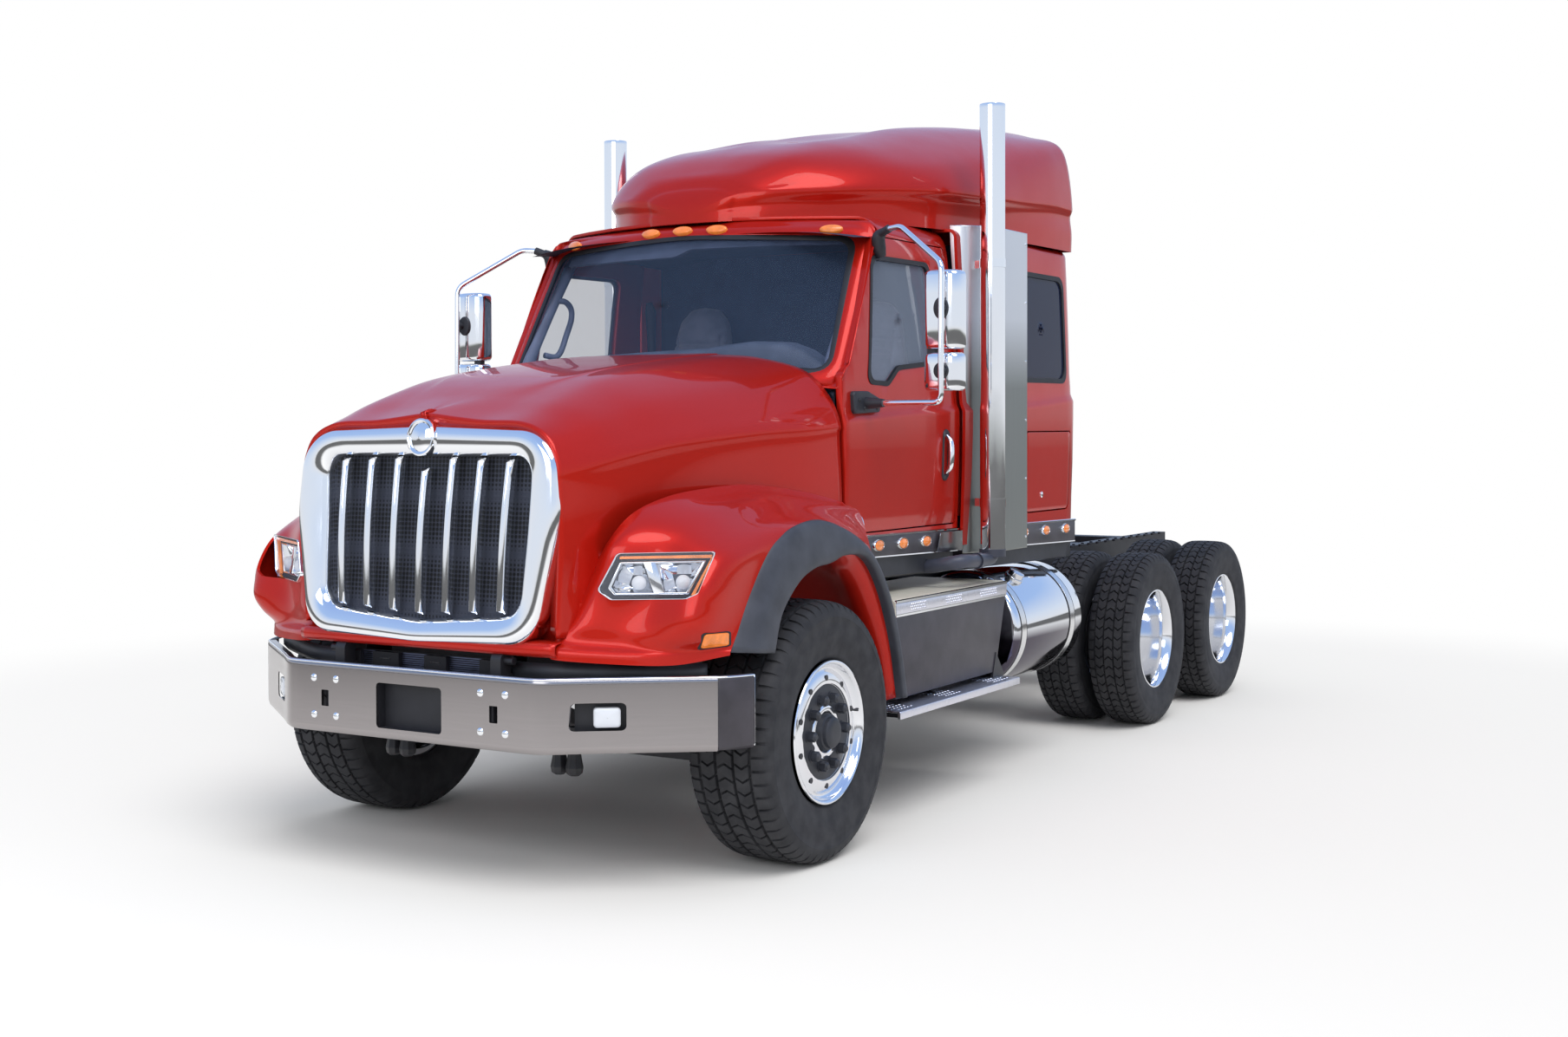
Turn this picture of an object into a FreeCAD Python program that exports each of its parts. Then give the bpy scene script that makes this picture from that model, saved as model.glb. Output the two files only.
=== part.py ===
import FreeCAD, Part
import math
import os

Vector = FreeCAD.Vector

# A three-axle conventional truck tractor with a short mid-roof sleeper.
# Millimetres, +Z up. The front faces -Y and the truck's left side is +X.
# The origin is on the floor, at the middle of the whole vehicle.

# Main lengths, measured from the front axle
bumper_ahead = 1160.0
frame_behind = 6700.0
axle_y = (bumper_ahead - frame_behind) / 2
first_drive_behind = 4185.0
tandem_spacing = 1320.0

# General clearances and cutting allowances
overrun = 20.0
seat_gap = 0.3
bearing_gap = 0.05
shut_gap = 12.0

# Frame
frame_half_width = 430.0
frame_top = 1012.0
rail_depth = 266.0
rail_flange = 89.0
rail_wall = 9.0
crossmember_length = 150.0
crossmember_share = 0.72
crossmember_shares = [0.03, 0.36, 0.51, 0.61, 0.735, 0.865, 0.98]
rail_front_ahead = 930.0
horn_width = 50.0
horn_bottom = 600.0
horn_top = 850.0
horn_rear_ahead = 800.0
hood_lug_r = 32.0
hood_pin_r = 15.0
hood_arm_wall = 30.0
hood_bar_ahead = 980.0
hood_bar_half = 650.0
hood_bar_size = 34.0
deck_hole_r = 9.0
deck_hole_pitch = 900.0
deck_hole_count = 2

# Front tyres, wheels and hubs
steer_tyre_r = 545.0
steer_tyre_width = 390.0
steer_lip_x = 1270.0
steer_rim_width = 360.0
rim_lip_r = 298.5
rim_lip_thick = 14.0
rim_barrel_r = 268.0
rim_wall = 12.0
steer_disc_depth = 85.0
disc_wall = 22.0
hand_hole_count = 10
hand_hole_r = 26.0
hand_hole_circle_r = 218.0
stud_count = 10
stud_circle_r = 167.5
stud_r = 16.0
stud_length = 34.0
hub_cap_r = 72.0
hub_cap_length = 92.0
spindle_r = 42.0
kingpin_x = 960.0
kingpin_r = 25.0
beam_boss_r = 52.0
beam_boss_height = 120.0
knuckle_lug_height = 38.0
knuckle_gap = 3.0
steer_drum_r = 215.0

# Rear tyres, wheels and axles
drive_tyre_r = 515.0
drive_tyre_width = 280.0
drive_lip_x = 1224.0
dual_spacing = 343.0
drive_rim_width = 230.0
axle_tube_r = 68.0
axle_spindle_r = 50.0
banjo_r = 225.0
banjo_length = 260.0
banjo_flat_share = 0.3
drive_drum_r = 210.0
drive_drum_length = 170.0
drive_hub_length = 56.0
drive_hub_r = 110.0
tyre_edge_shares = [
    (0.36, 0.0), (0.46, 0.16), (0.5, 0.42), (0.47, 0.72), (0.42, 0.9), (0.34, 0.985),
]
tyre_crown_share = 0.17

# Front axle beam and springs
beam_length_y = 92.0
beam_height = 100.0
beam_drop = 120.0
beam_drop_share = 0.72
spring_x = 360.0
spring_width = 90.0
spring_half_length = 720.0
spring_thick = 62.0
spring_eye_r = 38.0
drive_beam_width = 95.0
drive_beam_height = 110.0
air_bag_r = 120.0

# Bumper
bumper_top = 858.0
bumper_bottom = 570.0
bumper_sheet = 7.0
bumper_flange = 46.0
bumper_flat_half = 610.0
bumper_corner_x = 1215.0
bumper_corner_ahead = 705.0
bumper_end_x = 1270.0
bumper_end_ahead = 605.0
plate_half_width = 169.0
plate_bottom = 609.0
plate_top = 790.0
plate_depth = 30.0
valance_height = 22.0
tow_slot_x = 435.0
tow_slot_z = 712.0
tow_slot_width = 25.0
tow_slot_height = 62.0
fog_inner_x = 722.0
fog_outer_x = 978.0
fog_bottom = 652.0
fog_top = 762.0
fog_lamp_width = 118.0
fog_lamp_height = 70.0
fog_lamp_share = 0.62
fog_lamp_seat = 10.5
bumper_edge_r = 14.0

# Hood and fenders
hood_half_width = 1000.0
hood_front_ahead = 1030.0
hood_rear_behind = 620.0
hood_base = 950.0
hood_rise = 1200.0
hood_wall = 12.0
hood_skirt = 898.0
inset_side_shares = (2.0, 2.6)
inset_top_shares = (0.6, 2.4)
hood_length = hood_front_ahead + hood_rear_behind
hood_station_shares = [0.0, 0.25, 0.53, 0.8, 1.0]
hood_section_shares = [
    [(0.655, 0.0), (0.672, 0.333), (0.664, 0.575), (0.645, 0.628), (0.598, 0.69), (0.48, 0.732),
     (0.25, 0.742),
     (0.0, 0.762)],
    [(0.762, 0.0), (0.768, 0.358), (0.772, 0.637), (0.742, 0.688), (0.662, 0.772), (0.5, 0.843),
     (0.32, 0.857),
     (0.0, 0.863)],
    [(0.87, 0.0), (0.858, 0.43), (0.856, 0.683), (0.819, 0.739), (0.714, 0.838), (0.533, 0.913),
     (0.382, 0.929),
     (0.0, 0.934)],
    [(0.955, 0.0), (0.94, 0.469), (0.937, 0.706), (0.892, 0.775), (0.774, 0.879), (0.569, 0.953),
     (0.396, 0.968),
     (0.0, 0.974)],
    [(0.996, 0.0), (0.992, 0.49), (0.99, 0.715), (0.95, 0.804), (0.835, 0.917), (0.61, 0.975), (0.41, 0.991),
     (0.0, 0.997)],
]
fender_station_shares = [0.66, 0.85, 1.0, 1.12, 1.2, 1.24]
fender_section_shares = [
    [(-1.0, 0.92), (-1.03, 1.12), (-0.98, 1.36), (-0.8, 1.52), (-0.45, 1.6), (-0.05, 1.61), (0.3, 1.58),
     (0.62, 1.53)],
    [(-0.93, 0.91), (-0.95, 1.1), (-0.92, 1.31), (-0.79, 1.45), (-0.45, 1.55), (-0.05, 1.572), (0.3, 1.545),
     (0.62, 1.5)],
    [(-0.84, 0.9), (-0.86, 1.08), (-0.83, 1.26), (-0.72, 1.395), (-0.45, 1.5), (-0.1, 1.535), (0.25, 1.505),
     (0.62, 1.462)],
    [(-0.75, 0.91), (-0.765, 1.06), (-0.735, 1.17), (-0.62, 1.29), (-0.4, 1.395), (-0.1, 1.458),
     (0.2, 1.44), (0.62, 1.33)],
    [(-0.662, 0.935), (-0.655, 1.03), (-0.61, 1.12), (-0.52, 1.22), (-0.33, 1.36), (-0.06, 1.428),
     (0.2, 1.385), (0.6, 1.1)],
    [(-0.56, 0.935), (-0.55, 1.03), (-0.51, 1.12), (-0.43, 1.22), (-0.27, 1.36), (-0.05, 1.412),
     (0.18, 1.36), (0.58, 1.02)],
]
fender_inset_front_shares = [1.0, 1.0, 0.9, 0.5, 0.1, 0.0, 0.0, 0.0]
fender_inset_top_shares = [-2.0, 0.0, 0.5, 0.9, 1.0, 1.0, 1.0, 1.0]
flare_outer_shares = [
    (-0.668, 0.935), (-0.546, 1.156), (-0.43, 1.305), (-0.33, 1.362), (-0.2, 1.402), (-0.03, 1.415),
    (0.155, 1.378), (0.365, 1.292), (0.52, 1.15), (0.638, 0.929), (0.732, 0.61),
]
flare_inner_shares = [
    (-0.455, 0.92), (-0.405, 1.055), (-0.325, 1.14), (-0.223, 1.204), (-0.1, 1.242), (0.03, 1.252),
    (0.16, 1.238), (0.32, 1.158), (0.44, 1.035), (0.56, 0.822), (0.637, 0.576),
]
flare_inner_x = 1138.0
flare_outer_x = 1262.0
liner_wall = 12.0
liner_inner_x = 648.0
hood_pivot_ahead = 1075.0
hood_pivot_z = 905.0

# Grille
grille_ahead = 1116.0
grille_pivot_z = 1100.0
grille_lean = 4.6
grille_depth = 120.0
grille_round = 34.0
grille_corner_x = 585.0
grille_corner_rise = 22.0
grille_waist_x = 676.0
grille_waist_rise = 500.0
grille_top_x = 652.0
grille_top_drop = 12.0
grille_bottom_r = 150.0
grille_waist_r = 600.0
grille_top_r = 185.0
grille_middle_r = 900.0
grille_bottom = 948.0
grille_rise = 875.0
opening_half_top = 528.0
opening_half_bottom = 500.0
opening_top = 1690.0
opening_bottom = 1062.0
opening_corner_r = 75.0
bar_count = 7
bar_width = 34.0
bar_depth = 44.0
bar_round = 13.5
bar_reach = 412.0
bar_lean_share = 1.035
bar_recess = 16.0
mesh_wall = 6.0
mesh_recess = 78.0
radiator_half_width = 460.0
radiator_depth = 90.0
radiator_ahead = 890.0
radiator_bottom = 780.0
radiator_top = 1690.0

# Headlamps
lamp_inner_x = 780.0
lamp_outer_x = 1165.0
lamp_top = 1322.0
lamp_bottom = 1155.0
lamp_outer_ahead = 715.0
lamp_depth = 90.0
lamp_back_shift = 31.5
lamp_corner_r = 16.0
lamp_slant = 55.0

# Cab
cab_half_width = 1000.0
cab_lean_in = 60.0
cab_front_behind = 632.0
cab_rear_behind = 1850.0
cab_floor = 1200.0
cab_belt = 2050.0
cab_roof = 2800.0
cab_wall = 45.0
floor_wall = 40.0
cab_roof_r = 150.0
screen_base_behind = 500.0
screen_base_z = 2120.0
screen_top_behind = 845.0
screen_top_z = 2720.0
screen_bow = 193.0
screen_half_width = 900.0
screen_wall = 9.0
screen_trim_share = 0.2
screen_inset = 50.0
cowl_gap = 10.0

# Doors
door_front_behind = 641.0
door_rear_behind = 1830.0
door_bottom = 1318.0
door_top = 2700.0
door_top_front_behind = 1030.0
door_shoulder_z = 2085.0
door_shoulder_behind = 712.0
door_wall = 45.0
window_shares = [
    (0.256, 0.498), (0.39, 0.494), (0.483, 0.55), (0.781, 0.57), (0.807, 0.932), (0.346, 0.929),
]
glass_wall = 6.0
window_r = 30.0
hinge_play = 1.2
handle_behind = 1685.0
handle_bottom = 1540.0
handle_height = 248.0
handle_width = 60.0
handle_proud = 24.0
hinge_inset = 25.0
hinge_back = 19.0
hinge_r = 9.0
hinge_pin_r = 5.0
hinge_height = 56.0
door_hinge_z = [1420.0, 1880.0]

# Mirrors
mirror_tube_r = 13.0
mirror_outer_x = 1392.0
mirror_behind = 815.0
mirror_arm_top = cab_roof - 100.0
mirror_outer_top = 2540.0
mirror_arm_bottom = 1915.0
mirror_foot_behind = 860.0
mirror_head_half_x = 92.0
mirror_head_x = 1361.0
mirror_head_behind = 915.0
mirror_head_deep = 90.0
mirror_head_bottom = 2150.0
mirror_head_top = 2510.0
mirror_low_bottom = 1968.0
mirror_low_top = 2135.0

# Sleeper
sleeper_half_width = 1030.0
sleeper_rear_behind = 3405.0
sleeper_roof = cab_roof
sleeper_rear_r = 90.0
sleeper_base = 1200.0
side_window_front = 2600.0
side_window_rear = 3255.0
side_window_bottom = 2050.0
side_window_top = 2632.0
side_window_r = 70.0
hatch_front = 2650.0
hatch_rear = 3275.0
hatch_bottom = 1335.0
hatch_top = 1772.0
hatch_r = 45.0
hatch_gap = 15.0
hatch_pin_inset = 20.0
hatch_hinge_shares = [0.2, 0.8]

# Roof fairing
fairing_front_behind = 915.0
fairing_rear_behind = 3375.0
fairing_base = cab_roof
fairing_rise = 770.0
fairing_half_width = 1012.0
fairing_station_shares = [0.0, 0.035, 0.096, 0.197, 0.339, 0.522, 0.726, 0.888, 1.0]
fairing_section_shares = [
    [(0.237, 0.0), (0.247, 0.143), (0.232, 0.169), (0.198, 0.188), (0.148, 0.204), (0.079, 0.212),
     (0.0, 0.214)],
    [(0.425, 0.0), (0.445, 0.169), (0.415, 0.214), (0.356, 0.273), (0.277, 0.318), (0.148, 0.335),
     (0.0, 0.338)],
    [(0.593, 0.0), (0.623, 0.188), (0.573, 0.286), (0.484, 0.377), (0.375, 0.429), (0.198, 0.452),
     (0.0, 0.455)],
    [(0.761, 0.0), (0.791, 0.214), (0.731, 0.351), (0.593, 0.474), (0.415, 0.539), (0.217, 0.552),
     (0.0, 0.565)],
    [(0.889, 0.0), (0.934, 0.24), (0.86, 0.403), (0.652, 0.565), (0.445, 0.636), (0.247, 0.63), (0.0, 0.662)],
    [(0.944, 0.0), (0.993, 0.26), (0.919, 0.494), (0.692, 0.682), (0.445, 0.766), (0.247, 0.747),
     (0.0, 0.773)],
    [(0.973, 0.0), (1.0, 0.286), (0.939, 0.597), (0.711, 0.792), (0.445, 0.864), (0.247, 0.857),
     (0.0, 0.877)],
    [(0.988, 0.0), (1.0, 0.312), (0.944, 0.688), (0.721, 0.844), (0.445, 0.922), (0.247, 0.942),
     (0.0, 0.948)],
    [(0.988, 0.0), (0.993, 0.312), (0.934, 0.747), (0.721, 0.877), (0.445, 0.961), (0.247, 0.981),
     (0.0, 0.987)],
]

# Inside of the cab
seat_x = 520.0
seat_behind = 1500.0
seat_width = 500.0
seat_length = 500.0
seat_top = 1710.0
seat_cushion = 130.0
seat_pedestal_half = 170.0
seat_back_height = 640.0
seat_back_thick = 130.0
seat_recline = 8.0
headrest_height = 190.0
headrest_width = 280.0
dash_depth = 420.0
dash_top = 2060.0
dash_bottom = 1650.0
wheel_rim_r = 225.0
wheel_rim_tube_r = 16.0
wheel_spoke_r = 13.0
wheel_spoke_count = 3
wheel_hub_r = 75.0
wheel_tilt = 62.0
wheel_centre_behind = 1180.0
wheel_centre_z = 1985.0
column_r = 32.0

# Engine and drive line
engine_front_ahead = 600.0
engine_rear_behind = 600.0
engine_half_width = 330.0
engine_bottom = 700.0
engine_top = 1760.0
gearbox_half_width = 240.0
gearbox_rear_behind = 1750.0
gearbox_bottom = 600.0
gearbox_top = 1040.0
shaft_r = 55.0

# Sides: skirts, lamps, exhaust, tanks, steps
skirt_drop = 40.0
skirt_bottom = 1105.0
skirt_wall = 30.0
skirt_front_behind = 700.0
skirt_rear_behind = 3380.0
band_drop = 16.0
band_gap = 8.0
band_top = door_bottom - band_gap
band_bottom = band_top - 92.0
band_proud = 12.0
cab_band_front_behind = 705.0
cab_band_rear_behind = 1845.0
sleeper_band_front_behind = 2515.0
cab_lamp_behind = [952.0, 1203.0, 1457.0]
sleeper_lamp_behind = [2620.0, 2905.0, 3196.0]
cab_lamp_z = 1252.0
sleeper_lamp_z = 1232.0
lamp_half_length = 46.0
lamp_half_height = 24.0
lamp_proud = 16.0
roof_lamp_x = [-650.0, -190.0, 0.0, 190.0, 650.0]
roof_lamp_shares = (1.0, 0.9, 0.45)
roof_lamp_drop = 48.0
stack_x = 1153.0
stack_behind = 1916.0
stack_r = 63.5
stack_wall = 3.0
stack_top = 3415.0
stack_bottom = 1230.0
elbow_r = 110.0
elbow_pipe_r = 50.0
pipe_post_r = 20.0
cross_pipe_z = 1120.0
cross_pipe_behind = 1540.0
shield_bottom = 1160.0
shield_top = 2820.0
shield_wall = 4.0
shield_arm_shares = [0.25, 0.6]
stack_tie_shares = [0.2, 0.55, 0.9]
shield_inner_x = 1004.0
shield_inner_behind = 1868.0
shield_corner_x = 1112.0
shield_corner_behind = 2035.0
shield_rear_x = 1112.0
shield_rear_behind = 2490.0
tank_r = 318.0
tank_x = 890.0
tank_z = 745.0
tank_front_behind = 2150.0
tank_rear_behind = 3150.0
tank_round = 40.0
strap_width = 46.0
strap_thick = 6.0
strap_behind = [2330.0, 2970.0]
filler_r = 48.0
filler_height = 40.0
filler_angle = 38.0
box_outer_x = 1152.0
box_inner_x = 500.0
box_front_behind = 850.0
box_rear_behind = 2105.0
box_rear_low_behind = 1965.0
box_top = 1018.0
box_bottom = 560.0
tread_height = 82.0
tread_proud = 14.0
step_top = 535.0
step_thick = 42.0
step_outer_x = 1250.0
step_inner_x = 1020.0
step_front_behind = 690.0
step_rear_behind = 2040.0
bracket_wall = 10.0
bracket_width = 80.0
step_bracket_behind = [914.0, 1925.0]


# Small helpers

def station(behind):
    return axle_y + behind


def scaled(shares, width, height, base=0.0):
    return [(width * x, base + height * z) for x, z in shares]


def face_of(points):
    return Part.Face(Part.makePolygon(points + [points[0]]))


def rounded_face(points, radii):
    count = len(points)
    radii = radii if isinstance(radii, list) else [radii] * count
    starts = []
    ends = []
    edges = []
    for i, (corner, radius) in enumerate(zip(points, radii)):
        before = (points[i - 1] - corner).normalize()
        after = (points[(i + 1) % count] - corner).normalize()
        half = before.getAngle(after) / 2
        back = radius / math.tan(half)
        inward = (before + after).normalize()
        centre = corner + inward * (radius / math.sin(half))
        starts.append(corner + before * back)
        ends.append(corner + after * back)
        edges.append(Part.Arc(starts[i], centre - inward * radius, ends[i]).toShape())
    sides = [Part.makeLine(ends[i], starts[(i + 1) % count]) for i in range(count)]
    return Part.Face(Part.Wire([edge for couple in zip(edges, sides) for edge in couple]))


def plate(points, radius, direction):
    face = rounded_face(points, radius) if radius else face_of(points)
    return face.extrude(direction)


def prism_x(outline, x0, x1, radius=0.0):
    return plate([Vector(x0, y, z) for y, z in outline], radius, Vector(x1 - x0, 0, 0))


def prism_y(outline, y0, y1, radius=0.0):
    return plate([Vector(x, y0, z) for x, z in outline], radius, Vector(0, y1 - y0, 0))


def prism_z(outline, z0, z1, radius=0.0):
    return plate([Vector(x, y, z0) for x, y in outline], radius, Vector(0, 0, z1 - z0))


def block(x0, x1, y0, y1, z0, z1):
    return Part.makeBox(x1 - x0, y1 - y0, z1 - z0, Vector(x0, y0, z0))


def rod(start, end, radius):
    run = end - start
    return Part.makeCylinder(radius, run.Length, start, run)


def ring(start, end, outer, inner):
    return rod(start, end, outer).cut(rod(start, end, inner))


def mirrored(shape):
    return shape.mirror(Vector(0, 0, 0), Vector(1, 0, 0))


def both_sides(shapes):
    return shapes + [mirrored(shape) for shape in shapes]


def joined(shapes):
    whole = shapes[0].fuse(shapes[1:]) if len(shapes) > 1 else shapes[0]
    return whole.removeSplitter()


def spline(points):
    curve = Part.BSplineCurve()
    curve.interpolate(points)
    return curve.toShape()


def even_spline(points):
    curve = Part.BSplineCurve()
    curve.interpolate(Points=points, Parameters=[float(i) for i in range(len(points))])
    return curve.toShape()


def arch_section(points):
    return Part.Wire([spline(points), Part.makeLine(points[-1], points[0])])


def mirrored_section(half, y):
    left = [Vector(x, y, z) for x, z in half]
    right = [Vector(-x, y, z) for x, z in reversed(half[:-1])]
    return arch_section(left + right)


def even_section(half, y):
    left = [Vector(x, y, z) for x, z in half]
    right = [Vector(-x, y, z) for x, z in reversed(half[:-1])]
    points = left + right
    return Part.Wire([even_spline(points), Part.makeLine(points[-1], points[0])])


def spline_prism_x(outline, x0, x1):
    wire = arch_section([Vector(x0, y, z) for y, z in outline])
    return Part.Face(wire).extrude(Vector(x1 - x0, 0, 0))


def turned(profile):
    face = face_of([Vector(x, 0, r) for x, r in profile])
    return face.revolve(Vector(0, 0, 0), Vector(1, 0, 0), 360)


# Frame

def rail_horn():
    front = station(-bumper_ahead + bumper_sheet)
    inner = frame_half_width - horn_width
    horn = block(inner, frame_half_width, front, station(-horn_rear_ahead), horn_bottom, horn_top)
    lug = block(inner, frame_half_width, station(-hood_pivot_ahead) - hood_lug_r,
                station(-hood_pivot_ahead) + hood_lug_r, horn_top, hood_pivot_z)
    hub = rod(Vector(inner, station(-hood_pivot_ahead), hood_pivot_z),
              Vector(frame_half_width, station(-hood_pivot_ahead), hood_pivot_z), hood_lug_r)
    pin_end = frame_half_width + hood_arm_wall + shut_gap
    pin = rod(Vector(inner, station(-hood_pivot_ahead), hood_pivot_z),
              Vector(pin_end, station(-hood_pivot_ahead), hood_pivot_z), hood_pin_r)
    return joined([horn, lug, hub, pin])


def frame_rails():
    front = station(-rail_front_ahead)
    rear = station(frame_behind)
    inner = frame_half_width - rail_flange
    web = frame_half_width - rail_wall
    low = frame_top - rail_depth
    outline = [
        (inner, low), (frame_half_width, low), (frame_half_width, frame_top), (inner, frame_top),
        (inner, frame_top - rail_wall), (web, frame_top - rail_wall), (web, low + rail_wall),
        (inner, low + rail_wall),
    ]
    rail = joined([prism_y(outline, front, rear), rail_horn()])
    middle = station(first_drive_behind + tandem_spacing / 2 - deck_hole_pitch * (deck_hole_count - 1) / 2)
    for i in range(deck_hole_count):
        y = middle + i * deck_hole_pitch
        x = frame_half_width - rail_flange / 2
        rail = rail.cut(rod(Vector(x, y, frame_top - rail_wall - overrun), Vector(x, y, frame_top + overrun),
                            deck_hole_r))
    members = []
    depth = rail_depth * crossmember_share
    for share in crossmember_shares:
        y = front + share * (rear - front)
        z = frame_top - rail_depth / 2
        members.append(block(-web, web, y - crossmember_length / 2, y + crossmember_length / 2,
                             z - depth / 2, z + depth / 2))
    return joined([rail, mirrored(rail)] + members)


def front_suspension():
    low = frame_top - rail_depth
    beam_top = steer_tyre_r - beam_drop + beam_height / 2
    outer = [(-spring_half_length, low - spring_eye_r), (0.0, beam_top + spring_thick),
             (spring_half_length, low - spring_eye_r)]
    arcs = []
    for side in (1, -1):
        x = side * spring_x
        points = [Vector(x - spring_width / 2, station(y), z) for y, z in outer]
        lower = [point - Vector(0, 0, spring_thick) for point in points]
        top = Part.Arc(*points).toShape()
        bottom = Part.Arc(*lower).toShape()
        ends = [Part.makeLine(points[0], lower[0]), Part.makeLine(points[2], lower[2])]
        leaf = Part.Face(Part.Wire(Part.sortEdges([top, bottom] + ends)[0]))
        arcs.append(leaf.extrude(Vector(spring_width, 0, 0)))
        for end in (-spring_half_length, spring_half_length):
            arcs.append(block(x - spring_width / 2, x + spring_width / 2, station(end) - spring_eye_r,
                              station(end) + spring_eye_r, low - spring_eye_r - spring_thick, low))
    return arcs


def rear_suspension():
    shapes = []
    low = frame_top - rail_depth
    for i in range(2):
        y = station(first_drive_behind + i * tandem_spacing)
        top = drive_tyre_r + axle_tube_r
        beam = block(frame_half_width - drive_beam_width, frame_half_width, y - 2 * air_bag_r,
                     y + 2 * air_bag_r,
                     top, top + drive_beam_height)
        post = rod(Vector(frame_half_width - drive_beam_width / 2, y, top + drive_beam_height),
                   Vector(frame_half_width - drive_beam_width / 2, y, low), drive_beam_width / 2)
        shapes.append(joined([beam, post]))
    return both_sides(shapes)


def suspension():
    return Part.makeCompound(front_suspension() + rear_suspension())


# Axles and knuckles

def front_axle_beam():
    z = steer_tyre_r
    low = z - beam_drop
    half = beam_height / 2
    inner = kingpin_x * beam_drop_share
    knee = kingpin_x - 2 * beam_boss_r
    upper = [(-kingpin_x, z + half), (-knee, z + half), (-inner, low + half), (inner, low + half),
             (knee, z + half),
             (kingpin_x, z + half)]
    lower = [(kingpin_x, z - half), (knee, z - half), (inner, low - half), (-inner, low - half),
             (-knee, z - half),
             (-kingpin_x, z - half)]
    beam = prism_y(upper + lower, axle_y - beam_length_y / 2, axle_y + beam_length_y / 2)
    for side in (1, -1):
        foot = Vector(side * kingpin_x, axle_y, z - beam_boss_height / 2)
        head = Vector(side * kingpin_x, axle_y, z + beam_boss_height / 2)
        beam = beam.fuse(rod(foot, head, beam_boss_r))
        beam = beam.cut(rod(foot, head, kingpin_r + bearing_gap))
    return beam.removeSplitter()


def knuckle(side):
    z = steer_tyre_r
    x = kingpin_x
    shapes = []
    top = z + beam_boss_height / 2 + seat_gap
    low = z - beam_boss_height / 2 - seat_gap
    shapes.append(rod(Vector(x, axle_y, top), Vector(x, axle_y, top + knuckle_lug_height), beam_boss_r))
    shapes.append(rod(Vector(x, axle_y, low), Vector(x, axle_y, low - knuckle_lug_height), beam_boss_r))
    shapes.append(rod(Vector(x, axle_y, low), Vector(x, axle_y, top), kingpin_r))
    back = x + beam_boss_r + knuckle_gap
    plate_x = back + rim_wall
    shapes.append(rod(Vector(back, axle_y, z), Vector(plate_x, axle_y, z), steer_drum_r))
    for start, end in ((top, top + knuckle_lug_height), (low - knuckle_lug_height, low)):
        shapes.append(block(x, back, axle_y - beam_boss_r / 2, axle_y + beam_boss_r / 2, start, end))
    shapes.append(rod(Vector(plate_x, axle_y, z), Vector(steer_hub_face(), axle_y, z), spindle_r))
    shape = joined(shapes)
    return shape if side > 0 else mirrored(shape)


def steer_disc_x():
    return steer_lip_x - steer_disc_depth


def steer_hub_face():
    return steer_disc_x() + disc_wall


def rear_axles():
    shapes = []
    for i in range(2):
        y = station(first_drive_behind + i * tandem_spacing)
        z = drive_tyre_r
        end = drive_disc_x() + disc_wall
        drum_end = drive_disc_x() - disc_wall - drive_hub_length
        drum_start = drum_end - drive_drum_length
        half = [
            (banjo_length * banjo_flat_share, banjo_r), (banjo_length, axle_tube_r), (drum_start,
                                                                                      axle_tube_r),
            (drum_start, drive_drum_r), (drum_end, drive_drum_r), (drum_end, axle_spindle_r), (end,
                                                                                               axle_spindle_r),
            (end, 0.0),
        ]
        housing = turned([(-x, r) for x, r in reversed(half)] + half)
        housing.translate(Vector(0, y, z))
        nose = rod(Vector(0, y - banjo_r - axle_tube_r, z), Vector(0, y, z), axle_tube_r)
        shapes.append(joined([housing, nose]))
    return Part.makeCompound(shapes)


# Wheels

def tyre(centre_x, radius, width, rim_r):
    outer = [(-width * across, rim_r + (radius - rim_r) * up) for across, up in tyre_edge_shares]
    crown = [(-width * tyre_crown_share, radius), (width * tyre_crown_share, radius)]
    other = [(-x, r) for x, r in reversed(outer)]
    profile = [(centre_x + x, r) for x, r in outer + crown + other]
    return turned(profile)


def drive_disc_x():
    return drive_lip_x - drive_rim_width / 2 - dual_spacing / 2


def steer_rim(side):
    outer = steer_lip_x
    inner = steer_lip_x - steer_rim_width
    disc = steer_disc_x()
    seat = rim_lip_r - rim_lip_thick
    profile = [
        (inner, rim_barrel_r), (inner, rim_lip_r), (inner + rim_lip_thick, rim_lip_r),
        (inner + rim_lip_thick, seat), (outer - rim_lip_thick, seat), (outer - rim_lip_thick, rim_lip_r),
        (outer, rim_lip_r), (outer, rim_lip_r - rim_wall), (disc + disc_wall, rim_barrel_r),
        (disc + disc_wall, spindle_r + bearing_gap), (disc, spindle_r + bearing_gap), (disc, rim_barrel_r),
    ]
    wheel = turned(profile)
    for i in range(hand_hole_count):
        angle = 2 * math.pi * (i + 0.5) / hand_hole_count
        y = hand_hole_circle_r * math.cos(angle)
        z = hand_hole_circle_r * math.sin(angle)
        wheel = wheel.cut(rod(Vector(disc - overrun, y, z), Vector(disc + disc_wall + overrun, y, z),
                              hand_hole_r))
    extras = []
    face = disc + disc_wall
    for i in range(stud_count):
        angle = 2 * math.pi * i / stud_count
        y = stud_circle_r * math.cos(angle)
        z = stud_circle_r * math.sin(angle)
        extras.append(rod(Vector(face, y, z), Vector(face + stud_length, y, z), stud_r))
    extras.append(rod(Vector(face + seat_gap, 0, 0), Vector(face + hub_cap_length, 0, 0), hub_cap_r))
    collar = ring(Vector(face, 0, 0), Vector(face + seat_gap, 0, 0), hub_cap_r, spindle_r + bearing_gap)
    wheel = joined([wheel] + extras + [collar])
    wheel.translate(Vector(0, axle_y, steer_tyre_r))
    return wheel if side > 0 else mirrored(wheel)


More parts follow.
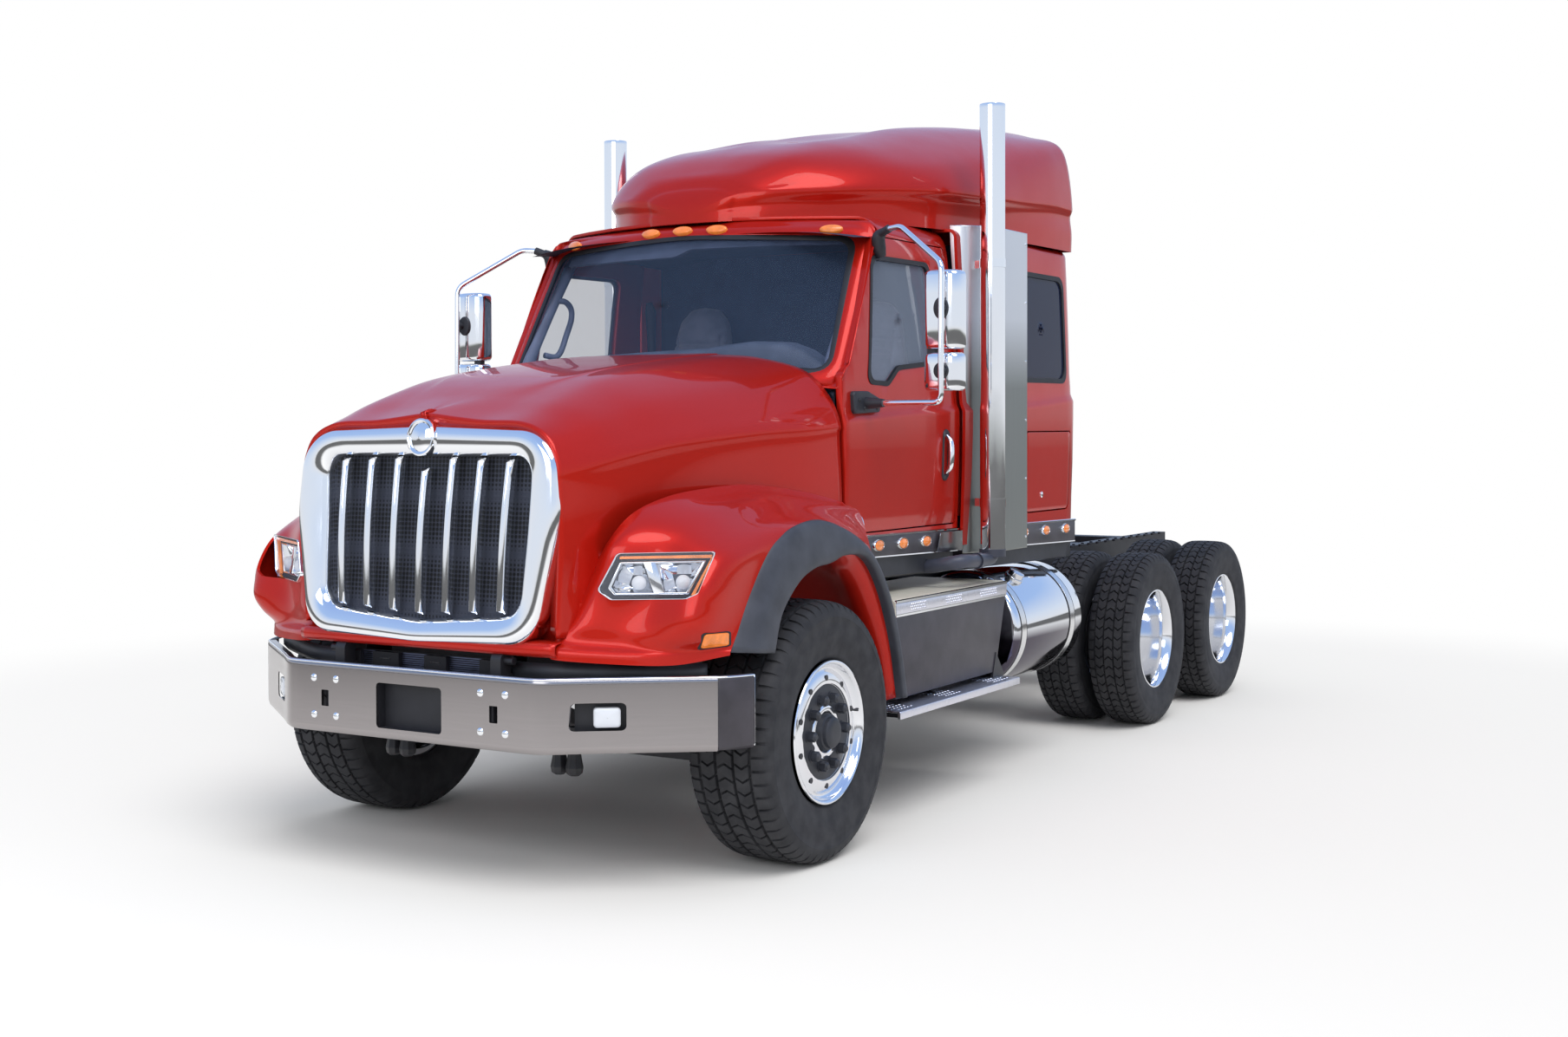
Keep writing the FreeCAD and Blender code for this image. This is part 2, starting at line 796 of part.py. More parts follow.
def steer_tyre(side):
    centre = steer_lip_x - steer_rim_width / 2
    shape = tyre(centre, steer_tyre_r, steer_tyre_width, rim_lip_r - rim_lip_thick)
    shape = shape.cut(rim_hollow(centre, steer_rim_width))
    shape.translate(Vector(0, axle_y, steer_tyre_r))
    return shape if side > 0 else mirrored(shape)


def rim_hollow(centre, width):
    inner = centre - width / 2
    outer = centre + width / 2
    left = rod(Vector(inner - width, 0, 0), Vector(inner + rim_lip_thick, 0, 0), rim_lip_r)
    right = rod(Vector(outer - rim_lip_thick, 0, 0), Vector(outer + width, 0, 0), rim_lip_r)
    return left.fuse(right)


def dual_rims(index, side):
    disc = drive_disc_x()
    inner_centre = drive_lip_x - drive_rim_width / 2 - dual_spacing
    low = inner_centre - drive_rim_width / 2
    seat = rim_lip_r - rim_lip_thick
    profile = [
        (disc + disc_wall, spindle_bore()), (disc + disc_wall, rim_barrel_r),
        (drive_lip_x, rim_lip_r - rim_wall), (drive_lip_x, rim_lip_r), (drive_lip_x - rim_lip_thick,
                                                                        rim_lip_r),
        (drive_lip_x - rim_lip_thick, seat), (low + rim_lip_thick, seat), (low + rim_lip_thick, rim_lip_r),
        (low, rim_lip_r), (low, rim_lip_r - rim_wall), (disc - disc_wall, rim_barrel_r),
        (disc - disc_wall, spindle_bore()),
    ]
    wheel = turned(profile)
    face = disc + disc_wall
    extras = [rod(Vector(face, 0, 0), Vector(face + drive_hub_length / 2, 0, 0), drive_hub_r)]
    for i in range(stud_count):
        angle = 2 * math.pi * i / stud_count
        y = stud_circle_r * math.cos(angle)
        z = stud_circle_r * math.sin(angle)
        extras.append(rod(Vector(face, y, z), Vector(face + stud_length, y, z), stud_r))
    wheel = joined([wheel] + extras)
    wheel.translate(Vector(0, station(first_drive_behind + index * tandem_spacing), drive_tyre_r))
    return wheel if side > 0 else mirrored(wheel)


def spindle_bore():
    return axle_spindle_r + bearing_gap


def dual_tyres(index, side):
    outer_centre = drive_lip_x - drive_rim_width / 2
    shapes = []
    for centre in (outer_centre, outer_centre - dual_spacing):
        shape = tyre(centre, drive_tyre_r, drive_tyre_width, rim_lip_r - rim_lip_thick)
        shape = shape.cut(rim_hollow(centre, drive_rim_width))
        shape.translate(Vector(0, station(first_drive_behind + index * tandem_spacing), drive_tyre_r))
        shapes.append(shape if side > 0 else mirrored(shape))
    return Part.makeCompound(shapes)


# Bumper and what shows below the hood

def offset_line(points, distance):
    moved = []
    last = len(points) - 1
    for i, (x, y) in enumerate(points):
        normals = []
        for a, b in ((max(i - 1, 0), max(i, 1)), (min(i, last - 1), min(i + 1, last))):
            run = math.hypot(points[b][0] - points[a][0], points[b][1] - points[a][1])
            normals.append(((points[a][1] - points[b][1]) / run, (points[b][0] - points[a][0]) / run))
        nx = normals[0][0] + normals[1][0]
        ny = normals[0][1] + normals[1][1]
        scale = 2 / (nx * nx + ny * ny)
        moved.append((x + nx * scale * distance, y + ny * scale * distance))
    return moved


def bumper_line():
    half = [(bumper_flat_half, station(-bumper_ahead)), (bumper_corner_x, station(-bumper_corner_ahead)),
            (bumper_end_x, station(-bumper_end_ahead))]
    return [(-x, y) for x, y in reversed(half)] + half


def front_bumper():
    line = bumper_line()
    sheet = prism_z(line + list(reversed(offset_line(line, bumper_sheet))), bumper_bottom, bumper_top)
    flange_line = list(reversed(offset_line(line, bumper_flange)))
    shapes = [sheet]
    for z in (bumper_bottom, bumper_top - bumper_sheet):
        shapes.append(prism_z(line + flange_line, z, z + bumper_sheet))
    bumper = joined(shapes)
    front = station(-bumper_ahead)
    recess = [(-plate_half_width, plate_bottom), (plate_half_width, plate_bottom),
              (plate_half_width, plate_top), (-plate_half_width, plate_top)]
    bumper = bumper.cut(prism_y(recess, front - overrun, front + overrun, bumper_edge_r))
    for side in (1, -1):
        x = side * tow_slot_x
        slot = [(x - tow_slot_width / 2, tow_slot_z - tow_slot_height / 2),
                (x + tow_slot_width / 2, tow_slot_z - tow_slot_height / 2),
                (x + tow_slot_width / 2, tow_slot_z + tow_slot_height / 2),
                (x - tow_slot_width / 2, tow_slot_z + tow_slot_height / 2)]
        bumper = bumper.cut(prism_y(slot, front - overrun, front + overrun, bumper_sheet))
        window = [(side * fog_inner_x, fog_bottom), (side * fog_outer_x, fog_bottom),
                  (side * fog_outer_x, fog_top), (side * fog_inner_x, fog_top)]
        bumper = bumper.cut(prism_y(window, front - overrun, station(-bumper_corner_ahead), bumper_edge_r))
    box_wall = bumper_sheet
    back = front + bumper_sheet + plate_depth
    tray = block(-plate_half_width - box_wall, plate_half_width + box_wall, front + bumper_sheet, back,
                 plate_bottom - box_wall, plate_top + box_wall)
    hollow = block(-plate_half_width, plate_half_width, front, back - box_wall, plate_bottom, plate_top)
    bumper = joined([bumper, tray.cut(hollow)])
    rail_end = station(-bumper_ahead + bumper_sheet)
    return bumper.cut(block(-frame_half_width, frame_half_width, rail_end, back + overrun,
                            bumper_top, bumper_top + overrun))


def bumper_y(x):
    share = (abs(x) - bumper_flat_half) / (bumper_corner_x - bumper_flat_half)
    return station(-bumper_ahead + share * (bumper_ahead - bumper_corner_ahead))


def fog_lamps():
    lamps = []
    angle = math.degrees(math.atan2(bumper_ahead - bumper_corner_ahead, bumper_corner_x - bumper_flat_half))
    x = fog_outer_x - fog_lamp_width * fog_lamp_share
    z = (fog_bottom + fog_top) / 2
    for side in (1, -1):
        lamp = block(-fog_lamp_width / 2, fog_lamp_width / 2, 0, fog_lamp_width / 2,
                     -fog_lamp_height / 2, fog_lamp_height / 2)
        lamp = lamp.makeFillet(bumper_sheet, lamp.Edges)
        bracket = block(-fog_lamp_width / 2, fog_lamp_width / 2, fog_lamp_width / 2 - 2 * overrun,
                        fog_lamp_width / 2, -fog_lamp_height / 2, (bumper_top - bumper_sheet) - z)
        lamp = joined([lamp, bracket])
        lamp.rotate(Vector(0, 0, 0), Vector(0, 0, 1), side * angle)
        lamp.translate(Vector(side * x, bumper_y(x) + fog_lamp_seat, z))
        lamps.append(lamp)
    return Part.makeCompound(lamps)


def front_valance():
    line = bumper_line()
    inner = offset_line(line, bumper_flange - bumper_sheet)
    back = list(reversed(offset_line(line, bumper_flange)))
    wall = prism_z(inner + back, bumper_top, bumper_top + valance_height)
    ends = block(-bumper_end_x - overrun, bumper_end_x + overrun, station(-bumper_corner_ahead) - overrun,
                 station(0), 0, frame_top)
    return wall.cut(ends)


def radiator():
    y = station(-radiator_ahead)
    core = block(-radiator_half_width, radiator_half_width, y, y + radiator_depth, frame_top + seat_gap,
                 radiator_top)
    low = block(-frame_half_width + rail_flange + overrun, frame_half_width - rail_flange - overrun, y,
                y + radiator_depth, radiator_bottom, frame_top + seat_gap)
    return joined([core, low])


# Hood, fenders and grille

def hood_loft(inset, front_cut):
    sections = []
    shift = [front_cut, 0.0, 0.0, 0.0, -overrun if inset else 0.0]
    for share, points, ahead in zip(hood_station_shares, hood_section_shares, shift):
        y = station(-hood_front_ahead + share * hood_length - ahead)
        half = scaled(points, hood_half_width, hood_rise, hood_base)
        if inset:
            half = inset_half(half, inset)
        sections.append(mirrored_section(half, y))
    return Part.makeLoft(sections, True, False)


def inset_half(half, inset):
    moved = []
    for i, (x, z) in enumerate(half):
        share = i / (len(half) - 1)
        side_share = max(0.0, min(1.0, inset_side_shares[0] - inset_side_shares[1] * share))
        top_share = max(0.0, min(1.0, inset_top_shares[1] * share - inset_top_shares[0]))
        moved.append((x - inset * side_share, z - inset * top_share))
    moved[0] = (moved[0][0], moved[0][1] - overrun)
    return moved


def fender_loft(inset):
    sections = []
    scale = hood_half_width
    for i, (share, points) in enumerate(zip(fender_station_shares, fender_section_shares)):
        x = share * scale
        outline = [(station(y * scale), z * scale) for y, z in points]
        if inset:
            x = min(x, fender_station_shares[-1] * scale - inset) if i else x - overrun
            moves = zip(outline, fender_inset_front_shares, fender_inset_top_shares)
            outline = [(y + inset * ahead, z - inset * down) for (y, z), ahead, down in moves]
            outline[-1] = (outline[-1][0] + overrun, outline[-1][1])
        base = outline[0][1]
        curve = spline([Vector(x, y, z) for y, z in outline])
        corner = Vector(x, outline[-1][0], base)
        wire = Part.Wire([curve, Part.makeLine(Vector(x, *outline[-1]), corner),
                          Part.makeLine(corner, Vector(x, *outline[0]))])
        sections.append(wire)
    return Part.makeLoft(sections, True, False)


def arch_outline(shares, grow=0.0):
    scale = hood_half_width
    points = [(station(y * scale), z * scale) for y, z in shares]
    return offset_line(points, grow)


def arch_prism(shares, x0, x1, grow=0.0):
    return spline_prism_x(arch_outline(shares, grow), x0, x1)


def liner():
    outer = arch_prism(flare_inner_shares, liner_inner_x, flare_inner_x, liner_wall)
    inner = arch_prism(flare_inner_shares, liner_inner_x, flare_inner_x, 0.0)
    low = hood_base + overrun
    band = outer.cut(inner)
    keep = block(liner_inner_x, flare_inner_x, station(-hood_front_ahead), station(hood_rear_behind), low,
                 cab_roof)
    return band.common(keep)


def hood_shell():
    fender = fender_loft(0.0)
    fender_room = fender_loft(hood_wall)
    body = hood_loft(0.0, 0.0)
    body_room = hood_loft(hood_wall, overrun)
    outer = body.fuse([fender, mirrored(fender)])
    shell = outer.cut([body_room, fender_room, mirrored(fender_room)])
    cutters = []
    for side in (1, -1):
        cutter = arch_prism(flare_outer_shares, liner_inner_x, flare_outer_x + overrun, seat_gap)
        low = block(liner_inner_x, flare_outer_x + overrun,
                    station(flare_outer_shares[0][0] * hood_half_width),
                    station(flare_outer_shares[-1][0] * hood_half_width), 0, hood_base + overrun)
        cutters.append(cutter.fuse(low) if side > 0 else mirrored(cutter.fuse(low)))
    shell = shell.cut(cutters)
    shell = shell.fuse(both_sides([liner()]))
    shell = shell.cut(both_sides([lamp_pocket()]))
    shell = shell.cut([cowl_cutter(-cowl_gap), cab_solid(-cowl_gap), lean(grille_frame_solid())])
    reach = hood_half_width * 2
    shell = shell.cut(block(-reach, reach, station(hood_rear_behind), station(cab_rear_behind), 0, cab_roof))
    shell = shell.cut(block(-reach, reach, station(-bumper_ahead), station(cab_rear_behind), 0, hood_skirt))
    biggest = sorted(shell.Solids, key=lambda solid: -solid.Volume)[0]
    return joined([biggest] + hood_hinge())


def hood_hinge():
    y = station(-hood_bar_ahead)
    half = hood_bar_size / 2
    z = grille_bottom + hood_bar_size
    bar = block(-hood_bar_half, hood_bar_half, y - half, y + half, z - half, z + half)
    x0 = frame_half_width + seat_gap
    x1 = x0 + hood_arm_wall
    pivot_y = station(-hood_pivot_ahead)
    eye = rod(Vector(x0, pivot_y, hood_pivot_z), Vector(x1, pivot_y, hood_pivot_z), hood_lug_r)
    web = prism_x([(pivot_y, hood_pivot_z - half), (y + half, hood_pivot_z - half), (y + half, z + half),
                   (y - half, z + half), (y - half, hood_pivot_z + half), (pivot_y,
                                                                           hood_pivot_z + half)], x0, x1)
    bore = rod(Vector(x0 - overrun, pivot_y, hood_pivot_z), Vector(x1 + overrun, pivot_y, hood_pivot_z),
               hood_pin_r + bearing_gap)
    arms = both_sides([joined([eye, web]).cut(bore)])
    return [bar] + arms


def lamp_face(grow):
    skew = lamp_slant / 2
    inner = lamp_inner_x - grow
    outer = lamp_outer_x + grow
    points = [(inner - skew, lamp_bottom - grow), (outer - skew * 2, lamp_bottom - grow),
              (outer, lamp_top + grow), (inner + skew, lamp_top + grow)]
    return points


def lamp_pocket():
    rear = station(-lamp_outer_ahead + 2 * lamp_depth)
    return prism_y(lamp_face(seat_gap), station(-hood_front_ahead), rear, lamp_corner_r)


def headlamp():
    fender = fender_loft(0.0)
    rear = station(-lamp_outer_ahead + 2 * lamp_depth)
    body = prism_y(lamp_face(0.0), station(-hood_front_ahead), rear, lamp_corner_r)
    back = fender.copy()
    back.translate(Vector(-lamp_back_shift, lamp_depth, 0))
    return body.common(fender).cut(back)


def fender_flare():
    outer = [Vector(flare_inner_x, y, z) for y, z in arch_outline(flare_outer_shares)]
    inner = [Vector(flare_inner_x, y, z) for y, z in arch_outline(flare_inner_shares)]
    ends = [Part.makeLine(outer[0], inner[0]), Part.makeLine(outer[-1], inner[-1])]
    wire = Part.Wire(Part.sortEdges([spline(outer), spline(inner)] + ends)[0])
    return Part.Face(wire).extrude(Vector(flare_outer_x - flare_inner_x, 0, 0))


def lean(shape):
    shape.rotate(Vector(0, station(-grille_ahead), grille_pivot_z), Vector(1, 0, 0), -grille_lean)
    return shape


def grille_frame_solid():
    top = grille_bottom + grille_rise
    half = [(0.0, grille_bottom), (grille_corner_x, grille_bottom + grille_corner_rise),
            (grille_waist_x, grille_bottom + grille_waist_rise), (grille_top_x,
                                                                  top - grille_top_drop), (0.0, top)]
    radii = [grille_middle_r, grille_bottom_r, grille_waist_r, grille_top_r, grille_middle_r]
    outline = half + [(-x, z) for x, z in reversed(half[1:-1])]
    radii = radii + list(reversed(radii[1:-1]))
    y = station(-grille_ahead)
    solid = prism_y(outline, y, y + grille_depth, radii)
    front_edges = [edge for edge in solid.Edges if edge.BoundBox.YMax < y + grille_round / 2]
    return solid.makeFillet(grille_round, front_edges)


def opening_prism(grow):
    y = station(-grille_ahead)
    top = opening_half_top + grow
    low = opening_half_bottom + grow
    points = [(-low, opening_bottom - grow), (low, opening_bottom - grow),
              (top, opening_top + grow), (-top, opening_top + grow)]
    return prism_y(points, y - overrun, y + grille_depth + overrun, opening_corner_r)


def grille_surround():
    return lean(grille_frame_solid().cut(opening_prism(0.0)))


def grille_bars():
    y = station(-grille_ahead) + bar_recess
    bars = []
    for i in range(bar_count):
        share = 2 * i / (bar_count - 1) - 1
        top = share * bar_reach * bar_lean_share
        low = share * bar_reach
        half = bar_width / 2
        points = [(low - half, opening_bottom + seat_gap), (low + half, opening_bottom + seat_gap),
                  (top + half, opening_top - seat_gap), (top - half, opening_top - seat_gap)]
        bar = prism_y(points, y, y + bar_depth)
        edges = [edge for edge in bar.Edges if edge.BoundBox.YMax < y + seat_gap and edge.BoundBox.ZLength > bar_depth]
        bars.append(bar.makeFillet(bar_round, edges))
    rail_z = (opening_bottom + opening_top) / 2
    cross = block(-opening_half_bottom, opening_half_bottom, y + bar_depth, y + bar_depth + mesh_wall,
                  rail_z - bar_width / 2, rail_z + bar_width / 2)
    return lean(joined(bars + [cross]))


def grille_mesh():
    y = station(-grille_ahead) + mesh_recess
    top = opening_half_top - seat_gap
    low = opening_half_bottom - seat_gap
    points = [(-low, opening_bottom + seat_gap), (low, opening_bottom + seat_gap),
              (top, opening_top - seat_gap), (-top, opening_top - seat_gap)]
    return lean(prism_y(points, y, y + mesh_wall, opening_corner_r))


# Cab

def cab_section(inset):
    side = cab_half_width - inset
    lean_in = side - cab_lean_in
    roof = cab_roof - inset
    floor = cab_floor + (floor_wall if inset else 0.0)
    return [(-side, floor), (side, floor), (side, cab_belt), (lean_in, roof), (-lean_in, roof),
            (-side, cab_belt)]


def roof_rounded(inset, y0, y1):
    outline = cab_section(inset)
    body = prism_y(outline, y0, y1)
    top = cab_roof - inset
    edges = [edge for edge in body.Edges
             if edge.BoundBox.ZMin > top - seat_gap and edge.BoundBox.YLength > edge.BoundBox.XLength]
    return body.makeFillet(cab_roof_r, edges)


def side_skin(outer, inner):
    front = station(cab_front_behind)
    rear = station(cab_rear_behind)
    return roof_rounded(outer, front, rear).cut(roof_rounded(inner, front - overrun, rear + overrun))


def screen_arc(shift, z_share):
    rise = screen_top_z - screen_base_z
    z = screen_base_z + z_share * rise
    middle = station(screen_base_behind + z_share * (screen_top_behind - screen_base_behind)) + shift
    side = cab_half_width + overrun
    sag = screen_bow * (side / screen_half_width) ** 2
    return Part.Arc(Vector(-side, middle + sag, z), Vector(0, middle, z),
                    Vector(side, middle + sag, z)).toShape()


def front_of_screen(shift, low_share, high_share):
    arc_low = screen_arc(shift, low_share)
    ahead = 2 * cab_half_width
    start = arc_low.Vertexes[0].Point
    end = arc_low.Vertexes[-1].Point
    line = Part.makePolygon([end, end - Vector(0, ahead, 0), start - Vector(0, ahead, 0), start])
    face = Part.Face(Part.Wire([arc_low] + line.Edges))
    rise = (high_share - low_share) * (screen_top_z - screen_base_z)
    slide = (high_share - low_share) * (screen_top_behind - screen_base_behind)
    return face.extrude(Vector(0, slide, rise))


def cowl_cutter(shift):
    side = cab_half_width + overrun * 4
    middle = station(screen_base_behind) + shift
    rear = station(hood_rear_behind) + shift + cowl_gap
    sag = screen_bow * (side / screen_half_width) ** 2
    arc = Part.Arc(Vector(-side, middle + sag, cab_belt - cab_wall * 2),
                   Vector(0, middle, cab_belt - cab_wall * 2),
                   Vector(side, middle + sag, cab_belt - cab_wall * 2)).toShape()
    start = arc.Vertexes[0].Point
    end = arc.Vertexes[-1].Point
    back = Vector(0, cab_half_width, 0)
    line = Part.makePolygon([end, end + back, start + back, start])
    face = Part.Face(Part.Wire([arc] + line.Edges))
    return face.extrude(Vector(0, 0, cab_roof))


def cab_solid(inset):
    front = station(cab_front_behind) + inset
    rear = station(cab_rear_behind) + (overrun if inset else 0.0)
    body = roof_rounded(inset, station(screen_base_behind) + inset, rear)
    low_front = block(-cab_half_width - overrun, cab_half_width + overrun, station(0), front, 0,
                      cab_belt - cab_wall)
    body = body.cut(low_front)
    high = (cab_roof + overrun - screen_base_z) / (screen_top_z - screen_base_z)
    low = (cab_belt - cab_wall - screen_base_z) / (screen_top_z - screen_base_z)
    return body.cut(front_of_screen(inset, low, high))


def screen_band(inset, outer_shift, inner_shift):
    low = inset / (screen_top_z - screen_base_z)
    high = 1 - low
    band = front_of_screen(inner_shift, low, high).cut(front_of_screen(outer_shift, low - high, 2 * high))
    half = screen_half_width - inset * screen_trim_share
    trim = [(-half, screen_base_z - overrun), (half, screen_base_z - overrun),
            (half - screen_inset, screen_top_z + overrun), (-half + screen_inset, screen_top_z + overrun)]
    return band.common(prism_y(trim, station(0), station(cab_rear_behind)))


def door_outline(grow):
    top_front = door_top_front_behind - grow
    return [
        (station(door_front_behind - grow), door_bottom - grow), (station(door_rear_behind + grow),
                                                                  door_bottom - grow),
        (station(door_rear_behind + grow), door_top + grow), (station(top_front), door_top + grow),
        (station(door_shoulder_behind - grow), door_shoulder_z + grow / 2),
        (station(door_front_behind - grow), door_shoulder_z - cab_wall + grow / 2),
    ]


def cab_shell():
    shell = cab_solid(0.0).cut(cab_solid(cab_wall))
    band = side_skin(-overrun, door_wall + 2 * shut_gap)
    opening = band.common(prism_x(door_outline(shut_gap), cab_half_width / 2, cab_half_width + overrun))
    shell = shell.cut(both_sides([opening]))
    shell = shell.cut(screen_hole())
    shell = shell.fuse(both_sides(door_lugs()))
    return shell.removeSplitter()


def door_hinge_point():
    return cab_half_width - hinge_inset, station(door_front_behind) + hinge_back


def door_lugs():
    x, y = door_hinge_point()
    lugs = []
    for z in door_hinge_z:
        lug = block(cab_half_width - door_wall - 3 * shut_gap, x, y - hinge_r, y + hinge_r,
                    z + seat_gap, z + hinge_height - seat_gap)
        knuckle_end = rod(Vector(x, y, z + seat_gap), Vector(x, y, z + hinge_height - seat_gap), hinge_r)
        bore = rod(Vector(x, y, z), Vector(x, y, z + hinge_height), hinge_pin_r + bearing_gap)
        lugs.append(joined([lug, knuckle_end]).cut(bore))
    return lugs


def door_notches():
    x, y = door_hinge_point()
    shapes = []
    for z in door_hinge_z:
        room = block(0, x + hinge_r + hinge_play, y - hinge_back - overrun, y + hinge_r + hinge_play,
                     z, z + hinge_height)
        pin = rod(Vector(x, y, z), Vector(x, y, z + hinge_height), hinge_pin_r)
        shapes.append(room.cut(pin))
    return shapes


def screen_hole():
    return screen_band(screen_inset / 2 - seat_gap, -cab_wall, cab_wall * 3)


def windshield():
    return screen_band(screen_inset / 2, 0.0, screen_wall)


def door_solid(side):
    skin = side_skin(0.0, door_wall).common(cab_solid(0.0))
    panel = skin.common(prism_x(door_outline(0.0), cab_half_width / 2, cab_half_width + overrun))
    panel = panel.cut(door_notches())
    return panel if side > 0 else mirrored(panel)


def window_outline():
    length = door_rear_behind - door_front_behind
    rise = door_top - door_bottom
    return [(station(door_front_behind + y * length), door_bottom + z * rise) for y, z in window_shares]


def door_panel(side):
    panel = door_solid(side)
    reach = cab_half_width + overrun
    low = cab_half_width / 2
    panel = panel.cut(prism_x(window_outline(), side * low, side * reach, window_r))
    x = side * cab_half_width
    grip = block(min(x, x + side * handle_proud), max(x, x + side * handle_proud),
                 station(handle_behind) - handle_width / 2, station(handle_behind) + handle_width / 2,
                 handle_bottom, handle_bottom + handle_height)
    return joined([panel, grip])


def door_glass(side):
    middle = cab_solid((door_wall - glass_wall) / 2).cut(cab_solid((door_wall + glass_wall) / 2))
    reach = cab_half_width + overrun
    low = cab_half_width / 2
    return middle.common(prism_x(window_outline(), side * low, side * reach, window_r))


def tube_path(points, radius):
    shapes = []
    for i in range(len(points) - 1):
        shapes.append(rod(points[i], points[i + 1], radius))
    for point in points[1:-1]:
        shapes.append(Part.makeSphere(radius, point))
    return joined(shapes)


def mirror(side):
    out = mirror_outer_x
    y = station(mirror_behind)
    foot_x = cab_half_width + seat_gap
    top_x = door_top_x() + seat_gap
    points = [
        Vector(foot_x, station(mirror_foot_behind), mirror_arm_bottom), Vector(out, y, mirror_arm_bottom),
        Vector(out, y, mirror_outer_top),
        Vector((out + cab_half_width) / 2, station(mirror_head_behind), mirror_arm_top),
        Vector(top_x, station(door_top_front_behind + cab_wall), mirror_arm_top - cab_wall),
    ]
    arm = tube_path(points, mirror_tube_r)
    shapes = [arm]
    for low, high in ((mirror_head_bottom, mirror_head_top), (mirror_low_bottom, mirror_low_top)):
        outline = [(mirror_head_x - mirror_head_half_x, low), (mirror_head_x + mirror_head_half_x, low),
                   (mirror_head_x + mirror_head_half_x, high), (mirror_head_x - mirror_head_half_x, high)]
        start = y - mirror_tube_r
        shapes.append(prism_y(outline, start, start + mirror_head_deep, mirror_head_half_x / 3))
    foot = block(foot_x, foot_x + mirror_tube_r, station(mirror_behind - mirror_head_half_x),
                 station(mirror_foot_behind) + mirror_head_half_x, mirror_arm_bottom - mirror_tube_r * 3,
                 mirror_arm_bottom + mirror_tube_r * 3)
    shapes.append(foot)
    whole = joined(shapes)
    skin = cab_solid(-seat_gap)
    whole = whole.cut(skin)
    return whole if side > 0 else mirrored(whole)


def door_top_x():
    share = (mirror_arm_top - cab_wall - cab_belt) / (cab_roof - cab_belt)
    return cab_half_width - cab_lean_in * share


# Sleeper and roof fairing

def sleeper_solid(inset):
    front = station(cab_rear_behind) - (overrun if inset else 0.0)
    rear = station(sleeper_rear_behind) - inset
    side = sleeper_half_width - inset
    floor = sleeper_base + (floor_wall if inset else 0.0)
    roof = sleeper_roof - inset
    lean_in = side - cab_lean_in
    outline = [(-side, floor), (side, floor), (side, cab_belt), (lean_in, roof), (-lean_in, roof),
               (-side, cab_belt)]
    body = prism_y(outline, front, rear)
    rear_edges = [edge for edge in body.Edges if edge.BoundBox.YMin > rear - seat_gap
                  and edge.BoundBox.ZLength > cab_wall]
    body = body.makeFillet(sleeper_rear_r, rear_edges)
    return body


def sleeper_shell():
    shell = sleeper_solid(0.0).cut(sleeper_solid(cab_wall))
    low = sleeper_half_width - cab_wall - cab_lean_in - cab_wall
    high = sleeper_half_width + overrun
    cutters = [prism_x(side_window_outline(0.0), low, high, side_window_r)]
    cutters.append(prism_x(hatch_outline(hatch_gap), low, high, hatch_r))
    for cutter in cutters:
        shell = shell.cut([cutter, mirrored(cutter)])
    shell = shell.fuse(both_sides(hatch_lugs()))
    return shell.removeSplitter()


def hatch_hinge_point():
    return sleeper_half_width - hatch_pin_inset, hatch_top - hinge_back


def hatch_lugs():
    x, z = hatch_hinge_point()
    inner = sleeper_half_width - cab_wall - shut_gap - hinge_inset
    header = block(inner, sleeper_half_width - cab_wall - shut_gap, station(hatch_front), station(hatch_rear),
                   z - hinge_r, hatch_top + 3 * hatch_gap)
    cap = block(inner, sleeper_half_width - cab_wall / 2, station(hatch_front), station(hatch_rear),
                hatch_top + 2 * hatch_gap, hatch_top + 3 * hatch_gap)
    shapes = [joined([header, cap])]
    for y in hatch_hinge_places():
        lug = block(inner, x, y + seat_gap, y + hinge_height - seat_gap, z - hinge_r, z + hinge_r)
        end = rod(Vector(x, y + seat_gap, z), Vector(x, y + hinge_height - seat_gap, z), hinge_r)
        bore = rod(Vector(x, y, z), Vector(x, y + hinge_height, z), hinge_pin_r + bearing_gap)
        shapes.append(joined([lug, end]).cut(bore))
    return shapes


def hatch_hinge_places():
    length = hatch_rear - hatch_front
    return [station(hatch_front + length * share) - hinge_height / 2 for share in hatch_hinge_shares]


def hatch_notches():
    x, z = hatch_hinge_point()
    shapes = []
    for y in hatch_hinge_places():
        room = block(0, x + hinge_r + hinge_play, y, y + hinge_height, z - hinge_r - hinge_play,
                     hatch_top + overrun)
        shapes.append(room.cut(rod(Vector(x, y, z), Vector(x, y + hinge_height, z), hinge_pin_r)))
    return shapes


def side_window_outline(grow):
    front = station(side_window_front) - grow
    rear = station(side_window_rear) + grow
    return [(front, side_window_bottom - grow), (rear, side_window_bottom - grow),
            (rear, side_window_top + grow), (front, side_window_top + grow)]


def hatch_outline(grow):
    front = station(hatch_front) - grow
    rear = station(hatch_rear) + grow
    return [(front, hatch_bottom - grow), (rear, hatch_bottom - grow),
            (rear, hatch_top + grow), (front, hatch_top + grow)]


def hatch(side):
    low = sleeper_half_width - cab_wall - cab_lean_in - cab_wall
    skin = sleeper_solid(0.0).cut(sleeper_solid(cab_wall))
    shape = skin.common(prism_x(hatch_outline(0.0), low, sleeper_half_width + overrun, hatch_r))
    shape = shape.cut(hatch_notches())
    return shape if side > 0 else mirrored(shape)


def sleeper_glass():
    low = sleeper_half_width - cab_wall - cab_lean_in - cab_wall
    middle = sleeper_solid((cab_wall - glass_wall) / 2).cut(sleeper_solid((cab_wall + glass_wall) / 2))
    pane = middle.common(prism_x(side_window_outline(0.0), low, sleeper_half_width + overrun, side_window_r))
    return pane


def cab_glass():
    return Part.makeCompound([windshield()] + both_sides([sleeper_glass()]))


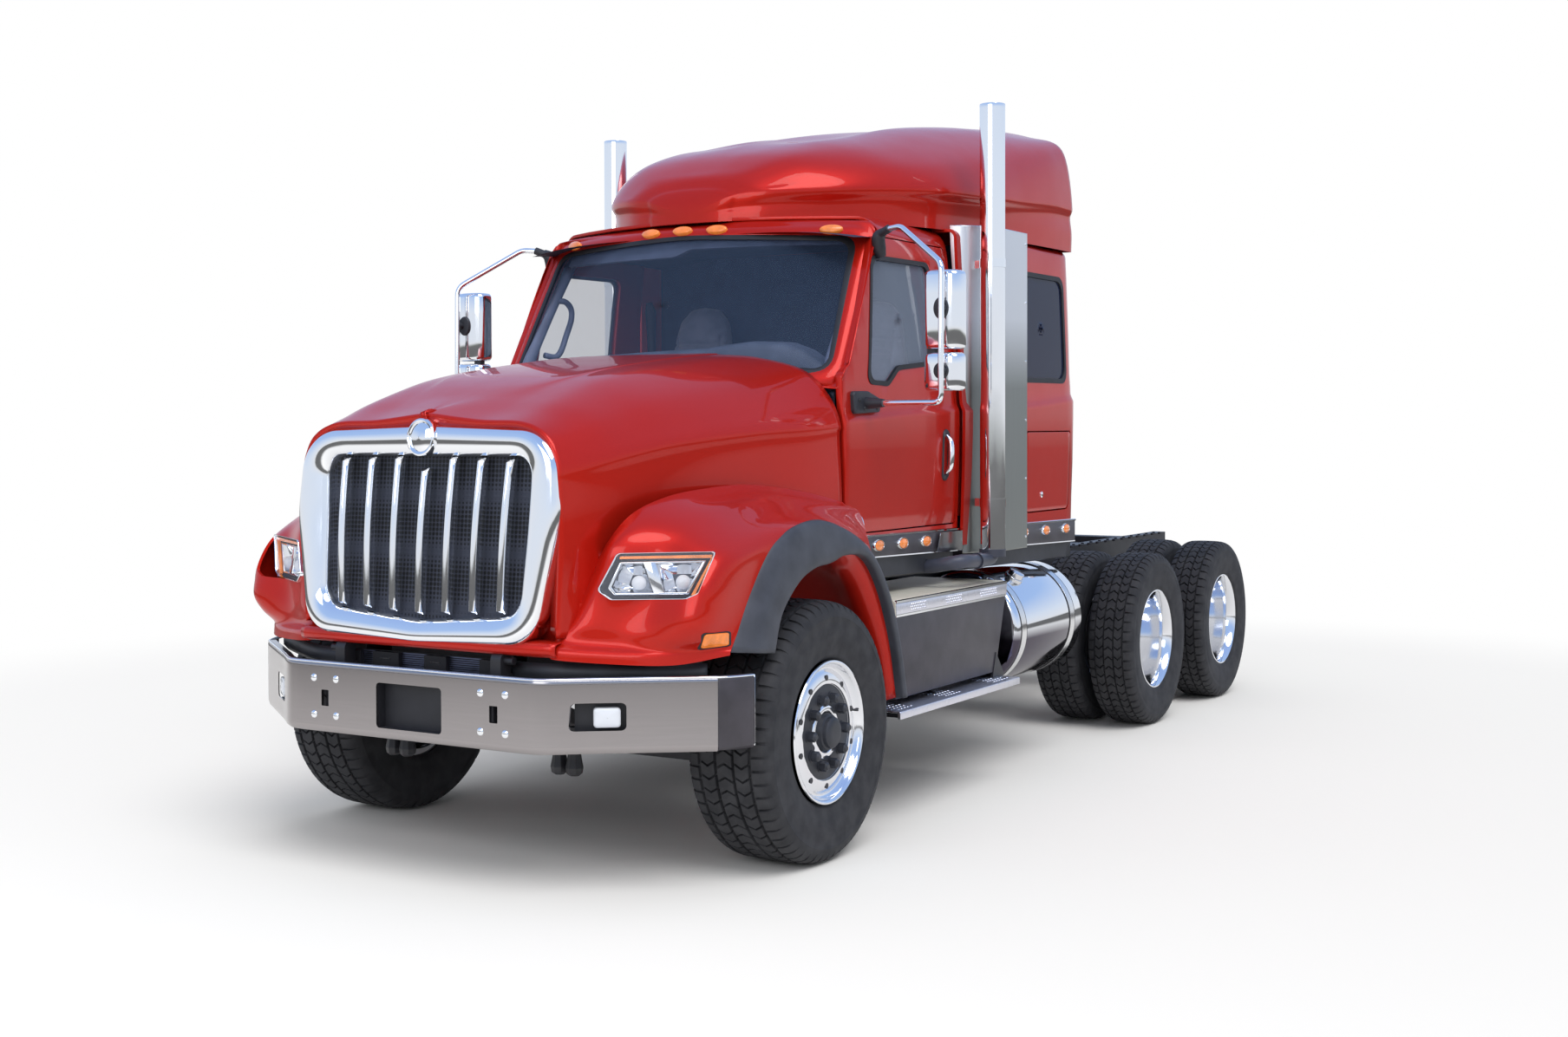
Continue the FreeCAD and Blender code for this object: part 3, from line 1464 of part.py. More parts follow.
def roof_fairing():
    sections = []
    length = fairing_rear_behind - fairing_front_behind
    for share, points in zip(fairing_station_shares, fairing_section_shares):
        y = station(fairing_front_behind + share * length)
        sections.append(even_section(scaled(points, fairing_half_width, fairing_rise, fairing_base), y))
    body = Part.makeLoft(sections, True, False)
    reach = 2 * fairing_half_width
    below = block(-reach, reach, station(0), station(frame_behind), cab_floor, fairing_base)
    return body.cut(below)


# Inside of the cab

def seat(x):
    y = station(seat_behind)
    floor = cab_floor + floor_wall + seat_gap
    base = seat_top - seat_cushion
    shapes = [block(x - seat_pedestal_half, x + seat_pedestal_half, y - seat_pedestal_half,
                    y + seat_pedestal_half,
                    floor, base)]
    cushion = block(x - seat_width / 2, x + seat_width / 2, y - seat_length / 2, y + seat_length / 2, base,
                    seat_top)
    shapes.append(cushion)
    rear = y + seat_length / 2 - seat_back_thick
    back = block(x - seat_width / 2, x + seat_width / 2, rear, rear + seat_back_thick,
                 base, seat_top + seat_back_height)
    rest = block(x - headrest_width / 2, x + headrest_width / 2, rear, rear + seat_back_thick,
                 seat_top + seat_back_height, seat_top + seat_back_height + headrest_height)
    upright = joined([back, rest])
    upright.rotate(Vector(x, rear, base), Vector(1, 0, 0), -seat_recline)
    shapes.append(upright)
    return joined(shapes)


def seats():
    return Part.makeCompound([seat(seat_x), seat(-seat_x)])


def dashboard():
    front = station(cab_front_behind + cab_wall + seat_gap)
    rear = front + dash_depth
    outline = [(front, dash_bottom), (rear - overrun * 4, dash_bottom), (rear, dash_bottom + overrun * 8),
               (rear - overrun * 2, dash_top - overrun * 2), (front + overrun * 4, dash_top), (front,
                                                                                               dash_top)]
    side = cab_half_width - cab_wall - shut_gap
    shape = prism_x(outline, -side, side)
    room = cab_solid(cab_wall + seat_gap)
    shape = shape.common(room)
    return shape


def steering_wheel():
    rim = Part.makeTorus(wheel_rim_r, wheel_rim_tube_r)
    hub = Part.makeCylinder(wheel_hub_r, 3 * wheel_rim_tube_r, Vector(0, 0, -wheel_rim_tube_r * 2))
    shapes = [rim, hub]
    for i in range(wheel_spoke_count):
        angle = math.pi / 2 + i * 2 * math.pi / wheel_spoke_count
        end = Vector(wheel_rim_r * math.cos(angle), wheel_rim_r * math.sin(angle), 0)
        shapes.append(rod(Vector(0, 0, -wheel_rim_tube_r / 2), end, wheel_spoke_r))
    shapes.append(Part.makeCylinder(column_r, dash_depth, Vector(0, 0, -dash_depth)))
    shape = joined(shapes)
    shape.rotate(Vector(0, 0, 0), Vector(1, 0, 0), wheel_tilt - 90)
    shape.translate(Vector(seat_x, station(wheel_centre_behind), wheel_centre_z))
    return shape.cut(dashboard())


# Engine and gearbox

def engine_block():
    front = station(-engine_front_ahead)
    rear = station(engine_rear_behind)
    low_half = frame_half_width - rail_flange - overrun
    block_low = block(-low_half, low_half, front, rear, engine_bottom, frame_top + overrun)
    block_high = block(-engine_half_width, engine_half_width, front, rear, frame_top + overrun, engine_top)
    gearbox = block(-gearbox_half_width, gearbox_half_width, rear, station(gearbox_rear_behind),
                    gearbox_bottom, gearbox_top)
    shapes = [block_low, block_high, gearbox]
    z = (gearbox_bottom + gearbox_top) / 2
    last = station(first_drive_behind) - banjo_r - axle_tube_r
    shapes.append(rod(Vector(0, station(gearbox_rear_behind), z), Vector(0, last, drive_tyre_r), shaft_r))
    second = station(first_drive_behind + tandem_spacing) - banjo_r - axle_tube_r
    shapes.append(rod(Vector(0, station(first_drive_behind) + banjo_r + seat_gap, drive_tyre_r),
                      Vector(0, second - seat_gap, drive_tyre_r), shaft_r))
    neighbours = [frame_rails(), rear_axles()]
    return Part.makeCompound([shape.cut(neighbours) for shape in shapes[:4]] + [shapes[4]])


# Skirts and lamps

def cab_skirt():
    side = cab_half_width
    outline = [
        (station(skirt_front_behind), skirt_bottom), (station(skirt_rear_behind), skirt_bottom - skirt_drop),
        (station(skirt_rear_behind), cab_floor - seat_gap), (station(skirt_front_behind),
                                                             cab_floor - seat_gap),
    ]
    low = prism_x(outline, side - skirt_wall, side)
    notch = block(side - skirt_wall - overrun, side + overrun, station(cross_pipe_behind) - elbow_r,
                  station(cross_pipe_behind) + elbow_r, 0, cross_pipe_z + elbow_pipe_r + overrun)
    return low.cut(notch)


def side_band(front_behind, rear_behind, side, drop):
    outline = [
        (station(front_behind), band_bottom - drop), (station(rear_behind), band_bottom - drop - band_drop),
        (station(rear_behind), band_top - drop - band_drop), (station(front_behind), band_top - drop),
    ]
    return prism_x(outline, side, side + band_proud)


def side_bands():
    return [
        side_band(cab_band_front_behind, cab_band_rear_behind, cab_half_width, 0.0),
        side_band(sleeper_band_front_behind, skirt_rear_behind, sleeper_half_width, 2 * band_drop),
    ]


def cab_skirts():
    return Part.makeCompound(both_sides([cab_skirt()] + side_bands()))


def side_lamp(x, behind, z):
    lamp = scaled_solid(Part.makeSphere(lamp_half_length), lamp_proud / lamp_half_length, 1.0,
                        lamp_half_height / lamp_half_length)
    lamp.translate(Vector(x, station(behind), z))
    return lamp.common(block(x, x + lamp_proud + overrun, station(behind) - lamp_half_length,
                             station(behind) + lamp_half_length, z - lamp_half_height, z + lamp_half_height))


def side_lamps():
    cab_face = cab_half_width + band_proud
    sleeper_face = sleeper_half_width + band_proud
    lamps = [side_lamp(cab_face, behind, cab_lamp_z) for behind in cab_lamp_behind]
    return lamps + [side_lamp(sleeper_face, behind, sleeper_lamp_z) for behind in sleeper_lamp_behind]


def brow_front(x, z):
    share = (z - screen_base_z) / (screen_top_z - screen_base_z)
    middle = screen_base_behind + share * (screen_top_behind - screen_base_behind)
    return station(middle) + screen_bow * (x / screen_half_width) ** 2


def marker_lamps():
    lamps = []
    for x in roof_lamp_x:
        lamp = scaled_solid(Part.makeSphere(lamp_half_length), *roof_lamp_shares)
        lamp.translate(Vector(x, brow_front(x, cab_roof - roof_lamp_drop), cab_roof - roof_lamp_drop))
        lamps.append(lamp.cut(cab_solid(0.0)))
    return Part.makeCompound(lamps + both_sides(side_lamps()))


def scaled_solid(shape, x_scale, y_scale, z_scale):
    matrix = FreeCAD.Matrix()
    matrix.scale(x_scale, y_scale, z_scale)
    return shape.transformGeometry(matrix)


# Exhaust stacks and their shields

def stack(side):
    y = station(stack_behind)
    top = ring(Vector(stack_x, y, stack_bottom), Vector(stack_x, y, stack_top), stack_r, stack_r - stack_wall)
    low = Vector(stack_x, y, cross_pipe_z)
    turn = Vector(stack_x, station(cross_pipe_behind), cross_pipe_z)
    inner = Vector(0, station(cross_pipe_behind), cross_pipe_z)
    foot = tube_path([Vector(stack_x, y, stack_bottom), low, turn, inner], elbow_pipe_r)
    plug = rod(Vector(stack_x, y, stack_bottom), Vector(stack_x, y, stack_bottom + overrun), stack_r)
    return joined([top, foot, plug])


def exhaust_stacks():
    left = stack(1)
    posts = []
    for side in (1, -1):
        x = side * (frame_half_width - rail_flange / 2)
        y = station(cross_pipe_behind)
        posts.append(rod(Vector(x, y, frame_top), Vector(x, y, cross_pipe_z), pipe_post_r))
    return joined([left, mirrored(left)] + posts)


def heat_shield():
    line = [(shield_inner_x, station(shield_inner_behind)), (shield_corner_x, station(shield_corner_behind)),
            (shield_rear_x, station(shield_rear_behind))]
    sheet = prism_z(line + list(reversed(offset_line(line, shield_wall))), shield_bottom, shield_top)
    shapes = [sheet]
    for share in shield_arm_shares:
        z = shield_bottom + share * (shield_top - shield_bottom)
        y = station(shield_rear_behind) - overrun * 3
        lean_share = max(0.0, (z - cab_belt) / (sleeper_roof - cab_belt))
        side = sleeper_half_width - cab_lean_in * lean_share
        shapes.append(block(side - overrun, shield_rear_x - shield_wall, y - overrun, y + overrun,
                            z - overrun, z + overrun))
    whole = joined(shapes).cut(sleeper_solid(0.0))
    ties = []
    for share in stack_tie_shares:
        z = shield_bottom + share * (shield_top - shield_bottom)
        y = station(stack_behind)
        ties.append(block(stack_x - stack_r, shield_corner_x, y, station(shield_corner_behind),
                          z - overrun, z + overrun))
    foot = Vector(stack_x, station(stack_behind), 0)
    tie = joined(ties).cut(rod(foot, foot + Vector(0, 0, stack_top), stack_r + seat_gap))
    return joined([whole, tie]).cut(sleeper_solid(0.0)).cut(cab_solid(0.0))


def heat_shields():
    return Part.makeCompound(both_sides([heat_shield()]))


# Tanks, battery box and steps

def fuel_tank():
    tank = rod(Vector(tank_x, station(tank_front_behind), tank_z), Vector(tank_x, station(tank_rear_behind),
                                                                          tank_z),
               tank_r)
    tank = tank.makeFillet(tank_round, [edge for edge in tank.Edges if edge.BoundBox.YLength < seat_gap])
    shapes = [tank]
    for behind in strap_behind:
        y = station(behind)
        shapes.append(rod(Vector(tank_x, y - strap_width / 2, tank_z),
                          Vector(tank_x, y + strap_width / 2, tank_z),
                          tank_r + strap_thick))
        shapes.append(block(frame_half_width, tank_x - tank_r / 2, y - strap_width / 2, y + strap_width / 2,
                            tank_z - strap_width, tank_z + strap_width))
    y = station(tank_front_behind) + tank_r
    lift = (tank_r + filler_height) * math.cos(math.radians(filler_angle))
    out = (tank_r + filler_height) * math.sin(math.radians(filler_angle))
    shapes.append(rod(Vector(tank_x, y, tank_z), Vector(tank_x + out, y, tank_z + lift), filler_r))
    return joined(shapes)


def fuel_tanks():
    return Part.makeCompound(both_sides([fuel_tank()]))


def step_box():
    outline = [(station(box_front_behind), box_bottom), (station(box_rear_low_behind), box_bottom),
               (station(box_rear_behind), box_top), (station(box_front_behind), box_top)]
    body = prism_x(outline, box_inner_x, box_outer_x - tread_proud)
    lip = block(box_outer_x - tread_proud, box_outer_x, station(box_front_behind), station(box_rear_behind),
                box_top - tread_height, box_top)
    arms = []
    for behind in (box_front_behind + bracket_width / 2, box_rear_low_behind - 2 * bracket_width):
        y = station(behind)
        arms.append(block(frame_half_width, box_inner_x, y, y + bracket_width,
                          frame_top - rail_depth + rail_wall,
                          frame_top - rail_wall))
    return joined([body, lip] + arms)


def side_step():
    deck = block(step_inner_x, step_outer_x, station(step_front_behind), station(step_rear_behind),
                 step_top - step_thick, step_top)
    shapes = [deck]
    for behind in step_bracket_behind:
        y = station(behind)
        x = box_outer_x - tread_proud
        shapes.append(block(step_inner_x, x, y, y + bracket_wall, step_top, box_bottom))
    return joined(shapes)


def make_pair(build):
    return Part.makeCompound(both_sides([build()]))


# Nodes

def write(name, shape):
    shape.exportStep("parts/" + name + ".step")
    print(name, len(shape.Solids), round(shape.Volume / 1e6, 2), shape.isValid())


def fixed_nodes():
    return {
        "frame_rails": frame_rails, "suspension": suspension, "front_axle_beam": front_axle_beam,
        "rear_axles": rear_axles, "front_bumper": front_bumper, "fog_lamps": fog_lamps,
        "front_valance": front_valance, "radiator": radiator, "engine_gearbox": engine_block,
        "cab_shell": cab_shell, "cab_glass": cab_glass, "sleeper_shell": sleeper_shell,
        "roof_fairing": roof_fairing, "seats": seats, "dashboard": dashboard, "steering_wheel": steering_wheel,
        "cab_skirts": cab_skirts, "marker_lamps": marker_lamps, "exhaust_stacks": exhaust_stacks,
        "heat_shields": heat_shields, "fuel_tanks": fuel_tanks,
    }


def main():
    os.makedirs("parts", exist_ok=True)
    for name, build in fixed_nodes().items():
        write(name, build())
    write("step_boxes", make_pair(step_box))
    write("side_steps", make_pair(side_step))
    write("hood_shell", hood_shell())
    write("grille_surround", grille_surround())
    write("grille_bars", grille_bars())
    write("grille_mesh", grille_mesh())
    write("headlamps", make_pair(headlamp))
    write("fender_flares", make_pair(fender_flare))
    for word, side in (("left", 1), ("right", -1)):
        write("door_" + word, door_panel(side))
        write("door_glass_" + word, door_glass(side))
        write("mirror_" + word, mirror(side))
        write("luggage_door_" + word, hatch(side))
        write("knuckle_" + word, knuckle(side))
        write("front_tyre_" + word, steer_tyre(side))
        write("front_rim_" + word, steer_rim(side))
        for index in range(2):
            write("rear_tyres_%d_%s" % (index + 1, word), dual_tyres(index, side))
            write("rear_rims_%d_%s" % (index + 1, word), dual_rims(index, side))


main()
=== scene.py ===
import math
import bmesh
import bpy
import numpy as np
from mathutils import Matrix, Vector
from mathutils.bvhtree import BVHTree

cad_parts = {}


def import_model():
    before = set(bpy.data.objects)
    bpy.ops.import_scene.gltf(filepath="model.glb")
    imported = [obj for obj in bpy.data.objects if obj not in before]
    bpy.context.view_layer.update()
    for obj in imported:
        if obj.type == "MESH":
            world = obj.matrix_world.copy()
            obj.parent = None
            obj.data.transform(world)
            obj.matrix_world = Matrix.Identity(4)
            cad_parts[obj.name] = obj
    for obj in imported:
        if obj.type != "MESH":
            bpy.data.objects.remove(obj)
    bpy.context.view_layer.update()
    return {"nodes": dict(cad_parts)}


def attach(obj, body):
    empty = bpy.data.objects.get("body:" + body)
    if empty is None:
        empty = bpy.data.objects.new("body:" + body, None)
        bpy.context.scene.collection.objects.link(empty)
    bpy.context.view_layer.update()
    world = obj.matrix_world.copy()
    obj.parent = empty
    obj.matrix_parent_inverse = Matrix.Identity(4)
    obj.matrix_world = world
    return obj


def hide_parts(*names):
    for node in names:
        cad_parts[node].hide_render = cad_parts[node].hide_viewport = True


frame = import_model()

# Lengths are metres. Points are written with Y measured from the front axle,
# and AXLE moves them into the part's own frame.
AXLE = -2.770
STEER_Z = 0.545
DRIVE_Z = 0.515
DRIVE_Y = (4.185, 5.505)
SHEET = 0.012


# Helpers that make meshes

def catmull(points, count):
    """Points along a smooth curve through the given rows of points."""
    pts = np.asarray(points, float)
    spans = len(pts) - 1
    if spans == 1:
        t = np.linspace(0, 1, count)[:, None]
        return pts[0] * (1 - t) + pts[1] * t
    ext = np.concatenate([pts[:1] * 2 - pts[1:2], pts, pts[-1:] * 2 - pts[-2:-1]])
    flat = ext.reshape(len(ext), -1)
    gaps = np.maximum(np.linalg.norm(np.diff(flat, axis=0), axis=1) ** 0.5, 1e-6)
    knots = np.concatenate([[0.0], np.cumsum(gaps)])
    out = []
    for t in np.linspace(knots[1], knots[1 + spans], count):
        i = min(max(int(np.searchsorted(knots, t, side="right")) - 1, 1), spans)
        t0, t1, t2, t3 = knots[i - 1:i + 3]
        p0, p1, p2, p3 = flat[i - 1:i + 3]
        a1 = (t1 - t) / (t1 - t0) * p0 + (t - t0) / (t1 - t0) * p1
        a2 = (t2 - t) / (t2 - t1) * p1 + (t - t1) / (t2 - t1) * p2
        a3 = (t3 - t) / (t3 - t2) * p2 + (t - t2) / (t3 - t2) * p3
        b1 = (t2 - t) / (t2 - t0) * a1 + (t - t0) / (t2 - t0) * a2
        b2 = (t3 - t) / (t3 - t1) * a2 + (t - t1) / (t3 - t1) * a3
        out.append((t2 - t) / (t2 - t1) * b1 + (t - t1) / (t2 - t1) * b2)
    return np.array(out).reshape((len(out),) + pts.shape[1:])


def smooth_grid(rows, nu, nv):
    """A fine grid through a coarse grid of points."""
    fine = catmull(rows, nu)
    return np.swapaxes(catmull(np.swapaxes(fine, 0, 1), nv), 0, 1)


def shade(obj, angle=None):
    """Smooth shading, with edges over an angle in degrees kept sharp."""
    obj.data.shade_smooth()
    if angle is not None:
        obj.data.set_sharp_from_angle(angle=math.radians(angle))


def around(count):
    """The angles of a full turn in equal steps."""
    return np.linspace(0, 2 * math.pi, count, endpoint=False)


def in_scene(name, data):
    obj = bpy.data.objects.new(name, data)
    bpy.context.scene.collection.objects.link(obj)
    return obj


class Build:
    """Collects vertices and faces of one piece."""

    def __init__(self):
        self.verts = []
        self.faces = []

    def grid(self, g, closed_v=False, flip=False):
        g = np.asarray(g, float)
        nu, nv = g.shape[:2]
        base = len(self.verts)
        self.verts.extend(map(tuple, g.reshape(-1, 3)))
        for i in range(nu - 1):
            for j in range(nv if closed_v else nv - 1):
                a, b = base + i * nv + j, base + i * nv + (j + 1) % nv
                c, d = b + nv, a + nv
                self.faces.append((a, d, c, b) if flip else (a, b, c, d))

    def cap(self, count):
        """Closes the last ring of so many points."""
        end = len(self.verts)
        self.faces.append(tuple(range(end - count, end)))

    def turned_over(self):
        self.faces = [tuple(reversed(f)) for f in self.faces]

    def prism(self, outline, offset):
        """A closed outline pushed along an offset, with both ends capped."""
        base = len(self.verts)
        n = len(outline)
        pts = np.asarray(outline, float)
        self.verts.extend(map(tuple, pts))
        self.verts.extend(map(tuple, pts + np.asarray(offset, float)))
        for i in range(n):
            j = (i + 1) % n
            self.faces.append((base + i, base + j, base + n + j, base + n + i))
        self.faces.append(tuple(base + i for i in reversed(range(n))))
        self.cap(n)

    def box(self, x0, x1, y0, y1, z0, z1):
        self.prism([(x0, y0, z0), (x1, y0, z0), (x1, y1, z0), (x0, y1, z0)], (0, 0, z1 - z0))

    def tube(self, path, radius, sides=16):
        """A round bar along a path; radius is one number or one per point."""
        base = len(self.verts)
        self.grid(tube_rings(np.asarray(path, float), radius, sides), closed_v=True)
        self.faces.append(tuple(base + i for i in reversed(range(sides))))
        self.cap(sides)

    def lathe(self, profile, centre, axis="x", steps=64, side=1):
        """A profile of (along, radius) turned about an axis through the centre."""
        prof = np.asarray(profile, float)
        angles = around(steps)
        g = np.zeros((len(prof), steps, 3))
        run, u, v = {"x": (0, 1, 2), "y": (1, 0, 2), "z": (2, 0, 1)}[axis]
        g[..., run] = prof[:, :1] * side
        g[..., u] = prof[:, 1:] * np.cos(angles)
        g[..., v] = prof[:, 1:] * np.sin(angles)
        self.grid(g + np.asarray(centre, float), closed_v=True)

    def mirrored(self):
        """Adds the same again on the truck's other side."""
        base = len(self.verts)
        self.verts.extend([(-x, y, z) for x, y, z in self.verts])
        self.faces.extend([tuple(base + i for i in reversed(f)) for f in self.faces])
        return self

    def make(self, name, mat, smooth=True, sharp=None):
        mesh = bpy.data.meshes.new(name)
        mesh.from_pydata([(x, y + AXLE, z) for x, y, z in self.verts], [], self.faces)
        mesh.validate()
        mesh.update()
        obj = in_scene(name, mesh)
        mesh.materials.append(mat)
        if smooth:
            shade(obj, sharp)
        return obj


def tube_rings(path, radius, sides):
    n = len(path)
    tangents = np.gradient(path, axis=0)
    tangents /= np.linalg.norm(tangents, axis=1)[:, None]
    up = np.array([0.0, 0.0, 1.0]) if abs(tangents[0][2]) < 0.9 else np.array([0.0, 1.0, 0.0])
    normal = np.cross(tangents[0], up)
    normal /= np.linalg.norm(normal)
    angles = around(sides)[:, None]
    radii = np.full(n, radius) if np.isscalar(radius) else np.asarray(radius)
    rings = np.zeros((n, sides, 3))
    for i in range(n):
        normal = normal - tangents[i] * np.dot(normal, tangents[i])
        normal /= np.linalg.norm(normal)
        other = np.cross(tangents[i], normal)
        rings[i] = path[i] + radii[i] * (np.cos(angles) * normal + np.sin(angles) * other)
    return rings


def tapered(count, places, radii):
    """Radii along a tube of count points, given at a few places from 0 to 1."""
    return np.interp(np.linspace(0, 1, count), places, radii)


def rounded(points, radius, steps=6):
    """A closed outline with its corners rounded; radius may be one number or one per corner."""
    pts = [np.asarray(p, float) for p in points]
    n = len(pts)
    radii = radius if isinstance(radius, (list, tuple)) else [radius] * n
    out = []
    for i in range(n):
        p, a, b = pts[i], pts[i - 1], pts[(i + 1) % n]
        u = (a - p) / np.linalg.norm(a - p)
        w = (b - p) / np.linalg.norm(b - p)
        half = math.acos(max(-1.0, min(1.0, float(np.dot(u, w))))) / 2
        back = radii[i] / math.tan(half)
        back = min(back, np.linalg.norm(a - p) * 0.49, np.linalg.norm(b - p) * 0.49)
        r = back * math.tan(half)
        mid = (u + w) / np.linalg.norm(u + w)
        centre = p + mid * (r / math.sin(half))
        s, e = p + u * back - centre, p + w * back - centre
        total = math.pi - 2 * half
        for k in range(steps + 1):
            t = k / steps
            v = (math.sin((1 - t) * total) * s + math.sin(t * total) * e) / math.sin(total)
            out.append(centre + v)
    return out


def resample(line, count):
    """Evenly spaced points round a closed outline, starting at its first point."""
    pts = np.array([np.asarray(p, float) for p in line])
    pts = np.concatenate([pts, pts[:1]])
    run = np.concatenate([[0], np.cumsum(np.linalg.norm(np.diff(pts, axis=0), axis=1))])
    ts = np.linspace(0, run[-1], count, endpoint=False)
    return np.stack([np.interp(ts, run, pts[:, k]) for k in range(pts.shape[1])], 1)


def grow(outline, distance):
    """The outline with every side moved outwards by a distance."""
    pts = [np.asarray(p, float) for p in outline]
    area = sum(a[0] * b[1] - b[0] * a[1] for a, b in zip(pts, pts[1:] + pts[:1]))
    sign = 1 if area > 0 else -1
    out = []
    for i, p in enumerate(pts):
        a, b = pts[i - 1], pts[(i + 1) % len(pts)]
        u = (p - a) / np.linalg.norm(p - a)
        w = (b - p) / np.linalg.norm(b - p)
        n1, n2 = np.array([u[1], -u[0]]) * sign, np.array([w[1], -w[0]]) * sign
        m = n1 + n2
        out.append(tuple(p + m * (2 / np.dot(m, m)) * distance))
    return out


def between(inner, outer, steps, place):
    """Rings from one line to another; a step is a share of the way and a lift, and place puts (u, v, lift) in space."""
    return [[place(u, v, lift) for u, v in inner * (1 - mix) + outer * mix] for mix, lift in steps]


def shrunk(line, steps, place, mid=None):
    """Rings of one line that shrinks towards its middle; a step is a size and a lift."""
    mid = line.mean(axis=0) if mid is None else mid
    return [[place(*(mid + (p - mid) * size), lift) for p in line] for size, lift in steps]


def modifier(obj, kind, **values):
    m = obj.modifiers.new(kind.lower(), kind)
    for key, value in values.items():
        setattr(m, key, value)
    return m


def apply_all(obj):
    dg = bpy.context.evaluated_depsgraph_get()
    mesh = bpy.data.meshes.new_from_object(obj.evaluated_get(dg))
    obj.modifiers.clear()
    obj.data = mesh


def soften(obj, width=0.003):
    """Small bevels on the edges over 40 degrees."""
    modifier(obj, "BEVEL", width=width, segments=2, limit_method="ANGLE", angle_limit=math.radians(40))
    apply_all(obj)
    shade(obj, 50)


def solidify(obj, thickness, offset=-1.0):
    modifier(obj, "SOLIDIFY", thickness=thickness, offset=offset)
    apply_all(obj)


def mesh_edit(obj, change):
    bm = bmesh.new()
    bm.from_mesh(obj.data)
    change(bm)
    bm.to_mesh(obj.data)
    bm.free()


def merge(obj, distance=0.0004):
    mesh_edit(obj, lambda bm: bmesh.ops.remove_doubles(bm, verts=bm.verts, dist=distance))


def clip(obj, cutter, kind="DIFFERENCE"):
    """Cuts an object with a built cutter, which is then thrown away."""
    tool = cutter.make("cutter", SEAL, smooth=False)
    mesh_edit(tool, lambda bm: bmesh.ops.recalc_face_normals(bm, faces=bm.faces))
    modifier(obj, "BOOLEAN", operation=kind, solver="EXACT", object=tool)
    apply_all(obj)
    bpy.data.objects.remove(tool, do_unlink=True)


def fit(body, *pairs):
    """Gives pieces the CAD body that they move with; the slot in each pair is not used."""
    for obj, slot in pairs:
        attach(obj, body)


def fit_pair(obj, body, slot, replaces=None):
    """Fits the left piece and makes the mirrored right one, which keeps what the left one replaces."""
    fit(body, (obj, slot))
    if replaces:
        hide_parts(replaces)
    twin = obj.copy()
    twin.data = obj.data.copy()
    twin.name = obj.name.replace("left", "right")
    bpy.context.scene.collection.objects.link(twin)
    for v in twin.data.vertices:
        v.co.x = -v.co.x
    twin.data.flip_normals()
    fit(body.replace("left", "right"), (twin, slot))
    if replaces:
        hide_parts(replaces.replace("left", "right"))


# Materials

EVEN = (1, 1, 1)


def material(name, base, rough=0.5, metal=0.0, **more):
    mat = bpy.data.materials.new(name)
    mat.use_nodes = True
    values = {"Base Color": (*base, 1), "Roughness": rough, "Metallic": metal, "Coat Roughness": 0.05, "IOR": 1.5}
    for key, value in more.items():
        values[key.replace("_", " ")] = value
    for key, value in values.items():
        shader(mat).inputs[key].default_value = value
    return mat


def shader(mat):
    return mat.node_tree.nodes["Principled BSDF"]


def node(mat, kind, **values):
    """A node of a material or world; in_ names are inputs, the others are settings."""
    n = mat.node_tree.nodes.new(kind)
    for key, value in values.items():
        if key.startswith("in_"):
            n.inputs[key[3:].replace("_", " ")].default_value = value
        else:
            setattr(n, key, value)
    return n


def link(mat, a, out, b, inp):
    mat.node_tree.links.new(a.outputs[out], b.inputs[inp])


def texture(mat, kind, **values):
    """A texture in the piece's own coordinates."""
    tex = node(mat, kind, **values)
    link(mat, node(mat, "ShaderNodeTexCoord"), "Object", tex, "Vector")
    return tex


def noise(mat, scale, detail, stretch):
    tex = node(mat, "ShaderNodeTexNoise", in_Scale=scale, in_Detail=detail)
    link(mat, texture(mat, "ShaderNodeMapping", in_Scale=stretch), "Vector", tex, "Vector")
    return tex


def span(mat, from_low, from_high, to_low=0.0, to_high=1.0, **values):
    return node(mat, "ShaderNodeMapRange", in_From_Min=from_low, in_From_Max=from_high, in_To_Min=to_low,
                in_To_Max=to_high, **values)


def tones(mat, source, socket, dark, light, low=0.0, high=1.0):
    """Turns a number into the base colour, from dark to light."""
    ramp = node(mat, "ShaderNodeValToRGB")
    for stop, place, colour in zip(ramp.color_ramp.elements, (low, high), (dark, light)):
        stop.position = place
        stop.color = (*colour, 1)
    link(mat, source, socket, ramp, "Fac")
    link(mat, ramp, "Color", shader(mat), "Base Color")


def bump(mat, source, socket, strength, distance):
    n = node(mat, "ShaderNodeBump", in_Strength=strength, in_Distance=distance)
    link(mat, source, socket, n, "Height")
    link(mat, n, "Normal", shader(mat), "Normal")


def vary_rough(mat, scale, low, high, stretch=EVEN):
    """Lets the roughness follow a soft noise between two values."""
    ramp = span(mat, 0.3, 0.7, low, high)
    link(mat, noise(mat, scale, 4.0, stretch), "Fac", ramp, "Value")
    link(mat, ramp, "Result", shader(mat), "Roughness")


def vary_colour(mat, scale, dark, light, detail=4.0):
    tones(mat, noise(mat, scale, detail, EVEN), "Fac", dark, light, 0.35, 0.65)


def car_paint():
    mat = material("red_paint", (0.46, 0.012, 0.006), rough=0.38, metal=0.40, Coat_Weight=0.60, Coat_Roughness=0.03,
                   Coat_IOR=1.38, Specular_IOR_Level=0.1)
    vary_colour(mat, 900.0, (0.42, 0.009, 0.004), (0.56, 0.018, 0.008), detail=2.0)
    vary_rough(mat, 6.0, 0.33, 0.39)
    return mat


def chrome():
    mat = material("polished_chrome", (0.86, 0.87, 0.89), rough=0.07, metal=1.0)
    vary_rough(mat, 9.0, 0.05, 0.09)
    return mat


def brushed(name, base, rough, stretch, scale, spread=0.25):
    mat = material(name, base, rough=rough, metal=1.0)
    vary_rough(mat, scale, rough * (1 - spread), rough * (1 + spread), stretch)
    return mat


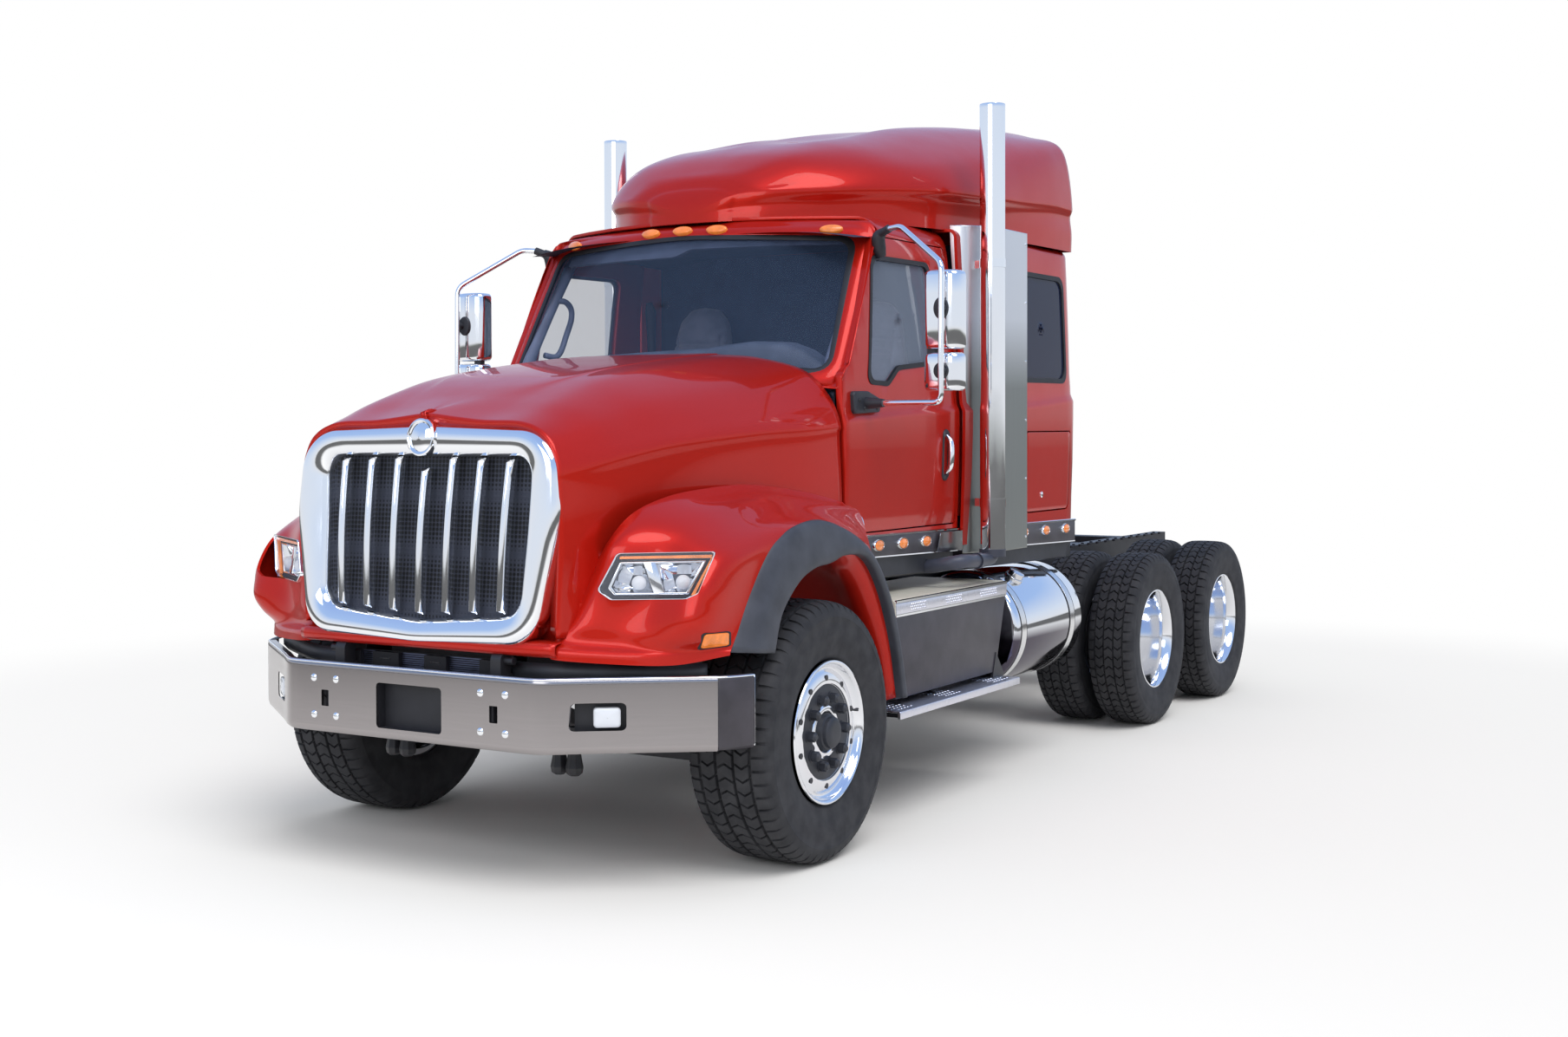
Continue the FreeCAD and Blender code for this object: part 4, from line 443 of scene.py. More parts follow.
def painted_dark_below(mat, low, high, below, above):
    """A base colour that is dark below a height and bright above it: a painted reflection of dark ground on bright
    metal.
    """
    height = span(mat, low, high)
    link(mat, texture(mat, "ShaderNodeSeparateXYZ"), "Z", height, "Value")
    tones(mat, height, "Result", below, above)


def rubber():
    mat = material("tyre_rubber", (0.021, 0.021, 0.024), rough=0.78)
    vary_colour(mat, 14.0, (0.014, 0.014, 0.017), (0.030, 0.030, 0.034))
    bump(mat, texture(mat, "ShaderNodeTexNoise", in_Scale=160.0, in_Detail=3.0), "Fac", 0.25, 0.0015)
    return mat


def grained(name, base, rough=0.6, grain=420.0, strength=0.2, spread=0.25):
    mat = material(name, base, rough=rough)
    vary_colour(mat, 7.0, [c * (1 - spread) for c in base], [c * (1 + spread) for c in base])
    bump(mat, texture(mat, "ShaderNodeTexNoise", in_Scale=grain, in_Detail=3.0), "Fac", strength, 0.0006)
    return mat


def cloth():
    mat = material("seat_cloth", (0.17, 0.19, 0.27), rough=0.9, Sheen_Weight=0.35)
    weave = node(mat, "ShaderNodeMath", operation="MAXIMUM")
    for i, direction in enumerate("XZ"):
        wave = texture(mat, "ShaderNodeTexWave", in_Scale=260.0, bands_direction=direction)
        link(mat, wave, "Fac", weave, i)
    bump(mat, weave, "Value", 0.35, 0.001)
    vary_colour(mat, 9.0, (0.14, 0.16, 0.235), (0.20, 0.22, 0.31))
    return mat


def glass(name, base, alpha, rough=0.02, **more):
    mat = material(name, base, rough=rough, IOR=1.45, Alpha=alpha, **more)
    vary_rough(mat, 3.0, rough, rough * 1.8)
    return mat


def lens(name, base, rough=0.08):
    """Coloured lamp glass with fine ribs and a faint light of its own."""
    mat = material(name, base, rough=rough, Coat_Weight=0.6, Emission_Color=(*base, 1), Emission_Strength=0.18)
    bump(mat, texture(mat, "ShaderNodeTexWave", in_Scale=60.0, bands_direction="X"), "Fac", 0.3, 0.001)
    vary_colour(mat, 30.0, [c * 0.85 for c in base], [min(1.0, c * 1.15) for c in base])
    return mat


def mesh_grille():
    mat = material("grille_mesh", (0.02, 0.022, 0.032), rough=0.5, metal=0.2)
    cells = texture(mat, "ShaderNodeTexVoronoi", in_Scale=55.0, in_Randomness=0.0)
    tones(mat, cells, "Distance", (0.002, 0.002, 0.003), (0.035, 0.04, 0.06), 0.38, 0.5)
    bump(mat, cells, "Distance", 0.8, 0.003)
    return mat


RED = car_paint()
CHROME = chrome()
STEEL = brushed("stainless_sheet", (0.72, 0.72, 0.73), 0.16, (60, 1, 1), 3.0)
BUMPER = brushed("bumper_steel", (0.36, 0.335, 0.335), 0.20, (1, 1, 30), 3.0, 0.08)
SHIELD = brushed("shield_sheet", (0.76, 0.76, 0.77), 0.42, (40, 40, 0.6), 3.0, 0.06)
# Painted reflection: the shield sheet's base colour turns dark below 2.0 to 2.36 m, where dark ground would be
# mirrored.
painted_dark_below(SHIELD, 2.00, 2.36, (0.30, 0.31, 0.29), (0.78, 0.78, 0.79))
ALLOY = brushed("polished_alloy", (0.82, 0.83, 0.86), 0.10, EVEN, 12.0)
DECK = brushed("deck_alloy", (0.72, 0.72, 0.78), 0.34, (1, 30, 1), 9.0)
FRAME = grained("chassis_black", (0.014, 0.014, 0.018), 0.45, 90.0, 0.15)
IRON = grained("cast_parts", (0.035, 0.035, 0.04), 0.6, 150.0, 0.3)
PLASTIC = grained("black_plastic", (0.022, 0.024, 0.032), 0.5)
FLARE = grained("flare_rubber", (0.045, 0.050, 0.066), 0.55)
PANEL = grained("panel_dark", (0.040, 0.036, 0.046), 0.42, 200.0, 0.1)
RUBBER = rubber()
GLASS = glass("tinted_glass", (0.10, 0.16, 0.30), 0.20)
DOOR_GLASS = glass("door_tint", (0.30, 0.37, 0.52), 0.42)
DARK_GLASS = glass("dark_glass", (0.012, 0.018, 0.05), 0.93, Specular_IOR_Level=0.15)
LENS = glass("clear_lens", (0.75, 0.80, 0.90), 0.10)
LINER = grained("cab_lining", (0.018, 0.028, 0.062), 0.7, 200.0, 0.1)
# A brighter copy of the red paint for the inner pillars: painted light on the cab's shaded inside.
PAINTED_LIGHT_RED = grained("painted_light_red", (0.80, 0.06, 0.05), 0.5, 300.0, 0.05, 0.06)
TRIM = grained("pillar_trim", (0.13, 0.16, 0.27), 0.6, 260.0, 0.15)
VISOR = grained("visor_cloth", (0.06, 0.08, 0.15), 0.8, 400.0, 0.2)
AMBER = lens("amber_lens", (0.80, 0.22, 0.03))
CLOTH = cloth()
DASH = grained("dash_plastic", (0.065, 0.085, 0.14), 0.6, 300.0, 0.3)
MESH = mesh_grille()
PALE_LENS = glass("pale_lens", (0.80, 0.84, 0.92), 0.85, 0.05)
LAMP_INSIDE = grained("lamp_inside", (0.035, 0.055, 0.12), 0.35, 60.0, 0.05)
COOLER = brushed("cooler_fins", (0.20, 0.22, 0.32), 0.4, EVEN, 20.0)
MIRROR = brushed("mirror_glass", (0.55, 0.58, 0.62), 0.03, EVEN, 4.0)
ELBOW = grained("exhaust_black", (0.045, 0.050, 0.075), 0.42, 60.0, 0.1)
TANK = brushed("tank_alloy", (0.80, 0.82, 0.86), 0.055, (1, 8, 1), 3.0)
# Painted reflection: the tanks' base colour turns dark below their middle, where dark ground would be mirrored.
painted_dark_below(TANK, 0.70, 0.76, (0.085, 0.075, 0.10), (0.80, 0.82, 0.86))
LID = grained("lid_paint", (0.70, 0.69, 0.62), 0.35, 40.0, 0.05, 0.04)
SEAL = grained("seal_rubber", (0.012, 0.012, 0.016), 0.55, 200.0, 0.1)

# The look of a CAD node that shows, by the start of its name
NODE_LOOK = {
    "frame_rails": FRAME, "suspension": IRON, "front_axle_beam": IRON, "rear_axles": IRON, "front_bumper": BUMPER,
    "fog_lamps": LENS, "front_valance": PLASTIC, "radiator": IRON, "engine_gearbox": IRON, "cab_shell": RED,
    "cab_glass": GLASS, "sleeper_shell": RED, "roof_fairing": RED, "seats": CLOTH, "dashboard": DASH,
    "steering_wheel": DASH, "cab_skirts": PANEL, "marker_lamps": AMBER, "exhaust_stacks": CHROME,
    "heat_shields": STEEL, "fuel_tanks": ALLOY, "step_boxes": PANEL, "side_steps": DECK, "hood_shell": RED,
    "grille_surround": CHROME, "grille_bars": CHROME, "grille_mesh": MESH, "headlamps": LENS, "fender_flares": FLARE,
    "door": RED, "door_glass": GLASS, "mirror": CHROME, "luggage_door": RED, "knuckle": IRON, "front_tyre": RUBBER,
    "front_rim": ALLOY, "rear_tyres": RUBBER, "rear_rims": ALLOY,
}

for name, cad in frame["nodes"].items():
    cad.data.materials.clear()
    cad.data.materials.append(NODE_LOOK[max((key for key in NODE_LOOK if name.startswith(key)), key=len)])


# Hood and fenders

HOOD_ROWS = [
    # Y, then X and Z across: middle, ridge edge, ridge foot, crest, corner, upper side, crease, below crease, side, low
    (-1.045, [(0, 1.862), (.03, 1.860), (.25, 1.836), (.48, 1.826), (.60, 1.775), (.648, 1.700), (.664, 1.640),
              (.666, 1.600), (.672, 1.350), (.655, 1.000)]),
    (-0.930, [(0, 1.892), (.09, 1.890), (.27, 1.872), (.49, 1.862), (.625, 1.800), (.682, 1.720), (.703, 1.656),
              (.702, 1.608), (.705, 1.350), (.695, 1.000)]),
    (-0.800, [(0, 1.928), (.16, 1.926), (.29, 1.918), (.50, 1.908), (.645, 1.835), (.712, 1.745), (.737, 1.680),
              (.733, 1.630), (.735, 1.350), (.730, 1.050)]),
    (-0.620, [(0, 1.985), (.26, 1.984), (.32, 1.978), (.50, 1.962), (.662, 1.876), (.742, 1.775), (.772, 1.714),
              (.767, 1.662), (.768, 1.380), (.770, 1.150)]),
    (-0.450, [(0, 2.026), (.33, 2.024), (.36, 2.020), (.51, 2.002), (.682, 1.912), (.770, 1.802), (.803, 1.740),
              (.798, 1.688), (.800, 1.420), (.805, 1.250)]),
    (-0.200, [(0, 2.066), (.35, 2.064), (.38, 2.060), (.53, 2.040), (.708, 1.950), (.812, 1.832), (.848, 1.766),
              (.844, 1.714), (.850, 1.460), (.860, 1.330)]),
    (0.100, [(0, 2.100), (.36, 2.098), (.39, 2.094), (.55, 2.074), (.745, 1.985), (.860, 1.862), (.902, 1.789),
             (.898, 1.740), (.905, 1.500), (.915, 1.350)]),
    (0.400, [(0, 2.130), (.37, 2.128), (.40, 2.123), (.58, 2.104), (.790, 2.016), (.910, 1.890), (.957, 1.802),
             (.953, 1.756), (.960, 1.520), (.970, 1.350)]),
    (0.628, [(0, 2.146), (.38, 2.144), (.41, 2.139), (.61, 2.120), (.835, 2.050), (.950, 1.915), (.990, 1.808),
             (.984, 1.782), (.992, 1.540), (.996, 1.350)]),
]
FENDER_ROWS = [
    # Inner edge, middle, shoulder and outer edge, from the rear over the wheel to the front
    [(.960, .628, 1.500), (1.000, .625, 1.462), (1.040, .625, 1.446), (1.085, .625, 1.412), (1.155, .625, 1.200)],
    [(.955, .366, 1.520), (1.000, .366, 1.490), (1.045, .360, 1.480), (1.105, .345, 1.448), (1.240, .365, 1.292)],
    [(.945, .110, 1.550), (.990, .100, 1.522), (1.040, .090, 1.508), (1.115, .070, 1.466), (1.240, .155, 1.378)],
    [(.930, -.100, 1.566), (.980, -.100, 1.540), (1.035, -.120, 1.520), (1.124, -.160, 1.464), (1.240, -.030, 1.415)],
    [(.905, -.340, 1.560), (.955, -.330, 1.536), (1.035, -.365, 1.505), (1.150, -.425, 1.421), (1.240, -.200, 1.402)],
    [(.860, -.600, 1.530), (.920, -.600, 1.508), (1.035, -.600, 1.455), (1.180, -.620, 1.354), (1.237, -.350, 1.350)],
    [(.815, -.770, 1.470), (.872, -.785, 1.446), (1.015, -.750, 1.392), (1.192, -.725, 1.294), (1.232, -.430, 1.305)],
    [(.770, -.850, 1.380), (.820, -.895, 1.362), (.990, -.812, 1.312), (1.183, -.803, 1.205), (1.226, -.495, 1.230)],
    [(.700, -.868, 1.260), (.782, -.925, 1.250), (.965, -.842, 1.215), (1.172, -.833, 1.137), (1.220, -.546, 1.156)],
    [(.625, -.905, 1.123), (.732, -.955, 1.123), (.930, -.868, 1.100), (1.150, -.856, 1.060), (1.212, -.600, 1.060)],
    [(.600, -.935, 1.045), (.690, -.985, 1.045), (.890, -.898, 1.025), (1.108, -.842, 1.000), (1.206, -.640, .990)],
    [(.600, -.980, .990), (.640, -1.020, .985), (.850, -.925, .968), (1.055, -.828, .955), (1.202, -.660, .955)],
    [(.600, -1.000, .962), (.640, -1.050, .958), (.850, -.955, .944), (1.045, -.838, .936), (1.202, -.668, .944)],
    [(.600, -1.000, .925), (.640, -1.055, .920), (.850, -.960, .905), (1.045, -.842, .900), (1.202, -.672, .930)],
]
COWL_MID = 0.500
COWL_SIDE = 0.621


def hood_skin():
    """The hood's top and sides, with its rear edge drawn to the cowl's line."""
    g = smooth_grid([[(x, y, z) for x, z in pts] for y, pts in HOOD_ROWS], 60, 90)
    front = HOOD_ROWS[0][0]
    for j in range(g.shape[1]):
        share = min(1.0, abs(g[-1, j, 0]) / 0.95) ** 2
        limit = COWL_MID + (COWL_SIDE - COWL_MID) * share
        scale = (limit - front) / (g[-1, j, 1] - front)
        g[:, j, 1] = front + (g[:, j, 1] - front) * scale
    return g


def hood():
    b = Build()
    skin = hood_skin()
    lip = [skin[0]]
    for inward, back in ((.010, .003), (.055, .022)):
        away = np.stack([-skin[0][:, 0], np.zeros(len(skin[0])), 1.40 - skin[0][:, 2]], 1)
        away /= np.linalg.norm(away, axis=1)[:, None]
        lip.insert(0, skin[0] + away * inward + [0, back, 0])
    b.grid(np.concatenate([np.array(lip[:2]), skin]), flip=True)
    top = b.mirrored().make("hood_top", RED)
    merge(top)
    solidify(top, SHEET, 1.0)
    b = Build()
    b.grid(smooth_grid(FENDER_ROWS, 110, 46))
    wing = b.mirrored().make("fenders", RED)
    solidify(wing, SHEET, 1.0)
    b = Build()
    rows = []
    for x in np.linspace(-0.66, 0.66, 25):
        bend = 0.008 * (x / 0.66) ** 2
        y = -1.105 + 0.05 * (abs(x) / 0.66) ** 3
        rows.append([(x, y + ahead, z - bend) for ahead, z in
                     ((0.06, 0.988), (0, 0.982), (-0.008, 0.968), (-0.006, 0.948), (0.008, 0.938), (0.05, 0.938))])
    b.grid(smooth_grid(rows, 49, 22))
    chin = b.make("hood_chin", RED)
    solidify(chin, 0.006, 1.0)
    b = Build()
    corner = [(.42, .945), (.735, .945), (.735, 1.13), (.640, 1.13), (.560, 1.04), (.42, .985)]
    b.prism([(x, -1.000 + max(0, x - .55) * .35, z) for x, z in corner], (0, .006, 0))
    back = b.mirrored().make("hood_corners", RED, smooth=False)
    fit("hood", (back, "red"), (top, "red"), (wing, "red"), (chin, "red"))
    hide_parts("hood_shell")
    return wing


# Grille

GRILLE_Y = -1.116
LEAN = math.tan(math.radians(4.6))


def lean_y(y, z):
    return y + (z - 1.1) * LEAN


def half_outline(pts):
    """A closed outline from its half, mirrored over the middle."""
    return pts + [(-x, z) for x, z in reversed(pts) if abs(x) > 1e-9]


def on_grille(depth):
    """Places points on the grille's leaning plane, at a depth behind its front."""
    return lambda x, z, lift=0.0: (x, lean_y(GRILLE_Y + depth + lift, z), z)


def grille():
    outer = half_outline([(0.0, .948), (.585, .970), (.676, 1.448), (.652, 1.800), (0.0, 1.823)])
    inner = half_outline([(0.0, 1.046), (.500, 1.085), (.528, 1.690)])
    inner_round = [0.7, .085, .075, .075, .085]
    count = 220
    steps = [(0.0, 0.115), (0.0, 0.045), (0.03, 0.022), (0.14, 0.006), (0.34, 0.0), (0.62, 0.004), (0.84, 0.018),
             (0.97, 0.042), (1.0, 0.075), (1.0, 0.115)]
    b = Build()
    rings = between(resample(rounded(outer, [0.9, .15, .6, .185, 0.9, .185, .6, .15], 12), count),
                    resample(rounded(inner, inner_round, 12), count), steps, on_grille(0.0))
    b.grid(smooth_grid(rings, 30, count), closed_v=True, flip=True)
    ring = b.make("grille_frame", CHROME)
    bars = Build()
    section = [(-.017, .030), (-.0165, .008), (-.011, -.004), (0, -.009), (.011, -.004), (.0165, .008), (.017, .030)]
    fine = catmull(section, 17)
    for k in range(7):
        share = k / 3.0 - 1.0
        low_x, top_x = share * 0.412, share * 0.427
        low_z = 1.085 - 0.022 * (1 - abs(share)) + 0.012
        top_z = 1.672 + 0.012 * (1 - abs(share)) - (0.05 if k == 3 else 0.0)
        path = []
        for t in np.linspace(0, 1, 14):
            z = low_z + (top_z - low_z) * t
            bow = 0.012 * math.sin(math.pi * t)
            path.append((low_x + (top_x - low_x) * t, lean_y(GRILLE_Y + 0.024 - bow, z), z))
        g = np.array([[(px + sx, py + sy, pz) for sx, sy in fine] for px, py, pz in path])
        tips = []
        for end, lift in ((0, -0.012), (-1, 0.012)):
            tip = g[end][None].copy()
            tip[..., 2] += lift
            tip[..., 1] = np.maximum(tip[..., 1], path[end][1] + 0.016)
            tips.append(tip)
        g = np.concatenate([tips[0], g, tips[1]])
        bars.grid(g, flip=True)
        bars.grid(g[:, [0, -1]])
    rods = bars.make("grille_rods", CHROME, sharp=50)
    net = Build()
    net_depth = 0.078
    net.prism([on_grille(net_depth)(x, z) for x, z in rounded(inner, inner_round, 8)], (0, 0.006, 0))
    net_obj = net.make("grille_net", MESH, smooth=False)
    cross = Build()
    for z in (1.24, 1.43):
        y = lean_y(GRILLE_Y + net_depth, z)
        cross.box(-.51, .51, y + 0.03, y + 0.05, z - .03, z + .03)
    cross_obj = cross.make("grille_cross_bars", PLASTIC, smooth=False)
    badge = Build()
    oval = np.array([(.074 * math.cos(a), .078 * math.sin(a)) for a in around(48)])
    badge.grid([[(u * size, lean_y(GRILLE_Y - .012 + lift, 1.770 + w * size), 1.770 + w * size) for u, w in oval]
                for size, lift in ((1.0, .050), (1.0, .012), (.96, .003), (.88, .0), (.80, .002), (.74, .007),
                                   (.55, .0), (.28, -.005), (.02, -.0065))], closed_v=True)
    boss = badge.make("grille_boss", CHROME, sharp=30)
    fit("hood", (ring, "chrome"), (rods, "chrome"), (boss, "chrome"), (net_obj, "black_plastic"),
        (cross_obj, "black_plastic"))
    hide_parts("grille_surround")
    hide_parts("grille_bars")
    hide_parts("grille_mesh")


# Flares and wheel wells

FLARE_OUT = [(-.658, .939), (-.546, 1.156), (-.430, 1.305), (-.330, 1.362), (-.200, 1.402), (-.030, 1.415),
             (.155, 1.378), (.365, 1.292), (.520, 1.150), (.638, .929), (.732, .610)]
FLARE_OUT_X = [1.200, 1.215, 1.230, 1.237, 1.240, 1.240, 1.240, 1.240, 1.240, 1.238, 1.235]
FLARE_IN = [(-.445, .920), (-.395, 1.055), (-.320, 1.135), (-.223, 1.201), (-.100, 1.240), (.030, 1.252), (.160, 1.236),
            (.320, 1.155), (.440, 1.030), (.560, .820), (.637, .576)]


def flares():
    """The rubber bands over the front wheels, and the wells behind them."""
    b = Build()
    rows = []
    lip = []
    for (oy, oz), (iy, iz) in zip(FLARE_OUT, FLARE_IN):
        t = .70 * smooth_step((iy - .03) / .30)
        lip.append((iy + (oy - iy) * t, iz + (oz - iz) * t))
    for (oy, oz), ox, (iy, iz) in zip(FLARE_OUT, FLARE_OUT_X, lip):
        rows.append([(ox - .012, oy, oz), (ox, oy * .97 + iy * .03, oz * .97 + iz * .03),
                     (1.256, oy * .62 + iy * .38, oz * .62 + iz * .38), (1.264, iy * .9 + oy * .1, iz * .9 + oz * .1),
                     (1.258, iy, iz), (1.235, iy, iz), (1.130 if iy < .05 else 1.215, iy, iz)])
    b.grid(smooth_grid(rows, 90, 34))
    bands = b.mirrored().make("arch_flares", FLARE)
    solidify(bands, 0.010, 1.0)
    b = Build()
    rows = []
    for (iy, iz), (ly, lz) in zip(FLARE_IN, lip):
        rise = (iz - STEER_Z) / .707
        y = iy * (1.10 if iy < 0 else 1.06) + math.copysign(.10 if iy < 0 else .02, iy) * max(0.0, 1 - rise ** 2)
        z = STEER_Z + (iz - STEER_Z) * 1.07
        edge, fold = (1.150, 1.115) if iy < .05 else (1.232, 1.150)
        rows.append([(edge, ly, lz + .004), (fold, iy * .5 + y * .5, iz * .5 + z * .5), (1.06, y, z),
                     (.80, y, z + .006), (.66, y, z + .006)])
    b.grid(smooth_grid(rows, 60, 12))
    wells = b.mirrored().make("wheel_wells", RED)
    solidify(wells, 0.006, 1.0)
    fit("hood", (bands, "flare_rubber"), (wells, "red"))
    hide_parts("fender_flares")


# Cab and sleeper

BELT = [(.50, 1.812), (.673, 1.823), (1.382, 1.860), (1.827, 1.878), (2.624, 1.891), (3.45, 1.950)]
CAB_HALF, SLEEPER_HALF = 1.0, 1.03
CAB_REAR, SLEEPER_REAR = 1.850, 3.405
BODY_LOW, BODY_TOP = 1.206, 2.80
SCREEN = [(-.893, 2.060), (0, 2.115), (.893, 2.060), (.842, 2.680), (0, 2.718), (-.842, 2.680)]
SCREEN_ROUND = [.05, 3.0, .05, .07, 3.0, .07]
BROW = [(-.955, 1.985), (0, 2.040), (.955, 1.985), (.930, 2.752), (0, 2.772), (-.930, 2.752)]
DOOR = [(.641, 1.318), (1.830, 1.318), (1.830, 2.700), (1.030, 2.700), (.714, 2.088), (.641, 2.045)]
DOOR_ROUND = [.03, .03, .05, .03, .05, .03]
DOOR_WINDOW = [(0.9, 2.006), (1.105, 2.0), (1.215, 2.078), (1.595, 2.11), (1.622, 2.606), (1.007, 2.602)]
DOOR_WINDOW_ROUND = [.045, .05, .08, .05, .05, .06]
SLEEPER_WINDOW = [(2.60, 2.046), (3.262, 2.050), (3.252, 2.634), (2.60, 2.634)]
HATCH = [(2.650, 1.335), (3.275, 1.335), (3.275, 1.772), (2.650, 1.772)]


def smooth_step(t):
    t = max(0.0, min(1.0, t))
    return t * t * (3 - 2 * t)


def belt_z(y):
    return float(np.interp(y, [p[0] for p in BELT], [p[1] for p in BELT]))


def side_x(y, z, half):
    """Half width of the body side: a crease at the belt, and a lean above it."""
    d = z - belt_z(y)
    x = half + 0.003 - 0.016 * min(1.0, max(0.0, -d) / 0.62) ** 2
    x -= 0.017 * smooth_step(d / 0.045) + 0.006 * smooth_step((d - 0.04) / 0.12)
    return x - (0.058 if half < 1.015 else 0.026) * (max(0.0, z - 2.03) / 0.77) ** 1.25


def screen_y(x, z):
    return 0.50 + (z - 2.12) * 0.575 + 0.215 * (x / 0.9) ** 2


def door_front(z):
    return float(np.interp(z, [2.045, 2.088, 2.700, 2.800], [.641, .714, 1.030, 1.082]))


def side_levels(y, low):
    b = belt_z(y)
    return [low, low + .02, 1.40, 1.60, b - .10, b - .035, b - .012, b, b + .010, b + .022, b + .045, b + .09,
            b + .16, 2.12, 2.25, 2.40, 2.55, 2.64]


def roof_points(x, top, r, start):
    """From the side's top edge over a round shoulder to the middle of the roof."""
    out = []
    for a in np.linspace(0, math.pi / 2, 9)[1:]:
        out.append((x - 0.004 - r * (1 - math.cos(a)), start + (top - start) * math.sin(a)))
    last = out[-1][0]
    for s in (.85, .6, .3, 0.0):
        out.append((last * s, top + 0.012 * (1 - s * s)))
    return out


def on_side(half):
    """Places points (y, z) on the body's side, lifted outwards."""
    return lambda y, z, lift=0.0: (side_x(y, z, half) + lift, y, z)


def on_screen(x, z, lift=0.0):
    return (x, screen_y(x, z) + lift, z)


def body_section(y, half):
    pts = [(side_x(y, z, half), z) for z in side_levels(y, BODY_LOW)]
    r, start = (0.115, 2.665) if half < 1.015 else (0.045, 2.750)
    return pts + roof_points(side_x(y, 2.66, half), BODY_TOP, r, start)


def prism_cutter(outline, radius, x0, x1=1.3):
    b = Build()
    b.prism([(x0, y, z) for y, z in rounded(outline, radius, 6)], (x1 - x0, 0, 0))
    return b


def body_skin(name, rows, thickness=0.016):
    b = Build()
    b.grid(np.array(rows), flip=True)
    obj = b.make(name, RED, sharp=50)
    solidify(obj, thickness, -1.0)
    return obj


def surface_strip(outline, radius, inner, outer, half):
    """A flat strip round an opening that follows the body side."""
    a, c = (resample(rounded(grow(outline, d), radius, 10), 120) for d in (inner, outer))
    b = Build()
    b.grid(between(a, c, ((0, -.012), (0, .003), (1, .003), (1, -.012)), on_side(half)), closed_v=True, flip=True)
    return b


def pane(outline, radius, place, count=96, rings=9, steps=8, share=.98):
    """A pane that fills an outline; place puts its points (u, v) in space."""
    line = resample(rounded(outline, radius, steps), count)
    mid = line.mean(axis=0)
    b = Build()
    b.grid([[place(u, v) for u, v in line * (1 - t * share) + mid * t * share] for t in np.linspace(0, 1, rings)],
           closed_v=True, flip=True)
    b.cap(count)
    return b


def cab():
    rows = []
    corner = body_section(1.0, CAB_HALF)
    for t in np.linspace(0, 1, 26):
        row = []
        for k, (x, z) in enumerate(corner):
            start = screen_y(x, 2.735) + 0.045 if x < .935 else door_front(z) - 0.003
            y = start + (CAB_REAR - start) * t
            sx, sz = body_section(y, CAB_HALF)[k]
            row.append((sx, y, sz))
        rows.append(row)
    skin = body_skin("cab_body", rows)
    hole = [(y - .009 if y < .70 else y, z) for y, z in grow(DOOR, .0035)]
    clip(skin, prism_cutter(hole, DOOR_ROUND, .5))
    soften(skin)
    modifier(skin, "MIRROR", use_axis=(True, False, False))
    apply_all(skin)
    inner = resample(rounded(SCREEN, SCREEN_ROUND, 10), 200)
    outer = resample(rounded(BROW, [.06, 3.0, .06, .09, 3.0, .09], 10), 200)
    grid = between(inner, outer, ((0.0, .03), (0.0, .004), (.10, -.004), (.35, -.013), (.65, -.016), (.9, -.010),
                                  (1.0, .0)),
                   on_screen)
    for share in (.35, .7, 1.0):
        row = []
        for (xi, zi), (xo, zo) in zip(inner, outer):
            n = np.array([xo - xi, zo - zi])
            n /= np.linalg.norm(n)
            w_side = n[0] ** 2
            base = np.array([xo, screen_y(xo, zo), zo])
            s = 1 if xo >= 0 else -1
            to_side = np.array([s * (side_x(door_front(zo), zo, CAB_HALF)), door_front(zo) - 0.003, zo])
            drop = np.array([xo, base[1] + (.055 if n[1] > 0 else .02), zo + (.034 if n[1] > 0 else -.03)])
            goal = to_side * w_side + drop * (1 - w_side)
            bulge = np.array([s * .010 * w_side, 0, .006 * n[1]]) * math.sin(math.pi * share ** 1.5)
            row.append(tuple(base * (1 - share) + goal * share + bulge))
        grid.append(row)
    b = Build()
    b.grid(grid, closed_v=True, flip=True)
    face = b.make("cab_front", RED, sharp=60)
    solidify(face, 0.006, -1.0)
    inner, outer = (resample(rounded(grow(SCREEN, d), SCREEN_ROUND, 10), 200) for d in (-.006, .036))
    b = Build()
    b.grid(between(inner, outer, ((0, .012), (0, -.004), (.3, -.010), (.8, -.010), (1, -.004), (1, .012)), on_screen),
           closed_v=True, flip=True)
    seal = b.make("screen_seal", SEAL, sharp=50)
    screen = pane(SCREEN, SCREEN_ROUND, lambda x, z: on_screen(x, z, .004), 160, 16, 10, .99).make("windshield", GLASS)
    fit("chassis", (skin, "red"), (face, "red"), (seal, "black_plastic"), (screen, "glass"))
    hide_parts("cab_shell")
    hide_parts("cab_glass")


